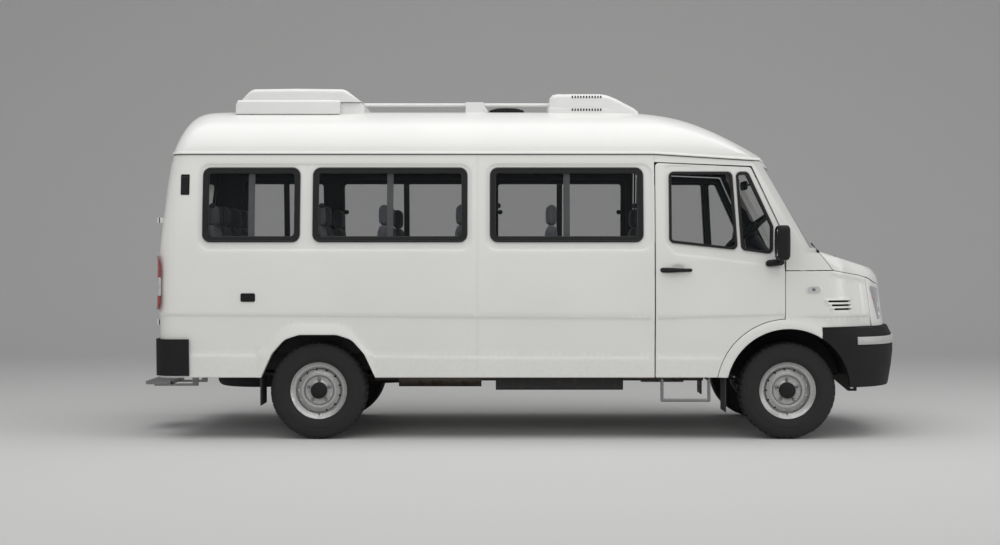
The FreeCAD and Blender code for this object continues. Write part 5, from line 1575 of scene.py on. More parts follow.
class RoofForm:
    """Rules of the raised roof's surface."""

    base, crown, half = 1.990, 2.385, 0.918

    @classmethod
    def dome(cls, height: float) -> float:
        """Front of the middle line at a height.

        Args:
            height: height over the ground.

        Returns:
            The value in metres.
        """
        fall, low, high = cls.crown - height, 0.0, 2.0
        for _ in range(40):
            reach = (low + high) / 2
            drop = 0.14 * (math.hypot(reach, 0.06) - 0.06) + 0.26 * reach ** 2
            low, high = (reach, high) if drop < fall else (low, reach)
        return 0.915 + low

    @classmethod
    def ring(cls, share: float, inset: float, count: int) -> np.ndarray:
        """Right half of the plan outline at a share of the height, from the rear middle to the front middle.

        Args:
            share: share of the height between base and crown.
            inset: distance inside the outer surface.
            count: points of the half outline.

        Returns:
            Points spread evenly along the half outline.
        """
        side = cls.half * (1 - share ** 2) ** 0.25 - inset
        back = -2.505 + 0.230 * (1 - (1 - share) ** 0.42) + inset
        front = cls.dome(cls.base + share * (cls.crown - cls.base)) - 1.6 * inset
        rear_radius = 0.100 * (1 + share) - inset
        corner = min(0.030 + 0.400 * share, 0.85 * side)
        middle = front - 2.0
        corner_x = middle + math.sqrt((2.0 - corner) ** 2 - (side - corner) ** 2)
        lean = math.atan2(side - corner, corner_x - middle)
        line = [(back, 0.0), (back, side - rear_radius)]
        line += [(back + rear_radius * (1 - math.cos(a)), side - rear_radius * (1 - math.sin(a)))
                 for a in np.linspace(0, math.pi / 2, 9)[1:]]
        line += [(corner_x, side)]
        line += [(corner_x + corner * math.cos(a), side - corner + corner * math.sin(a))
                 for a in np.linspace(math.pi / 2, lean, 9)[1:]]
        line += [(middle + 2.0 * math.cos(a), 2.0 * math.sin(a)) for a in np.linspace(lean, 0, 12)[1:]]
        path = np.array(line)
        length = np.concatenate([[0.0], np.cumsum(np.linalg.norm(np.diff(path, axis=0), axis=1))])
        stops = cls.stops(count)
        marks = np.array([0.0, length[1], length[9], length[10], length[18], length[-1]])
        spots = np.interp(stops, np.arange(6), marks)
        return np.stack([np.interp(spots, length, path[:, i]) for i in (0, 1)], axis=1)

    @staticmethod
    def stops(count: int) -> np.ndarray:
        """Even marks on the six corners of the half outline: more of them on the long side.

        Args:
            count: number of points.

        Returns:
            Stops along the roof.
        """
        shares = (0.10, 0.14, 0.44, 0.14, 0.18)
        stops = [0.0]
        for i, share in enumerate(shares):
            steps = max(2, round(share * count))
            stops += [i + (k + 1) / steps for k in range(steps)]
        return np.array(stops)

    @classmethod
    def surface(cls, inset: float, rows: int, count: int, lift: float = 0.0) -> list[np.ndarray]:
        """Rings of the whole roof from the seam up; each is a closed line of points.

        Args:
            inset: distance inside the outer surface.
            rows: number of rows.
            count: number of points.
            lift: distance outside the dome.

        Returns:
            Rows of points.
        """
        rings = []
        rough = cls.ring(0.1, inset, count)
        foot = (BodyForm.seam(rough[:, 0]) + lift - cls.base) / (cls.crown - inset - cls.base)
        for k in range(rows):
            turn = k / (rows - 1) * 0.93
            shares = np.sin(np.arcsin(foot) * (1 - turn) + math.pi / 2 * turn)
            table = [cls.ring(float(share), inset, count) for share in
                     (shares.min(), (shares.min() + shares.max()) / 2, shares.max())]
            spread_share = np.ptp(shares)
            if spread_share < 1e-5:
                plan = table[0]
            else:
                mix = (shares - shares.min()) / spread_share
                plan = np.array([np.array([np.interp(m, (0, 0.5, 1), [t[i, j] for t in table]) for j in (0, 1)])
                                 for i, m in enumerate(mix)])
            z = cls.base + shares * (cls.crown - inset - cls.base)
            limit = BodyForm.screen(z, plan[:, 1]) + 0.006 - 1.2 * inset
            x = np.minimum(plan[:, 0], limit)
            right = np.stack([x, -plan[:, 1], z], axis=1)
            left = right[-2:0:-1] * (1, -1, 1)
            rings.append(np.concatenate([right, left]))
        return rings


class Roof(Assembly):
    """Raised roof with its domed front, headliner, rear header and drip rails."""

    rows, count = 26, 60

    def build(self) -> list[bpy.types.Object]:
        """Make the shell, the header over the rear doors and the rails along the seam.

        Returns:
            The pieces made.
        """
        form = bmesh.new()
        outer = self.skin(form, 0.0, 0)
        inner = self.skin(form, 0.034, 1)
        bridged(form, [outer, inner])
        bmesh.ops.recalc_face_normals(form, faces=form.faces)
        gained(form, self.header())
        # The shell's inner face takes the near-black headliner, painted shade for the unlit cabin roof.
        self.add("roof_shell", form, "body", "body_paint", Paint.ROOF_WHITE, Paint.HEADLINER,
                 stands_for=["roof"], angle=50.0)
        self.add("drip_rails", self.rails(), "body", "body_paint", Paint.ROOF_WHITE)
        # A dark bead under each drip rail is painted shade: it stands in for the shadow line under the rail.
        self.add("seam_sealer", self.sealer(), "body", "window_rubber", Paint.RUBBER)
        return self.made

    def skin(self, form: bmesh.types.BMesh, inset: float, slot: int) -> list[bmesh.types.BMVert]:
        """Add one face of the shell and return its rim.

        Args:
            form: the loose mesh.
            inset: distance inside the outer surface.
            slot: the material slot.

        Returns:
            The vertices of its edge.
        """
        rings = [[form.verts.new(point) for point in line]
                 for line in RoofForm.surface(inset, self.rows, self.count, lift=0.001)]
        start = len(form.faces)
        bridged(form, rings)
        last = rings[-1]
        half = len(last) // 2
        for i in range(half):
            quad = (last[i], last[i + 1], last[-i - 1], last[-i]) if i else (last[0], last[1], last[-1])
            if len(set(quad)) > 2:
                form.faces.new(tuple(dict.fromkeys(quad)))
        form.faces.ensure_lookup_table()
        for face in form.faces[start:]:
            face.material_index = slot
        return rings[0]

    @staticmethod
    def header() -> bmesh.types.BMesh:
        """Rear wall strip between the rear doors and the roof.

        Returns:
            The form as a loose mesh.
        """
        form = bmesh.new()
        rings = []
        for v in np.linspace(-0.846, 0.846, 41):
            corner = []
            for z, out in ((1.998, 0.0), (2.046, 0.0), (2.046, -0.05), (1.998, -0.05)):
                side = Side.LEFT if v > 0 else Side.RIGHT
                corner.append(form.verts.new(BodyForm.tail(np.array([abs(v)]), np.array([z]), np.array([out]),
                                                           side)[0]))
            rings.append(corner)
        bridged(form, rings, capped=True)
        bmesh.ops.recalc_face_normals(form, faces=form.faces)
        return form

    @staticmethod
    def seam_line(out: float, lift: float, side: Side, start: float = -2.52, end: float = 1.72) -> list[np.ndarray]:
        """Points along the roof seam of one side, wrapping the rear corner.

        Args:
            out: distance outside the surface.
            lift: height over the seam.
            side: the vehicle's side.
            start: start of the span.
            end: end of the span.

        Returns:
            Rows of points.
        """
        u = np.concatenate([np.arange(start, -2.34, 0.012), np.arange(-2.34, end, 0.06), [end]])
        z = BodyForm.seam(u) + lift
        return list(BodyForm.wrap(u, z, np.full_like(u, out), side))

    def rails(self) -> bmesh.types.BMesh:
        """Rounded drip rail along each seam.

        Returns:
            The form as a loose mesh.
        """
        form = bmesh.new()
        for side in Side:
            rings = []
            section = [(0.001, 0.010), (0.009, 0.010), (0.012, 0.005), (0.012, -0.004), (0.008, -0.008),
                       (0.001, -0.008)]
            lines = [self.seam_line(out, lift, side) for out, lift in section]
            for spots in zip(*lines):
                rings.append([form.verts.new(spot) for spot in spots])
            bridged(form, rings, capped=True)
        bmesh.ops.recalc_face_normals(form, faces=form.faces)
        return form

    def sealer(self) -> bmesh.types.BMesh:
        """Dark bead under each drip rail: painted shade that stands in for the shadow line under the rail.

        Returns:
            The form as a loose mesh.
        """
        form = bmesh.new()
        for side in Side:
            gained(form, tube(self.seam_line(0.003, -0.0105, side, start=-2.50), 0.0032, 6))
        return form


def pad(place: Place, outline: np.ndarray, profile: Sequence[Point]) -> bmesh.types.BMesh:
    """Closed form on a surface, whose rings shrink towards the middle of an outline.

    Args:
        place: the surface's rule.
        outline: closed outline in the surface's own coordinates.
        profile: pairs of the ring's size and its height over the surface, from the foot to the middle.

    Returns:
        The form as a loose mesh.
    """
    middle = outline.mean(axis=0)
    form = bmesh.new()
    rings = laid(form, place, [(middle + (outline - middle) * size if size > 0 else middle[None], height)
                               for size, height in profile])
    foot = place(middle[:1], middle[1:], np.array([profile[0][1]]))[0]
    bridged(form, [[form.verts.new(foot)], *rings])
    bmesh.ops.recalc_face_normals(form, faces=form.faces)
    return form


def nose_line(level: float = 1.100, front: float = 2.740, lean: float = -0.13) -> np.ndarray:
    """Half of the nose's plan outline at a level, from the front door to the middle.

    Args:
        level: height of the outline.
        front: X of its foremost point.
        lean: how far it leans back with height.

    Returns:
        Points as rows.
    """
    shift = lean * (level - 0.831)
    half = float(BodyForm.half(np.array(level)))
    knots = np.array([(2.050, half), (2.270, half - 0.022), (2.440 + shift, half * 0.8 + 0.062),
                      (2.582 + shift, half * 0.8 - 0.060), (front + shift - 0.034, 0.42 * half),
                      (front + shift, 0.0)])
    gaps = np.linalg.norm(np.diff(knots, axis=0), axis=1)
    count = len(knots)
    rows, sides = np.zeros((count, count)), np.zeros((count, 2))
    rows[0, 0] = rows[-1, -1] = 1.0
    sides[0], sides[-1] = (1.0, 0.0), (0.0, -1.0)
    for i in range(1, count - 1):
        before, after = gaps[i - 1], gaps[i]
        rows[i, i - 1], rows[i, i], rows[i, i + 1] = after, 2 * (before + after), before
        sides[i] = 3 * (after * (knots[i] - knots[i - 1]) / before + before * (knots[i + 1] - knots[i]) / after)
    slopes = np.linalg.solve(rows, sides)
    line = [np.array((1.300, half))]
    for i, gap in enumerate(gaps):
        for t in np.linspace(0, 1, 25)[:-1]:
            line.append((2 * t ** 3 - 3 * t ** 2 + 1) * knots[i] + (t ** 3 - 2 * t ** 2 + t) * gap * slopes[i]
                        + (3 * t ** 2 - 2 * t ** 3) * knots[i + 1] + (t ** 3 - t ** 2) * gap * slopes[i + 1])
    return np.array([*line, knots[-1]])


class NoseForm:
    """Rules of the nose: its plan outline, the bonnet's top and the seam below the bonnet."""

    level = 1.100
    line = nose_line()
    length = np.concatenate([[0.0], np.cumsum(np.linalg.norm(np.diff(line, axis=0), axis=1))]) + 1.300
    end = float(length[-1])
    seam_points = ((2.135, 1.336), (2.241, 1.206), (2.331, 1.193), (2.449, 1.174), (2.542, 1.150), (2.590, 1.118),
                   (2.640, 1.106), (2.805, 1.100))

    @classmethod
    def spot(cls, u: np.ndarray) -> tuple[np.ndarray, np.ndarray]:
        """Plan point and outward direction at a distance along the outline.

        Args:
            u: distance along the side.

        Returns:
            The points and their outward directions.
        """
        point = np.stack([np.interp(u, cls.length, cls.line[:, i]) for i in (0, 1)], axis=-1)
        ahead = np.stack([np.interp(u + 0.01, cls.length, cls.line[:, i]) for i in (0, 1)], axis=-1)
        back = np.stack([np.interp(u - 0.01, cls.length, cls.line[:, i]) for i in (0, 1)], axis=-1)
        along = ahead - back
        along = np.where(u[..., None] > cls.end - 0.011, np.array((0.0, -1.0)), along)
        along /= np.linalg.norm(along, axis=-1, keepdims=True)
        return point, np.stack([-along[..., 1], along[..., 0]], axis=-1)

    @classmethod
    def ahead(cls, u: np.ndarray) -> np.ndarray:
        """X of the outline at a distance along it."""
        return np.interp(u, cls.length, cls.line[:, 0])

    @classmethod
    def reach(cls, x: float) -> float:
        """Distance along the outline at which it reaches an X."""
        return float(np.interp(x, cls.line[:, 0], cls.length))

    @classmethod
    def across(cls, y: float) -> float:
        """Distance along the front of the outline at which it reaches a half width."""
        return float(np.interp(-y, -cls.line[:, 1], cls.length))

    @classmethod
    def wrap(cls, u: np.ndarray, z: np.ndarray, out: np.ndarray, side: Side) -> np.ndarray:
        """Point of the nose's side; u runs from the front door round to the middle of the front.

        Args:
            u: distance along the side.
            z: height.
            out: distance outside the surface.
            side: the vehicle's side.

        Returns:
            Points as rows.
        """
        point, away = cls.spot(u)
        scale = BodyForm.half(z) / BodyForm.half(np.array(cls.level))
        lean = -0.13 * (z - cls.level) * smooth_step(point[:, 0], 2.15, 2.42)
        x = point[:, 0] + lean + away[:, 0] * out
        y = point[:, 1] * scale + away[:, 1] * out
        return np.stack([x, side.value * y, z], axis=1)

    @classmethod
    def seam(cls, x: np.ndarray) -> np.ndarray:
        """Height of the bonnet's lower edge."""
        return np.interp(x, *zip(*cls.seam_points))

    @staticmethod
    def top(x: np.ndarray, y: np.ndarray) -> np.ndarray:
        """Height of the bonnet's top, which bends down at the front."""
        plain = 1.346 + 0.327 * (2.245 - x) - 0.0572 * (y / 1.1) ** 2
        return plain - 0.35 * np.maximum(0.0, x - 2.50) ** 2

    @staticmethod
    def rear(y: np.ndarray) -> np.ndarray:
        """Rear edge of the bonnet."""
        return 2.315 - y * y / 5.4


@dataclass
class Bonnet(Assembly):
    """Bonnet with rounded shoulders, a turned hem and its hinge arms."""

    radius: float = 0.062
    wall: float = 0.016
    tuck: float = 0.0125
    columns: int = 46

    def rows(self, depth: float) -> list[np.ndarray]:
        """Lines of points from the right rear corner round the front to the left, from the seam to the rear edge.

        Args:
            depth: distance inside the outer surface.

        Returns:
            Rows of points.
        """
        start = NoseForm.reach(2.140)
        half = np.concatenate([np.linspace(start, start + 0.12, 7)[:-1],
                               np.linspace(start + 0.12, NoseForm.end, self.columns)])
        point, away = NoseForm.spot(half)
        tuck = self.tuck * smooth_step(2.33 - point[:, 0], 0.0, 0.07)
        point = point - away * (depth + tuck)[:, None]
        progress = (half - half[0]) / (half[-1] - half[0])
        low = NoseForm.seam(point[:, 0])
        lean = -0.13 * smooth_step(point[:, 0], 2.15, 2.42)
        high = NoseForm.top(point[:, 0], point[:, 1]) - depth
        rise = np.maximum(high - low, 0.001)
        radius = np.minimum(self.radius - depth * 0.5, 0.92 * rise)
        rows = []
        for share in (0.0, 0.5):
            z = low + (rise - radius) * share
            rows.append(np.stack([point[:, 0] + lean * (z - NoseForm.level), -point[:, 1], z], axis=1))
        for turn in np.linspace(0, math.pi / 2, 8):
            inner = point - away * (radius * (1 - math.cos(turn)))[:, None]
            z = NoseForm.top(inner[:, 0], inner[:, 1]) - depth - radius * (1 - math.sin(turn))
            shift = lean * (z - NoseForm.level) * math.cos(turn)
            rows.append(np.stack([inner[:, 0] + shift, -inner[:, 1], z], axis=1))
        edge_y = point[0, 1] * (1 - progress)
        edge = np.stack([NoseForm.rear(edge_y), -edge_y], axis=1)
        last = rows[-1][:, :2]
        for share in np.linspace(0, 1, 11)[1:]:
            plan = last * (1 - share) + edge * share
            rows.append(np.concatenate([plan, (NoseForm.top(plan[:, 0], plan[:, 1]) - depth)[:, None]], axis=1))
        hem = rows[-1].copy()
        hem[:, 2] -= 0.004
        rows.append(hem)
        return [np.concatenate([row, row[-2::-1] * (1, -1, 1)]) for row in rows]

    def build(self) -> list[bpy.types.Object]:
        """Make the bonnet with its hinge arms.

        Returns:
            The pieces made.
        """
        form = bmesh.new()
        outer = [[form.verts.new(point) for point in row] for row in self.rows(0.0)]
        inner = [[form.verts.new(point) for point in row] for row in self.rows(self.wall)]
        walled(form, outer, inner)
        bmesh.ops.remove_doubles(form, verts=form.verts, dist=1e-6)
        bmesh.ops.recalc_face_normals(form, faces=form.faces)
        for side in Side:
            y = side.value * 0.560
            gained(form, tube([(2.240, y - 0.02, 1.306), (2.240, y + 0.02, 1.306)], 0.006, 12), slot=1)
            gained(form, slab((2.236, y - 0.018, 1.301), (2.330, y + 0.018, 1.309), 0.002), slot=1)
        self.add("bonnet_panel", form, "bonnet", "body_paint", Paint.WHITE, Paint.CHASSIS,
                 stands_for=["bonnet"], angle=40.0)
        return self.made


@dataclass
class Fenders(Assembly):
    """Both front fenders with their wheel arches, side louvres and repeater lamps."""

    flare: float = 0.511
    opening: float = 0.443
    rear: float = 1.8965
    split: float = 2.514
    louvres: tuple[tuple[float, float], ...] = ((2.200, 0.986), (2.222, 0.958), (2.240, 0.930))
    louvre_end: float = 2.388

    def outline(self) -> np.ndarray:
        """Edge of a fender in the nose's own coordinates.

        Returns:
            Points as rows.
        """
        hub = np.array((WHEELS["front"], HUB_HEIGHT))
        top = math.acos((self.rear - hub[0]) / self.flare)
        foot = math.pi - math.asin((SILL - hub[1]) / self.flare)
        outer = [(hub[0] + self.flare * math.cos(a), hub[1] + self.flare * math.sin(a), 0.0)
                 for a in np.linspace(foot, top, 24)]
        low = math.pi - math.asin((SILL - hub[1]) / self.opening)
        x = 2.157
        end = math.acos((x - hub[0]) / self.opening)
        inner = [(hub[0] + self.opening * math.cos(a), hub[1] + self.opening * math.sin(a), 0.0)
                 for a in np.linspace(end, low, 30)]
        last = NoseForm.reach(self.split)
        seam = [(u, float(NoseForm.seam(NoseForm.ahead(u))) - 0.005, 0.0)
                for u in np.linspace(NoseForm.reach(2.241), last, 14)]
        corners = [*outer, (self.rear, 1.200, 0.004), *seam, (last, 0.800, 0.0), (x, 0.800, 0.0), *inner]
        return dense(rounded(corners, 4)[::-1], 0.04)

    def relief(self, points: np.ndarray) -> np.ndarray:
        """Pressed shapes of the fender and the rolled arch edge.

        Args:
            points: points as rows.

        Returns:
            Distances outside the plain surface.
        """
        away = np.hypot(points[:, 0] - WHEELS["front"], points[:, 1] - HUB_HEIGHT)
        x = NoseForm.ahead(points[:, 0])
        seam = NoseForm.seam(x)
        shoulder = 0.006 * smooth_step(points[:, 1], seam - 0.042, seam - 0.026)
        below = -0.006 * smooth_step(0.880 - points[:, 1], 0.0, 0.012) * smooth_step(away, 0.52, 0.55)
        lip = 0.012 * smooth_step(0.517 - away, 0.0, 0.045)
        groove = -0.0012 * np.exp(-((points[:, 0] - NoseForm.reach(2.452)) / 0.0035) ** 2)
        hood = np.zeros(len(points))
        for start, z in self.louvres:
            inside = distance(points, oblong(start - 0.03, self.louvre_end + 0.006, z - 0.004, z + 0.017, 0.006))
            hood += 0.006 * smooth_step(inside, 0.0, 0.008)
        return shoulder + below + lip + groove + hood

    def features(self) -> list[np.ndarray]:
        """Lines that the mesh follows.

        Returns:
            Rows of points.
        """
        lines = []
        u = np.linspace(self.rear, NoseForm.reach(self.split), 40)
        x = NoseForm.ahead(u)
        lines += [np.stack([u, NoseForm.seam(x) - gap], axis=1) for gap in (0.042, 0.034, 0.026)]
        lines += [np.stack([u, np.full_like(u, z)], axis=1) for z in (0.880, 0.874, 0.868)]
        turn = np.linspace(0.05, math.pi - 0.1, 60)
        for radius in (0.517, 0.550, 0.495, 0.476):
            lines.append(np.stack([WHEELS["front"] + radius * np.cos(turn), HUB_HEIGHT + radius * np.sin(turn)],
                                  axis=1))
        for start, z in self.louvres:
            edge = oblong(start - 0.03, self.louvre_end + 0.006, z - 0.004, z + 0.017, 0.006, 4)
            lines += [ring(dense(Skin.moved(edge, gap), 0.03)) for gap in (0.0, 0.008)]
        middle = NoseForm.reach(2.452)
        z = np.arange(0.80, 1.17, 0.03)
        lines += [np.stack([np.full_like(z, middle + gap), z], axis=1) for gap in (-0.006, 0.0, 0.006)]
        return lines

    def build(self) -> list[bpy.types.Object]:
        """Make both fenders as one piece, and their lamps.

        Returns:
            The pieces made.
        """
        form, lamps, dark = bmesh.new(), bmesh.new(), bmesh.new()
        holes = [dense(oblong(start, self.louvre_end, z - 0.0075, z + 0.0055, 0.005, 4), 0.03)
                 for start, z in self.louvres]
        for side in Side:
            place = partial(NoseForm.wrap, side=side)
            sheet = Skin(self.outline(), holes, place, self.relief, self.features(), pitch=0.04,
                         thickness=0.022).form()
            for face in sheet.faces:
                face.smooth = True
            gained(form, sheet, None)
            shell = oblong(2.046, 2.146, 1.046, 1.092, 0.022, 8)
            gained(form, pad(place, shell, ((1.04, -0.001), (1.06, 0.003), (1.0, 0.006), (0.93, 0.006),
                                            (0.90, 0.002), (0.0, 0.002))), slot=0)
            gained(lamps, pad(place, shell, ((0.90, 0.003), (0.89, 0.006), (0.75, 0.0105), (0.4, 0.0125),
                                             (0.0, 0.013))))
            bulb = oblong(2.082, 2.108, 1.060, 1.078, 0.008, 5)
            gained(dark, pad(place, bulb, ((1.0, 0.0025), (0.9, 0.0045), (0.0, 0.005))))
        # The fenders' inner faces take the near-black underbody paint, partly painted shade inside the arches.
        self.add("fender_panels", form, "body", "body_paint", Paint.WHITE, Paint.FLOOR, stands_for=["fenders"],
                 angle=62.0)
        self.add("repeater_lenses", lamps, "body", "clear_lamp", Paint.CLEAR)
        self.add("repeater_bulbs", dark, "body", "black_plastic", Paint.BLACK)
        return self.made


@dataclass
class FrontPanel(Assembly):
    """Front between the lamps: grille panel, its bars and the two headlamps."""

    split: float = 2.518
    grille: tuple[float, float, float] = (0.470, 0.880, 1.050)
    bars: int = 5

    @staticmethod
    def place(v: np.ndarray, z: np.ndarray, out: np.ndarray) -> np.ndarray:
        """Point of the front; v is the distance from the middle along the panel, positive on the left."""
        right = NoseForm.wrap(NoseForm.end - np.abs(v), z, out, Side.RIGHT)
        return right * np.stack([np.ones_like(v), np.where(v > 0, -1.0, 1.0), np.ones_like(v)], axis=1)

    def lamp(self, grow: float = 0.0) -> np.ndarray:
        """Headlamp outline on the left half, with its slanted outer edge.

        Args:
            grow: distance to grow by.

        Returns:
            Points as rows.
        """
        outer_top = NoseForm.end - NoseForm.reach(2.545) + grow
        outer_low = NoseForm.end - NoseForm.reach(2.588) + grow
        inner = NoseForm.end - NoseForm.across(0.525) - grow
        return rounded([(inner, 0.862 - grow, 0.03), (outer_low, 0.846 - grow, 0.02),
                        (outer_top, 1.092 + grow, 0.02), (inner, 1.062 + grow, 0.03)])

    def build(self) -> list[bpy.types.Object]:
        """Make the panel, the grille bars and the lamps.

        Returns:
            The pieces made.
        """
        wide = NoseForm.end - NoseForm.reach(self.split)
        top = [(v, float(NoseForm.seam(NoseForm.ahead(NoseForm.end - abs(v)))) - 0.005, 0.0)
               for v in np.linspace(wide, -wide, 41)]
        outline = dense(rounded([(-wide, 0.800, 0.0), (wide, 0.800, 0.0), *top], 4), 0.05)
        half, low, high = self.grille
        lamps = [dense(self.lamp() * (sign, 1), 0.05)[::sign] for sign in (1, -1)]
        holes = [dense(oblong(-half, half, low, high, 0.03), 0.05), *lamps]
        features = [ring(dense(Skin.moved(hole, -0.02), 0.05)) for hole in holes]

        def relief(points: np.ndarray) -> np.ndarray:
            """Rim that rises at the openings."""
            edge = np.max([distance(points, hole) for hole in holes], axis=0)
            return -0.005 * smooth_step(edge, -0.02, -0.004)

        panel = Skin(outline, holes, self.place, relief, features, pitch=0.05, thickness=0.022)
        # The grille panel's inner face takes the near-black underbody paint, partly painted shade behind the panel.
        self.add("grille_panel", panel.form(), "body", "body_paint", Paint.WHITE, Paint.FLOOR,
                 stands_for=["front_panel"], angle=62.0)
        self.add("grille_bars", self.grille_bars(), "body", "black_plastic", Paint.BLACK)
        lens, bowl, bulbs = bmesh.new(), bmesh.new(), bmesh.new()
        for sign in (1, -1):
            line = dense(self.lamp(-0.003), 0.03) * (sign, 1)
            gained(lens, pad(self.place, line, ((0.985, -0.012), (1.0, -0.004), (0.985, 0.001), (0.93, 0.004),
                                                (0.6, 0.006), (0.0, 0.007))))
            gained(bowl, pad(self.place, line, ((1.02, -0.016), (1.02, -0.013), (0.9, -0.035), (0.5, -0.060),
                                                (0.0, -0.066))))
            for share, radius, finish in ((0.30, 0.062, 0), (0.74, 0.045, 1)):
                inner, outer = self.lamp().min(axis=0)[0], self.lamp().max(axis=0)[0]
                v = inner + (outer - inner) * share
                disc = np.array([(sign * (v + radius * math.cos(a)), 0.962 + radius * math.sin(a))
                                 for a in np.linspace(0, math.tau, 33)[:-1]])
                gained(bulbs, pad(self.place, disc, ((1.08, -0.034), (1.08, -0.016), (1.0, -0.014), (0.94, -0.020),
                                                     (0.6, -0.034), (0.0, -0.040))), slot=finish)
        self.add("headlamp_lenses", lens, "body", "clear_lamp", Paint.CLEAR, stands_for=["front_lamps"],
                 angle=50.0)
        self.add("headlamp_bowls", bowl, "body", "clear_lamp", Paint.CHROME, angle=50.0)
        self.add("headlamp_bulbs", bulbs, "body", "clear_lamp", Paint.CHROME, Paint.AMBER, angle=50.0)
        return self.made

    def grille_bars(self) -> bmesh.types.BMesh:
        """Dark mesh behind and rounded cross bars, repeated upwards.

        Returns:
            The form as a loose mesh.
        """
        half, low, high = self.grille
        form = pad(self.place, dense(oblong(-half - 0.01, half + 0.01, low - 0.01, high + 0.01, 0.03), 0.04),
                   ((1.0, -0.0210), (1.0, -0.0190), (0.5, -0.0185), (0.0, -0.018)))
        pitch = (high - low) / (self.bars + 1)
        line = np.linspace(-half, half, 41)
        rows = [self.place(line, np.full_like(line, low + pitch + dz), np.full_like(line, out))
                for dz, out in ((-0.007, -0.017), (-0.008, -0.004), (0.0, 0.000), (0.008, -0.004), (0.007, -0.017))]
        bar = bmesh.new()
        rings = [[bar.verts.new(row[i]) for row in rows] for i in range(len(line))]
        bridged(bar, rings, capped=True)
        bmesh.ops.recalc_face_normals(bar, faces=bar.faces)
        gained(form, REPEATS.form(bar, self.bars, finish=Paint.BLACK, step=(-0.13 * pitch, 0.0, pitch)))
        return form


@dataclass
class Cowl(Assembly):
    """Fixed strip between bonnet and windscreen, with its side plates and drain grille."""

    columns: int = 40

    def build(self) -> list[bpy.types.Object]:
        """Make the strip, with the drain grille in its middle.

        Returns:
            The pieces made.
        """
        form, grille = bmesh.new(), bmesh.new()
        y = np.linspace(-0.985, 0.985, 2 * self.columns + 1)
        front_x = NoseForm.rear(y) - 0.006
        rows = []
        for share in np.linspace(0, 1, 7):
            x = front_x - share * 0.135
            plain = NoseForm.top(x, y)
            lift = 0.004 * math.sin(math.pi * share)
            screen_z = 1.342 + (2.265 - y * y / 4.0 - x) / 0.608
            rows.append(np.stack([x, y, np.minimum(plain + lift - 0.003, screen_z + 0.003)], axis=1))
        under = [row - (0, 0, 0.003 + 0.013 * i / 6) for i, row in enumerate(rows)]
        walled(form, *([[form.verts.new(point) for point in row] for row in face] for face in (rows, under)))
        for side in Side:
            self.flank(form, side)
        bmesh.ops.recalc_face_normals(form, faces=form.faces)
        self.add("cowl_strip", form, "body", "body_paint", Paint.WHITE, angle=40.0)
        blade = slab((2.160, -0.0035, 1.3685), (2.215, 0.0035, 1.3715), 0.001, 1)
        for vert in blade.verts:
            vert.co.z = float(NoseForm.top(np.array(vert.co.x), np.array(0.0))) + (0.003 if vert.co.z > 1.37
                                                                                   else -0.003)
        bmesh.ops.translate(blade, verts=blade.verts, vec=(0.0, -0.30, -0.004))
        gained(grille, REPEATS.form(blade, 41, finish=Paint.BLACK, step=(0.0, 0.015, 0.0)))
        self.add("cowl_vents", grille, "body", "black_plastic", Paint.BLACK)
        return self.made

    @staticmethod
    def flank(form: bmesh.types.BMesh, side: Side) -> None:
        """Side plate under the strip, behind the bonnet's slanted rear edge.

        Args:
            form: the loose mesh.
            side: the vehicle's side.
        """
        rings = []
        for share in np.linspace(0, 1, 9):
            z = 1.2075 + share * (1.330 - 1.2075)
            front = 2.2345 - (z - 1.206) * 0.815
            u = np.linspace(1.990, front, 7)
            heights = np.full_like(u, z)
            outer = NoseForm.wrap(u, heights, np.full_like(u, 0.0008), side)
            inner = NoseForm.wrap(u, heights, np.full_like(u, -0.0022), side)
            rings.append([form.verts.new(point) for point in [*outer, *inner[::-1]]])
        bridged(form, rings, capped=True)


def islands(form: bmesh.types.BMesh) -> list[set]:
    """Loose parts of a mesh as sets of vertices.

    Args:
        form: the loose mesh.

    Returns:
        The vertices of each island.
    """
    left, found = set(form.verts), []
    while left:
        part, edge = set(), [left.pop()]
        while edge:
            vert = edge.pop()
            part.add(vert)
            for link in vert.link_edges:
                other = link.other_vert(vert)
                if other in left:
                    left.discard(other)
                    edge.append(other)
        found.append(part)
    return found


def cushion(low: Sequence[float], high: Sequence[float], radius: float, crown: Sequence[float],
            seams: Sequence[tuple[int, float, int, float]] = (), cells: int = 11, taper: float = 0.0
            ) -> bmesh.types.BMesh:
    """Stuffed form with rounded edges, swollen faces and sewn grooves.

    Args:
        low: lowest corner.
        high: highest corner.
        radius: edge radius.
        crown: swelling of the faces along each axis.
        seams: grooves as the axis across them, their place on it from -1 to 1, the axis they sink along, and depth.
        cells: cuts along each edge.
        taper: share by which the top is narrower than the foot.

    Returns:
        The cushion as a loose mesh.
    """
    form = bmesh.new()
    bmesh.ops.create_cube(form, size=2.0)
    bmesh.ops.subdivide_edges(form, edges=form.edges[:], cuts=cells, use_grid_fill=True)
    unit = np.array([tuple(vert.co) for vert in form.verts])
    low, high = np.array(low), np.array(high)
    half, middle = (high - low) / 2, (high + low) / 2
    plain = unit * half
    core = np.clip(plain, -(half - radius), half - radius)
    arm = plain - core
    size = np.linalg.norm(arm, axis=1, keepdims=True)
    spots = core + radius * arm / np.maximum(size, 1e-9)
    for axis in range(3):
        first, second = [unit[:, other] for other in range(3) if other != axis]
        spots[:, axis] += np.sign(unit[:, axis]) * (np.abs(unit[:, axis]) > 0.99) * crown[axis] * (
            (1 - first ** 2) * (1 - second ** 2)) ** 0.6
    for across, where, along, depth in seams:
        groove = depth * np.exp(-((unit[:, across] - where) / 0.07) ** 2)
        spots[:, along] -= np.sign(unit[:, along]) * (np.abs(unit[:, along]) > 0.99) * groove
    spots[:, 1] *= 1 - taper * (unit[:, 2] + 1) / 2
    for vert, spot in zip(form.verts, spots + middle):
        vert.co = spot
    bmesh.ops.recalc_face_normals(form, faces=form.faces)
    return form


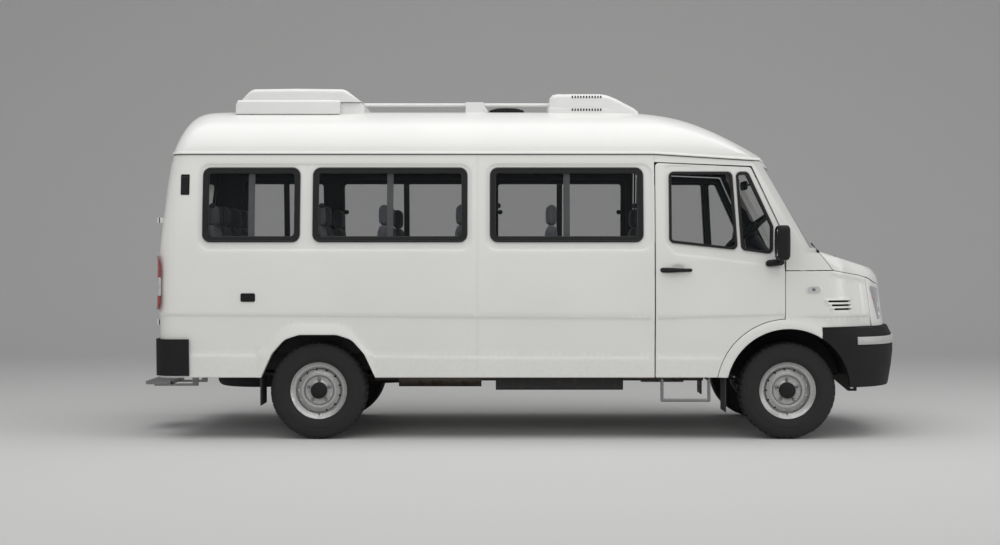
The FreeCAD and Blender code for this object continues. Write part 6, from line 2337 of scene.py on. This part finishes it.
def moulding(stations: Sequence[tuple[float, float, float, float]], corner: float = 0.045, rows: int = 8
             ) -> bmesh.types.BMesh:
    """Hood lofted along X through stations of X, half width, foot height and top height, with round edges.

    Args:
        stations: X, half width, low and high of each cross-section.
        corner: radius of the upper corners.
        rows: number of rows.

    Returns:
        The form as a loose mesh.
    """
    form = bmesh.new()
    rings = []
    for x, half, low, high in stations:
        radius = min(corner, 0.9 * (high - low), 0.9 * half)
        turns = np.linspace(0, math.pi / 2, rows)
        side = [(half, low)] + [(half - radius * (1 - math.cos(a)), high - radius * (1 - math.sin(a)))
                                for a in turns]
        line = side + [(-y, z) for y, z in side[::-1]]
        rings.append([form.verts.new((x, y, z)) for y, z in line])
    bridged(form, rings, capped=True)
    bmesh.ops.recalc_face_normals(form, faces=form.faces)
    return form


@dataclass
class Seats(Assembly):
    """Single seats in rows: stuffed cushions, backs and headrests with piping."""

    width: float = 0.430
    depth: float = 0.350
    low: float = 0.950
    top: float = 1.060
    head: float = 1.680
    front_extra: float = 0.130
    cab_start: float = 0.9
    rows: tuple[tuple[float, tuple[float, ...]], ...] = (
        (0.241, (-0.700,)), (-0.412, (-0.700, -0.255)), (-0.970, (-0.700, -0.255, 0.700)),
        (-1.448, (-0.700, -0.255, 0.700)), (-2.224, (-0.700, -0.235, 0.235, 0.700)), (0.930, (-0.480, 0.480)))

    def seat(self, x: float, y: float, extra: float) -> bmesh.types.BMesh:
        """One seat's three pads and their piping.

        Args:
            x: X of the seat's back.
            y: Y of its middle.
            extra: how much deeper the cushion is.

        Returns:
            The form as a loose mesh.
        """
        half = self.width / 2
        form = cushion((x + 0.045, y - half, self.low + 0.012), (x + 0.045 + self.depth + extra, y + half,
                                                                  self.top - 0.008), 0.032,
                       (0.006, 0.002, 0.016), ((1, -0.55, 2, 0.007), (1, 0.55, 2, 0.007), (0, -0.35, 2, 0.006)))
        gained(form, cushion((x - 0.044, y - half, self.low), (x + 0.034, y + half, self.head - 0.153), 0.036,
                             (0.010, 0.002, 0.004), ((1, -0.5, 0, 0.008), (1, 0.5, 0, 0.008),
                                                     (2, -0.30, 0, 0.006), (2, 0.52, 0, 0.006)), taper=0.10))
        gained(form, cushion((x - 0.038, y - 0.128, self.head - 0.150), (x + 0.028, y + 0.128, self.head - 0.003),
                             0.032, (0.008, 0.002, 0.003), cells=9, taper=0.12))
        for face in form.faces:
            face.smooth = True
        front = x + 0.034
        loops = [(front - 0.006, half * 0.955, self.low + 0.03, self.head - 0.172, 0.055),
                 (front - 0.012, 0.118, self.head - 0.140, self.head - 0.018, 0.045)]
        for at, wide, foot, high, round_off in loops:
            line = oblong(-wide, wide, foot, high, round_off, 4)
            share = (line[:, 1] - foot) / (high - foot)
            path = [(at, y + a * (1 - 0.09 * s), b) for (a, b), s in zip(line, share)]
            gained(form, tube(path, 0.0042, 5, closed=True), slot=1)
        for post in (-0.055, 0.055):
            gained(form, tube([(x - 0.005, y + post, self.head - 0.175), (x - 0.005, y + post, self.head - 0.130)],
                              0.006, 8), slot=2)
        return form

    def build(self) -> list[bpy.types.Object]:
        """Make every seat's pads as one piece.

        Returns:
            The pieces made.
        """
        form = bmesh.new()
        for x, places in self.rows:
            for y in places:
                gained(form, self.seat(x, y, self.front_extra if x > self.cab_start else 0.0), None)
        piece = self.add("seat_pads", form, "body", "seat_fabric", Paint.CLOTH, Paint.PIPING, Paint.STEEL,
                         stands_for=["seat_cushions"], angle=70.0)
        return self.made


@dataclass
class RoofUnits(Assembly):
    """Roof mounted cooling units with their louvres, the vent and the grab rail's bracket."""

    slots: int = 11

    def build(self) -> list[bpy.types.Object]:
        """Make both units and the vent.

        Returns:
            The pieces made.
        """
        rear = moulding([(-2.078, 0.600, 2.350, 2.395), (-2.074, 0.612, 2.350, 2.430), (-2.060, 0.616, 2.350, 2.452),
                         (-1.330, 0.616, 2.350, 2.452), (-1.312, 0.612, 2.350, 2.446)], 0.020)
        gained(rear, moulding([(-2.045, 0.560, 2.440, 2.447), (-2.034, 0.575, 2.440, 2.466),
                               (-1.985, 0.583, 2.440, 2.515), (-1.965, 0.585, 2.440, 2.529),
                               (-1.940, 0.586, 2.440, 2.536), (-1.620, 0.586, 2.440, 2.540),
                               (-1.300, 0.586, 2.440, 2.536), (-1.275, 0.585, 2.440, 2.530),
                               (-1.255, 0.584, 2.440, 2.518), (-1.165, 0.575, 2.440, 2.448),
                               (-1.155, 0.560, 2.440, 2.443)], 0.030))
        gained(rear, moulding([(-1.318, 0.560, 2.350, 2.440), (-1.160, 0.560, 2.350, 2.438),
                               (-1.140, 0.552, 2.350, 2.418)], 0.012))
        bolts = lathe([(0.0, 0.0), (0.0, 0.013), (0.006, 0.013), (0.010, 0.009), (0.010, 0.0)],
                      (-1.890, -0.30, 2.537), (0, 0, 1), 10)
        gained(rear, REPEATS.form(bolts, 2, finish=Paint.UNIT, step=(0.455, 0.0, 0.0)))
        self.add("rear_unit_shell", rear, "body", "unit_plastic", Paint.UNIT, stands_for=["roof_unit_rear"],
                 angle=38.0)
        front = moulding([(0.224, 0.490, 2.355, 2.440), (0.230, 0.506, 2.355, 2.478), (0.250, 0.514, 2.355, 2.500),
                          (0.290, 0.516, 2.355, 2.507), (0.600, 0.516, 2.352, 2.507), (0.650, 0.515, 2.348, 2.500),
                          (0.720, 0.513, 2.342, 2.472), (0.850, 0.505, 2.330, 2.405), (0.885, 0.490, 2.330, 2.380)],
                         0.034)
        gained(front, moulding([(0.222, 0.518, 2.350, 2.405), (0.640, 0.5185, 2.348, 2.403),
                                (0.700, 0.514, 2.344, 2.384), (0.760, 0.505, 2.340, 2.362)], 0.008))
        self.add("front_unit_shell", front, "body", "unit_plastic", Paint.UNIT, stands_for=["roof_unit_front"],
                 angle=38.0)
        dark = bmesh.new()
        for y, z, lean in ((-0.5145, 2.484, 0.35), (-0.5192, 2.389, 0.0), (0.5145, 2.484, 0.35), (0.5192, 2.389, 0.0)):
            slot = slab((0.392, -0.0015, -0.0095), (0.402, 0.0015, 0.0095), 0.001, 1)
            bmesh.ops.rotate(slot, verts=slot.verts, cent=(0, 0, 0),
                             matrix=Matrix.Rotation(math.copysign(lean, y), 3, "X") if lean else Matrix.Identity(3))
            bmesh.ops.translate(slot, verts=slot.verts, vec=(0.0, y, z))
            gained(dark, REPEATS.form(slot, self.slots, finish=Paint.BLACK, step=(0.021, 0.0, 0.0)))
        gained(dark, moulding([(-0.226, 0.02, 2.380, 2.386), (-0.215, 0.11, 2.380, 2.400),
                               (-0.160, 0.138, 2.380, 2.412), (-0.090, 0.143, 2.380, 2.414),
                               (-0.020, 0.138, 2.380, 2.412), (0.035, 0.11, 2.380, 2.400),
                               (0.046, 0.02, 2.380, 2.386)], 0.02, 5))
        bmesh.ops.translate(dark, verts=[v for v in dark.verts if v.co.x < 0.1], vec=(0.0, -0.25, 0.0))
        self.add("unit_louvres", dark, "body", "dark_vent", Paint.BLACK, stands_for=["roof_vent"])
        bracket = moulding([(-0.395, 0.035, 2.375, 2.392), (-0.355, 0.040, 2.375, 2.446),
                            (-0.270, 0.040, 2.375, 2.446), (-0.232, 0.035, 2.375, 2.392)], 0.010, 4)
        bmesh.ops.translate(bracket, verts=bracket.verts, vec=(0.0, -0.40, 0.0))
        self.add("rail_bracket", bracket, "body", "rail_paint", Paint.UNIT)
        return self.made


@dataclass
class DoorTrim(Assembly):
    """A front door's window rubbers, its pull handle and the outside mirror."""

    side: Side
    handle: tuple[float, float] = (1.019, 1.225)
    handle_height: float = 1.207

    def build(self) -> list[bpy.types.Object]:
        """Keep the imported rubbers, and make handle and mirror.

        Returns:
            The pieces made.
        """
        node = f"door_trim_{self.side.word}"
        form = merged(node)
        drop = [vert for part in islands(form) for vert in part
                if max(abs(v.co.y) for v in part) > 1.03 or max(v.co.z for v in part) < 1.26]
        bmesh.ops.delete(form, geom=drop, context="VERTS")
        body = f"door_{self.side.word}"
        self.add(f"door_rubbers_{self.side.word}", form, body, "black_plastic", Paint.RUBBER, stands_for=[node])
        self.add(f"door_mirror_{self.side.word}", self.mirror(), body, "black_plastic", Paint.BLACK, Paint.CHROME,
                 angle=40.0)
        self.add(f"door_handle_{self.side.word}", self.pull(), body, "black_plastic", Paint.BLACK, angle=40.0)
        return self.made

    def mirror(self) -> bmesh.types.BMesh:
        """Rounded mirror head on its two-part arm, with the glass facing rearward.

        Returns:
            The form as a loose mesh.
        """
        out = self.side.value
        head = cushion((1.806, -0.085, 1.281), (1.892, 0.085, 1.521), 0.022, (0.006, 0.003, 0.003), cells=9)
        for vert in head.verts:
            if vert.co.x < 1.83:
                vert.co.x += 0.10 * (1.401 - vert.co.z) ** 2
            vert.co.y += out * 1.1435
        glass = slab((1.8035, out * 1.084, 1.309), (1.8095, out * 1.210, 1.493), 0.002, 1)
        gained(head, glass, slot=1)
        foot = cushion((1.752, -0.035, 1.237), (1.878, 0.035, 1.281), 0.018, (0.002, 0.002, 0.002), cells=7)
        for vert in foot.verts:
            vert.co.y = out * (1.026 + vert.co.y)
            vert.co.z += 0.10 * (vert.co.x - 1.80)
        gained(head, foot)
        arm = curve_points([(1.845, out * 1.020, 1.262), (1.850, out * 1.075, 1.266), (1.850, out * 1.090, 1.300)],
                           0.03)
        gained(head, tube(arm, 0.014, 12))
        return head

    def pull(self) -> bmesh.types.BMesh:
        """Bar handle with its two feet and the lock button.

        Returns:
            The form as a loose mesh.
        """
        out, (start, end), z = self.side.value, self.handle, self.handle_height
        skin = float(BodyForm.half(np.array(z))) - 0.010
        bar = curve_points([(start, out * (skin + 0.002), z), (start + 0.018, out * (skin + 0.028), z),
                            (end - 0.018, out * (skin + 0.028), z), (end, out * (skin + 0.002), z)], 0.02)
        widths = [float(np.interp(point[0], (start, start + 0.055, start + 0.080, end), (0.018, 0.019, 0.013, 0.012)))
                  for point in bar]
        form = tube(bar, widths, 18)
        gained(form, lathe([(0.0, 0.0), (0.0, 0.010), (0.003, 0.009), (0.004, 0.0)],
                           (start + 0.036, out * (skin + 0.045), z), (0, out, 0), 20))
        return form


@dataclass
class WindowFrames(Assembly):
    """Inner frames of the sliding windows with their meeting rails and latch knobs."""

    inset: float = 0.0315
    strip: float = 0.010
    depth: float = -0.0265

    def place(self, u: np.ndarray, z: np.ndarray, out: np.ndarray, side: Side) -> np.ndarray:
        """Point on the glass surface."""
        return BodyForm.wrap(u, z, out + self.depth, side)

    def build(self) -> list[bpy.types.Object]:
        """Make the frames of both sides.

        Returns:
            The pieces made.
        """
        frames, knobs = bmesh.new(), bmesh.new()
        for side in Side:
            place = partial(self.place, side=side)
            for number, (start, end) in enumerate(WINDOWS):
                edge = self.inset
                outer = dense(oblong(start + edge, end - edge, WINDOW_SPAN[0] + edge, WINDOW_SPAN[1] - edge, 0.030),
                              0.08)
                inner = Skin.moved(outer, self.strip)
                rings = laid(frames, place, ((outer, 0.000), (outer, 0.0085), (inner, 0.0085), (inner, 0.000)))
                bridged(frames, rings + rings[:1])
                middle = (start + end) / 2
                for offset, width, out in ((0.0, 0.014, 0.0080), (0.017, 0.006, 0.0060), (-0.017, 0.006, 0.0060)):
                    z = np.linspace(WINDOW_SPAN[0] + edge, WINDOW_SPAN[1] - edge, 9)
                    rings = laid(frames, place, [(np.stack([np.full_like(z, middle + offset + du), z], axis=1), lift)
                                                 for du, lift in ((-width, 0.0), (-width, out), (width, out),
                                                                  (width, 0.0))])
                    bridged(frames, rings + rings[:1], closed=False)
                    for end_row in (0, -1):
                        frames.faces.new([row[end_row] for row in rings])
                for knob_u in (start + 0.058, end - 0.058)[:1 + (number == 2)]:
                    centre = place(np.array([knob_u]), np.array([1.668]), np.array([-0.012]))[0]
                    gained(knobs, lathe([(0.0, 0.0), (0.0, 0.012), (0.012, 0.012), (0.016, 0.019), (0.026, 0.019),
                                         (0.030, 0.014), (0.030, 0.0)], centre, (0, -side.value, 0), 16))
        bmesh.ops.recalc_face_normals(frames, faces=frames.faces)
        self.add("sliding_window_frames", frames, "body", "window_rubber", Paint.RAIL)
        self.add("window_rubber_lips", self.lips(), "body", "window_rubber", Paint.RUBBER, angle=50.0)
        self.add("window_knobs", knobs, "body", "black_plastic", Paint.BLACK)
        return self.made

    @staticmethod
    def lips() -> bmesh.types.BMesh:
        """Two raised lips along every window rubber.

        Returns:
            The form as a loose mesh.
        """
        form = bmesh.new()
        profiles = (((0.001, -0.002), (0.003, 0.0075), (0.007, 0.0095), (0.011, 0.0075), (0.013, -0.002)),
                    ((0.019, -0.002), (0.021, 0.0060), (0.025, 0.0070), (0.028, 0.0050), (0.030, -0.002)))
        for side in Side:
            for start, end in WINDOWS:
                edge = dense(oblong(start, end, *WINDOW_SPAN, WINDOW_CORNER), 0.06)
                for profile in profiles:
                    rings = laid(form, partial(BodyForm.wrap, side=side),
                                 [(Skin.moved(edge, inset), out) for inset, out in profile])
                    bridged(form, rings + rings[:1])
        bmesh.ops.recalc_face_normals(form, faces=form.faces)
        return form


@dataclass
class SideDetails(Assembly):
    """Small fittings of the sides: rear vents, fuel flap lock, tail lamps and bumper strips."""

    vent: tuple[float, float, float, float] = (-2.412, -2.350, 1.744, 1.891)
    plate: tuple[float, float, float, float] = (-1.978, -1.874, 0.982, 1.043)
    clear_span: Point = (1.026, 1.156)
    lamp_rear: float = -2.588
    lamp_middle: float = 1.117
    lamp_half: float = 0.192

    def build(self) -> list[bpy.types.Object]:
        """Make vents, plate, tail lamps and bumper strips.

        Returns:
            The pieces made.
        """
        dark = bmesh.new()
        for side in Side:
            place = partial(BodyForm.wrap, side=side)
            start, end, low, high = self.vent
            gained(dark, pad(place, dense(oblong(start, end, low, high, 0.006, 3), 0.03),
                             ((1.0, -0.002), (1.0, 0.003), (0.95, 0.004), (0.90, 0.0015), (0.0, 0.0015))))
            blade = bmesh.new()
            corners = []
            for u in (start + 0.006, end - 0.006):
                row = []
                for z, out in ((low + 0.008, 0.002), (low + 0.010, 0.0065), (low + 0.018, 0.002)):
                    row.append(blade.verts.new(place(np.array([u]), np.array([z]), np.array([out]))[0]))
                corners.append(row)
            bridged(blade, corners, capped=True)
            bmesh.ops.recalc_face_normals(blade, faces=blade.faces)
            lean = float(BodyForm.half(np.array(high)) - BodyForm.half(np.array(low))) / (high - low)
            gained(dark, REPEATS.form(blade, 9, finish=Paint.BLACK, step=(0.0, side.value * lean * 0.0145, 0.0145)))
        start, end, low, high = self.plate
        right = partial(BodyForm.wrap, side=Side.RIGHT)
        gained(dark, pad(right, dense(oblong(start, end, low, high, 0.012, 4), 0.03),
                         ((1.0, -0.008), (1.0, 0.004), (0.94, 0.007), (0.86, 0.006), (0.80, 0.002),
                          (0.0, 0.0018))))
        for u in (-1.945, -1.907):
            spot = right(np.array([u]), np.array([1.012]), np.array([0.001]))[0]
            gained(dark, lathe([(0.0, 0.0), (0.0, 0.009), (0.006, 0.008), (0.007, 0.0)], spot, (0, -1, 0), 14))
        self.add("side_vents", dark, "body", "black_plastic", Paint.BLACK)
        self.tail_lamps()
        self.strips()
        return self.made

    def tail_lamps(self) -> None:
        """Packed tail lamps with a clear band and ribs."""
        form = merged("tail_lamps")
        for z in (*self.clear_span, *np.linspace(0.935, 1.300, 13)):
            geometry = form.verts[:] + form.edges[:] + form.faces[:]
            bmesh.ops.bisect_plane(form, geom=geometry, plane_co=(0, 0, z), plane_no=(0, 0, 1))
        low, high = self.clear_span
        for vert in form.verts:
            share = 0.49 - 0.30 * (abs(vert.co.z - self.lamp_middle) / self.lamp_half) ** 5
            vert.co.x = self.lamp_rear + (vert.co.x - self.lamp_rear) * share
        for face in form.faces:
            face.material_index = int(low < face.calc_center_median().z < high)
        self.add("tail_lamp_lenses", form, "body", "red_lamp", Paint.RED, Paint.WHITE_LENS,
                 stands_for=["tail_lamps"])

    def strips(self) -> None:
        """Pale strip round each end of the front bumper, laid on its surface."""
        solid = merged("front_bumper")
        tree = BVHTree.FromBMesh(solid)
        form = bmesh.new()
        for side in Side:
            rings = []
            for turn in np.linspace(math.radians(62), math.radians(20), 24):
                away = Vector((math.cos(turn), side.value * math.sin(turn), 0.0))
                row = []
                for z, out in ((0.676, 0.0005), (0.676, 0.006), (0.683, 0.009), (0.724, 0.009), (0.731, 0.006),
                               (0.731, 0.0005)):
                    start = Vector((1.90, 0.0, z)) + away * 2.0
                    hit = tree.ray_cast(start, -away)[0]
                    row.append(form.verts.new(hit + away * out))
                rings.append(row)
            bridged(form, rings, capped=True)
        bmesh.ops.recalc_face_normals(form, faces=form.faces)
        solid.free()
        self.add("bumper_strips", form, "body", "black_plastic", Paint.STRIP)


@dataclass
class RearStep(Assembly):
    """Raised studs on the tread of the rear step."""

    start: Point = (-2.800, -0.231)
    pitch: float = 0.033
    rows: int = 6
    count: int = 15

    def build(self) -> list[bpy.types.Object]:
        """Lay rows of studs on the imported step.

        Returns:
            The pieces made.
        """
        solid = merged("steps")
        tree = BVHTree.FromBMesh(solid)
        solid.free()
        form = bmesh.new()
        for row in range(self.rows):
            hit = tree.ray_cast(Vector((self.start[0] + row * self.pitch, self.start[1], 0.60)), Vector((0, 0, -1)))[0]
            if hit is not None:
                stud = lathe([(-0.001, 0.0), (-0.001, 0.010), (0.002, 0.008), (0.0025, 0.0)], hit, (0, 0, 1), 8)
                gained(form, REPEATS.form(stud, self.count, finish=Paint.STEEL, step=(0.0, self.pitch, 0.0)))
        self.add("step_studs", form, "body", "step_steel", Paint.STEEL)
        return self.made


@dataclass
class CabFittings(Assembly):
    """Small fittings of the cab: the inside mirror and its stem."""

    def build(self) -> list[bpy.types.Object]:
        """Make the mirror.

        Returns:
            The pieces made.
        """
        form = cushion((1.722, -0.115, 1.815), (1.752, 0.115, 1.880), 0.012, (0.004, 0.002, 0.002), cells=7)
        gained(form, tube(curve_points([(1.752, 0.0, 1.850), (1.800, 0.0, 1.860), (1.838, 0.0, 1.950)], 0.02),
                          0.007, 10))
        self.add("inside_mirror", form, "body", "black_plastic", Paint.BLACK)
        return self.made


def assemblies() -> list[Assembly]:
    """The assemblies in the order they are made.

    Returns:
        The assemblies.
    """
    return [
        *(BodySide(side) for side in Side),
        *(FrontDoor(side) for side in Side),
        Roof(),
        Bonnet(),
        Fenders(),
        FrontPanel(),
        Cowl(),
        *(DoorTrim(side) for side in Side),
        WindowFrames(),
        SideDetails(),
        RoofUnits(),
        RearStep(),
        CabFittings(),
        Seats(),
        *(Wheel(axle, side) for axle in WHEELS for side in Side),
    ]


@dataclass
class Studio:
    """Camera at the photo's place, a pale seamless floor and soft lamps."""

    eye: tuple[float, float, float] = (-0.042, -12.890, 1.315)
    lens: float = 60.26
    shift: Point = (-0.013, -0.0175)
    ground: Colour = (0.60, 0.60, 0.59)
    sky: Colour = (0.86, 0.87, 0.88)

    def build(self) -> None:
        """Place camera, backdrop, lamps and world."""
        self.camera()
        self.backdrop()
        self.lamp("top_lamp", (0.0, -2.0, 7.5), (0.0, 0.0, 1.0), (13.0, 8.0), 470.0)
        self.lamp("side_lamp", (-3.0, -13.5, 5.5), (0.0, 0.0, 1.2), (12.0, 5.0), 340.0).visible_glossy = False
        self.lamp("front_lamp", (11.0, -4.0, 4.0), (2.0, 0.0, 1.2), (5.0, 5.0), 190.0)
        self.world()

    def camera(self) -> None:
        """Camera that looks straight at the vehicle's right side."""
        data = bpy.data.cameras.new("view")
        data.lens = self.lens
        data.sensor_width = 36.0
        data.shift_x, data.shift_y = self.shift
        data.clip_end = 200.0
        view = bpy.data.objects.new("view", data)
        view.location = self.eye
        view.rotation_euler = (math.radians(90), 0, 0)
        bpy.context.scene.collection.objects.link(view)
        bpy.context.scene.camera = view

    def backdrop(self) -> None:
        """Floor that curves up into a wall behind the vehicle."""
        reach, bend, wall_y = 45.0, 7.0, 16.0
        line = [(-45.0, 0.0), (wall_y - bend, 0.0)]
        for i in range(1, 13):
            turn = math.radians(7.5 * i)
            line.append((wall_y - bend + bend * math.sin(turn), bend * (1 - math.cos(turn))))
        line.append((wall_y, 30.0))
        mesh = bpy.data.meshes.new("backdrop")
        verts = [(x, y, z - 0.0005) for x in (-reach, reach) for y, z in line]
        count = len(line)
        faces = [(i, i + count, i + count + 1, i + 1) for i in range(count - 1)]
        mesh.from_pydata(verts, [], faces)
        mesh.polygons.foreach_set("use_smooth", [True] * len(faces))
        floor = made_object("backdrop", mesh, Plain("studio_floor", self.ground, 0.9))

    def lamp(self, name: str, place: Sequence[float], aim: Sequence[float], size: Point, power: float
             ) -> bpy.types.Object:
        """Add a soft rectangular lamp.

        Args:
            name: the lamp's name.
            place: where it stands.
            aim: the point it faces.
            size: its width and height.
            power: its power in watts.

        Returns:
            The object.
        """
        data = bpy.data.lights.new(name, "AREA")
        data.shape = "RECTANGLE"
        data.size, data.size_y = size
        data.energy = power
        made = bpy.data.objects.new(name, data)
        made.location = place
        made.rotation_euler = (Vector(aim) - Vector(place)).to_track_quat("-Z", "Y").to_euler()
        made.visible_camera = False
        bpy.context.scene.collection.objects.link(made)
        return made

    def world(self) -> None:
        """Even pale surroundings."""
        world = bpy.data.worlds.new("surroundings")
        world.use_nodes = True
        back = world.node_tree.nodes["Background"]
        back.inputs["Color"].default_value = (*self.sky, 1.0)
        back.inputs["Strength"].default_value = 0.45
        bpy.context.scene.world = world
        bpy.context.scene.view_settings.view_transform = "Standard"


def main() -> None:
    """Build every assembly in order and note what was made."""
    logging.basicConfig(level=logging.INFO, format="%(name)s: %(message)s")
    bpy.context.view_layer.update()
    Studio().build()
    shown = set()
    for assembly in assemblies():
        made = assembly.build()
        shown |= {node for item in made for node in item.get("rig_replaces", [])}
        log.info("%s: %d pieces", type(assembly).__name__, len(made))
    for packed in PACKED:
        if packed.node not in shown:
            packed.build()
            log.info("%s: %s", packed.node, packed.finish.name)
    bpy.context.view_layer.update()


if __name__ == "__main__":
    main()
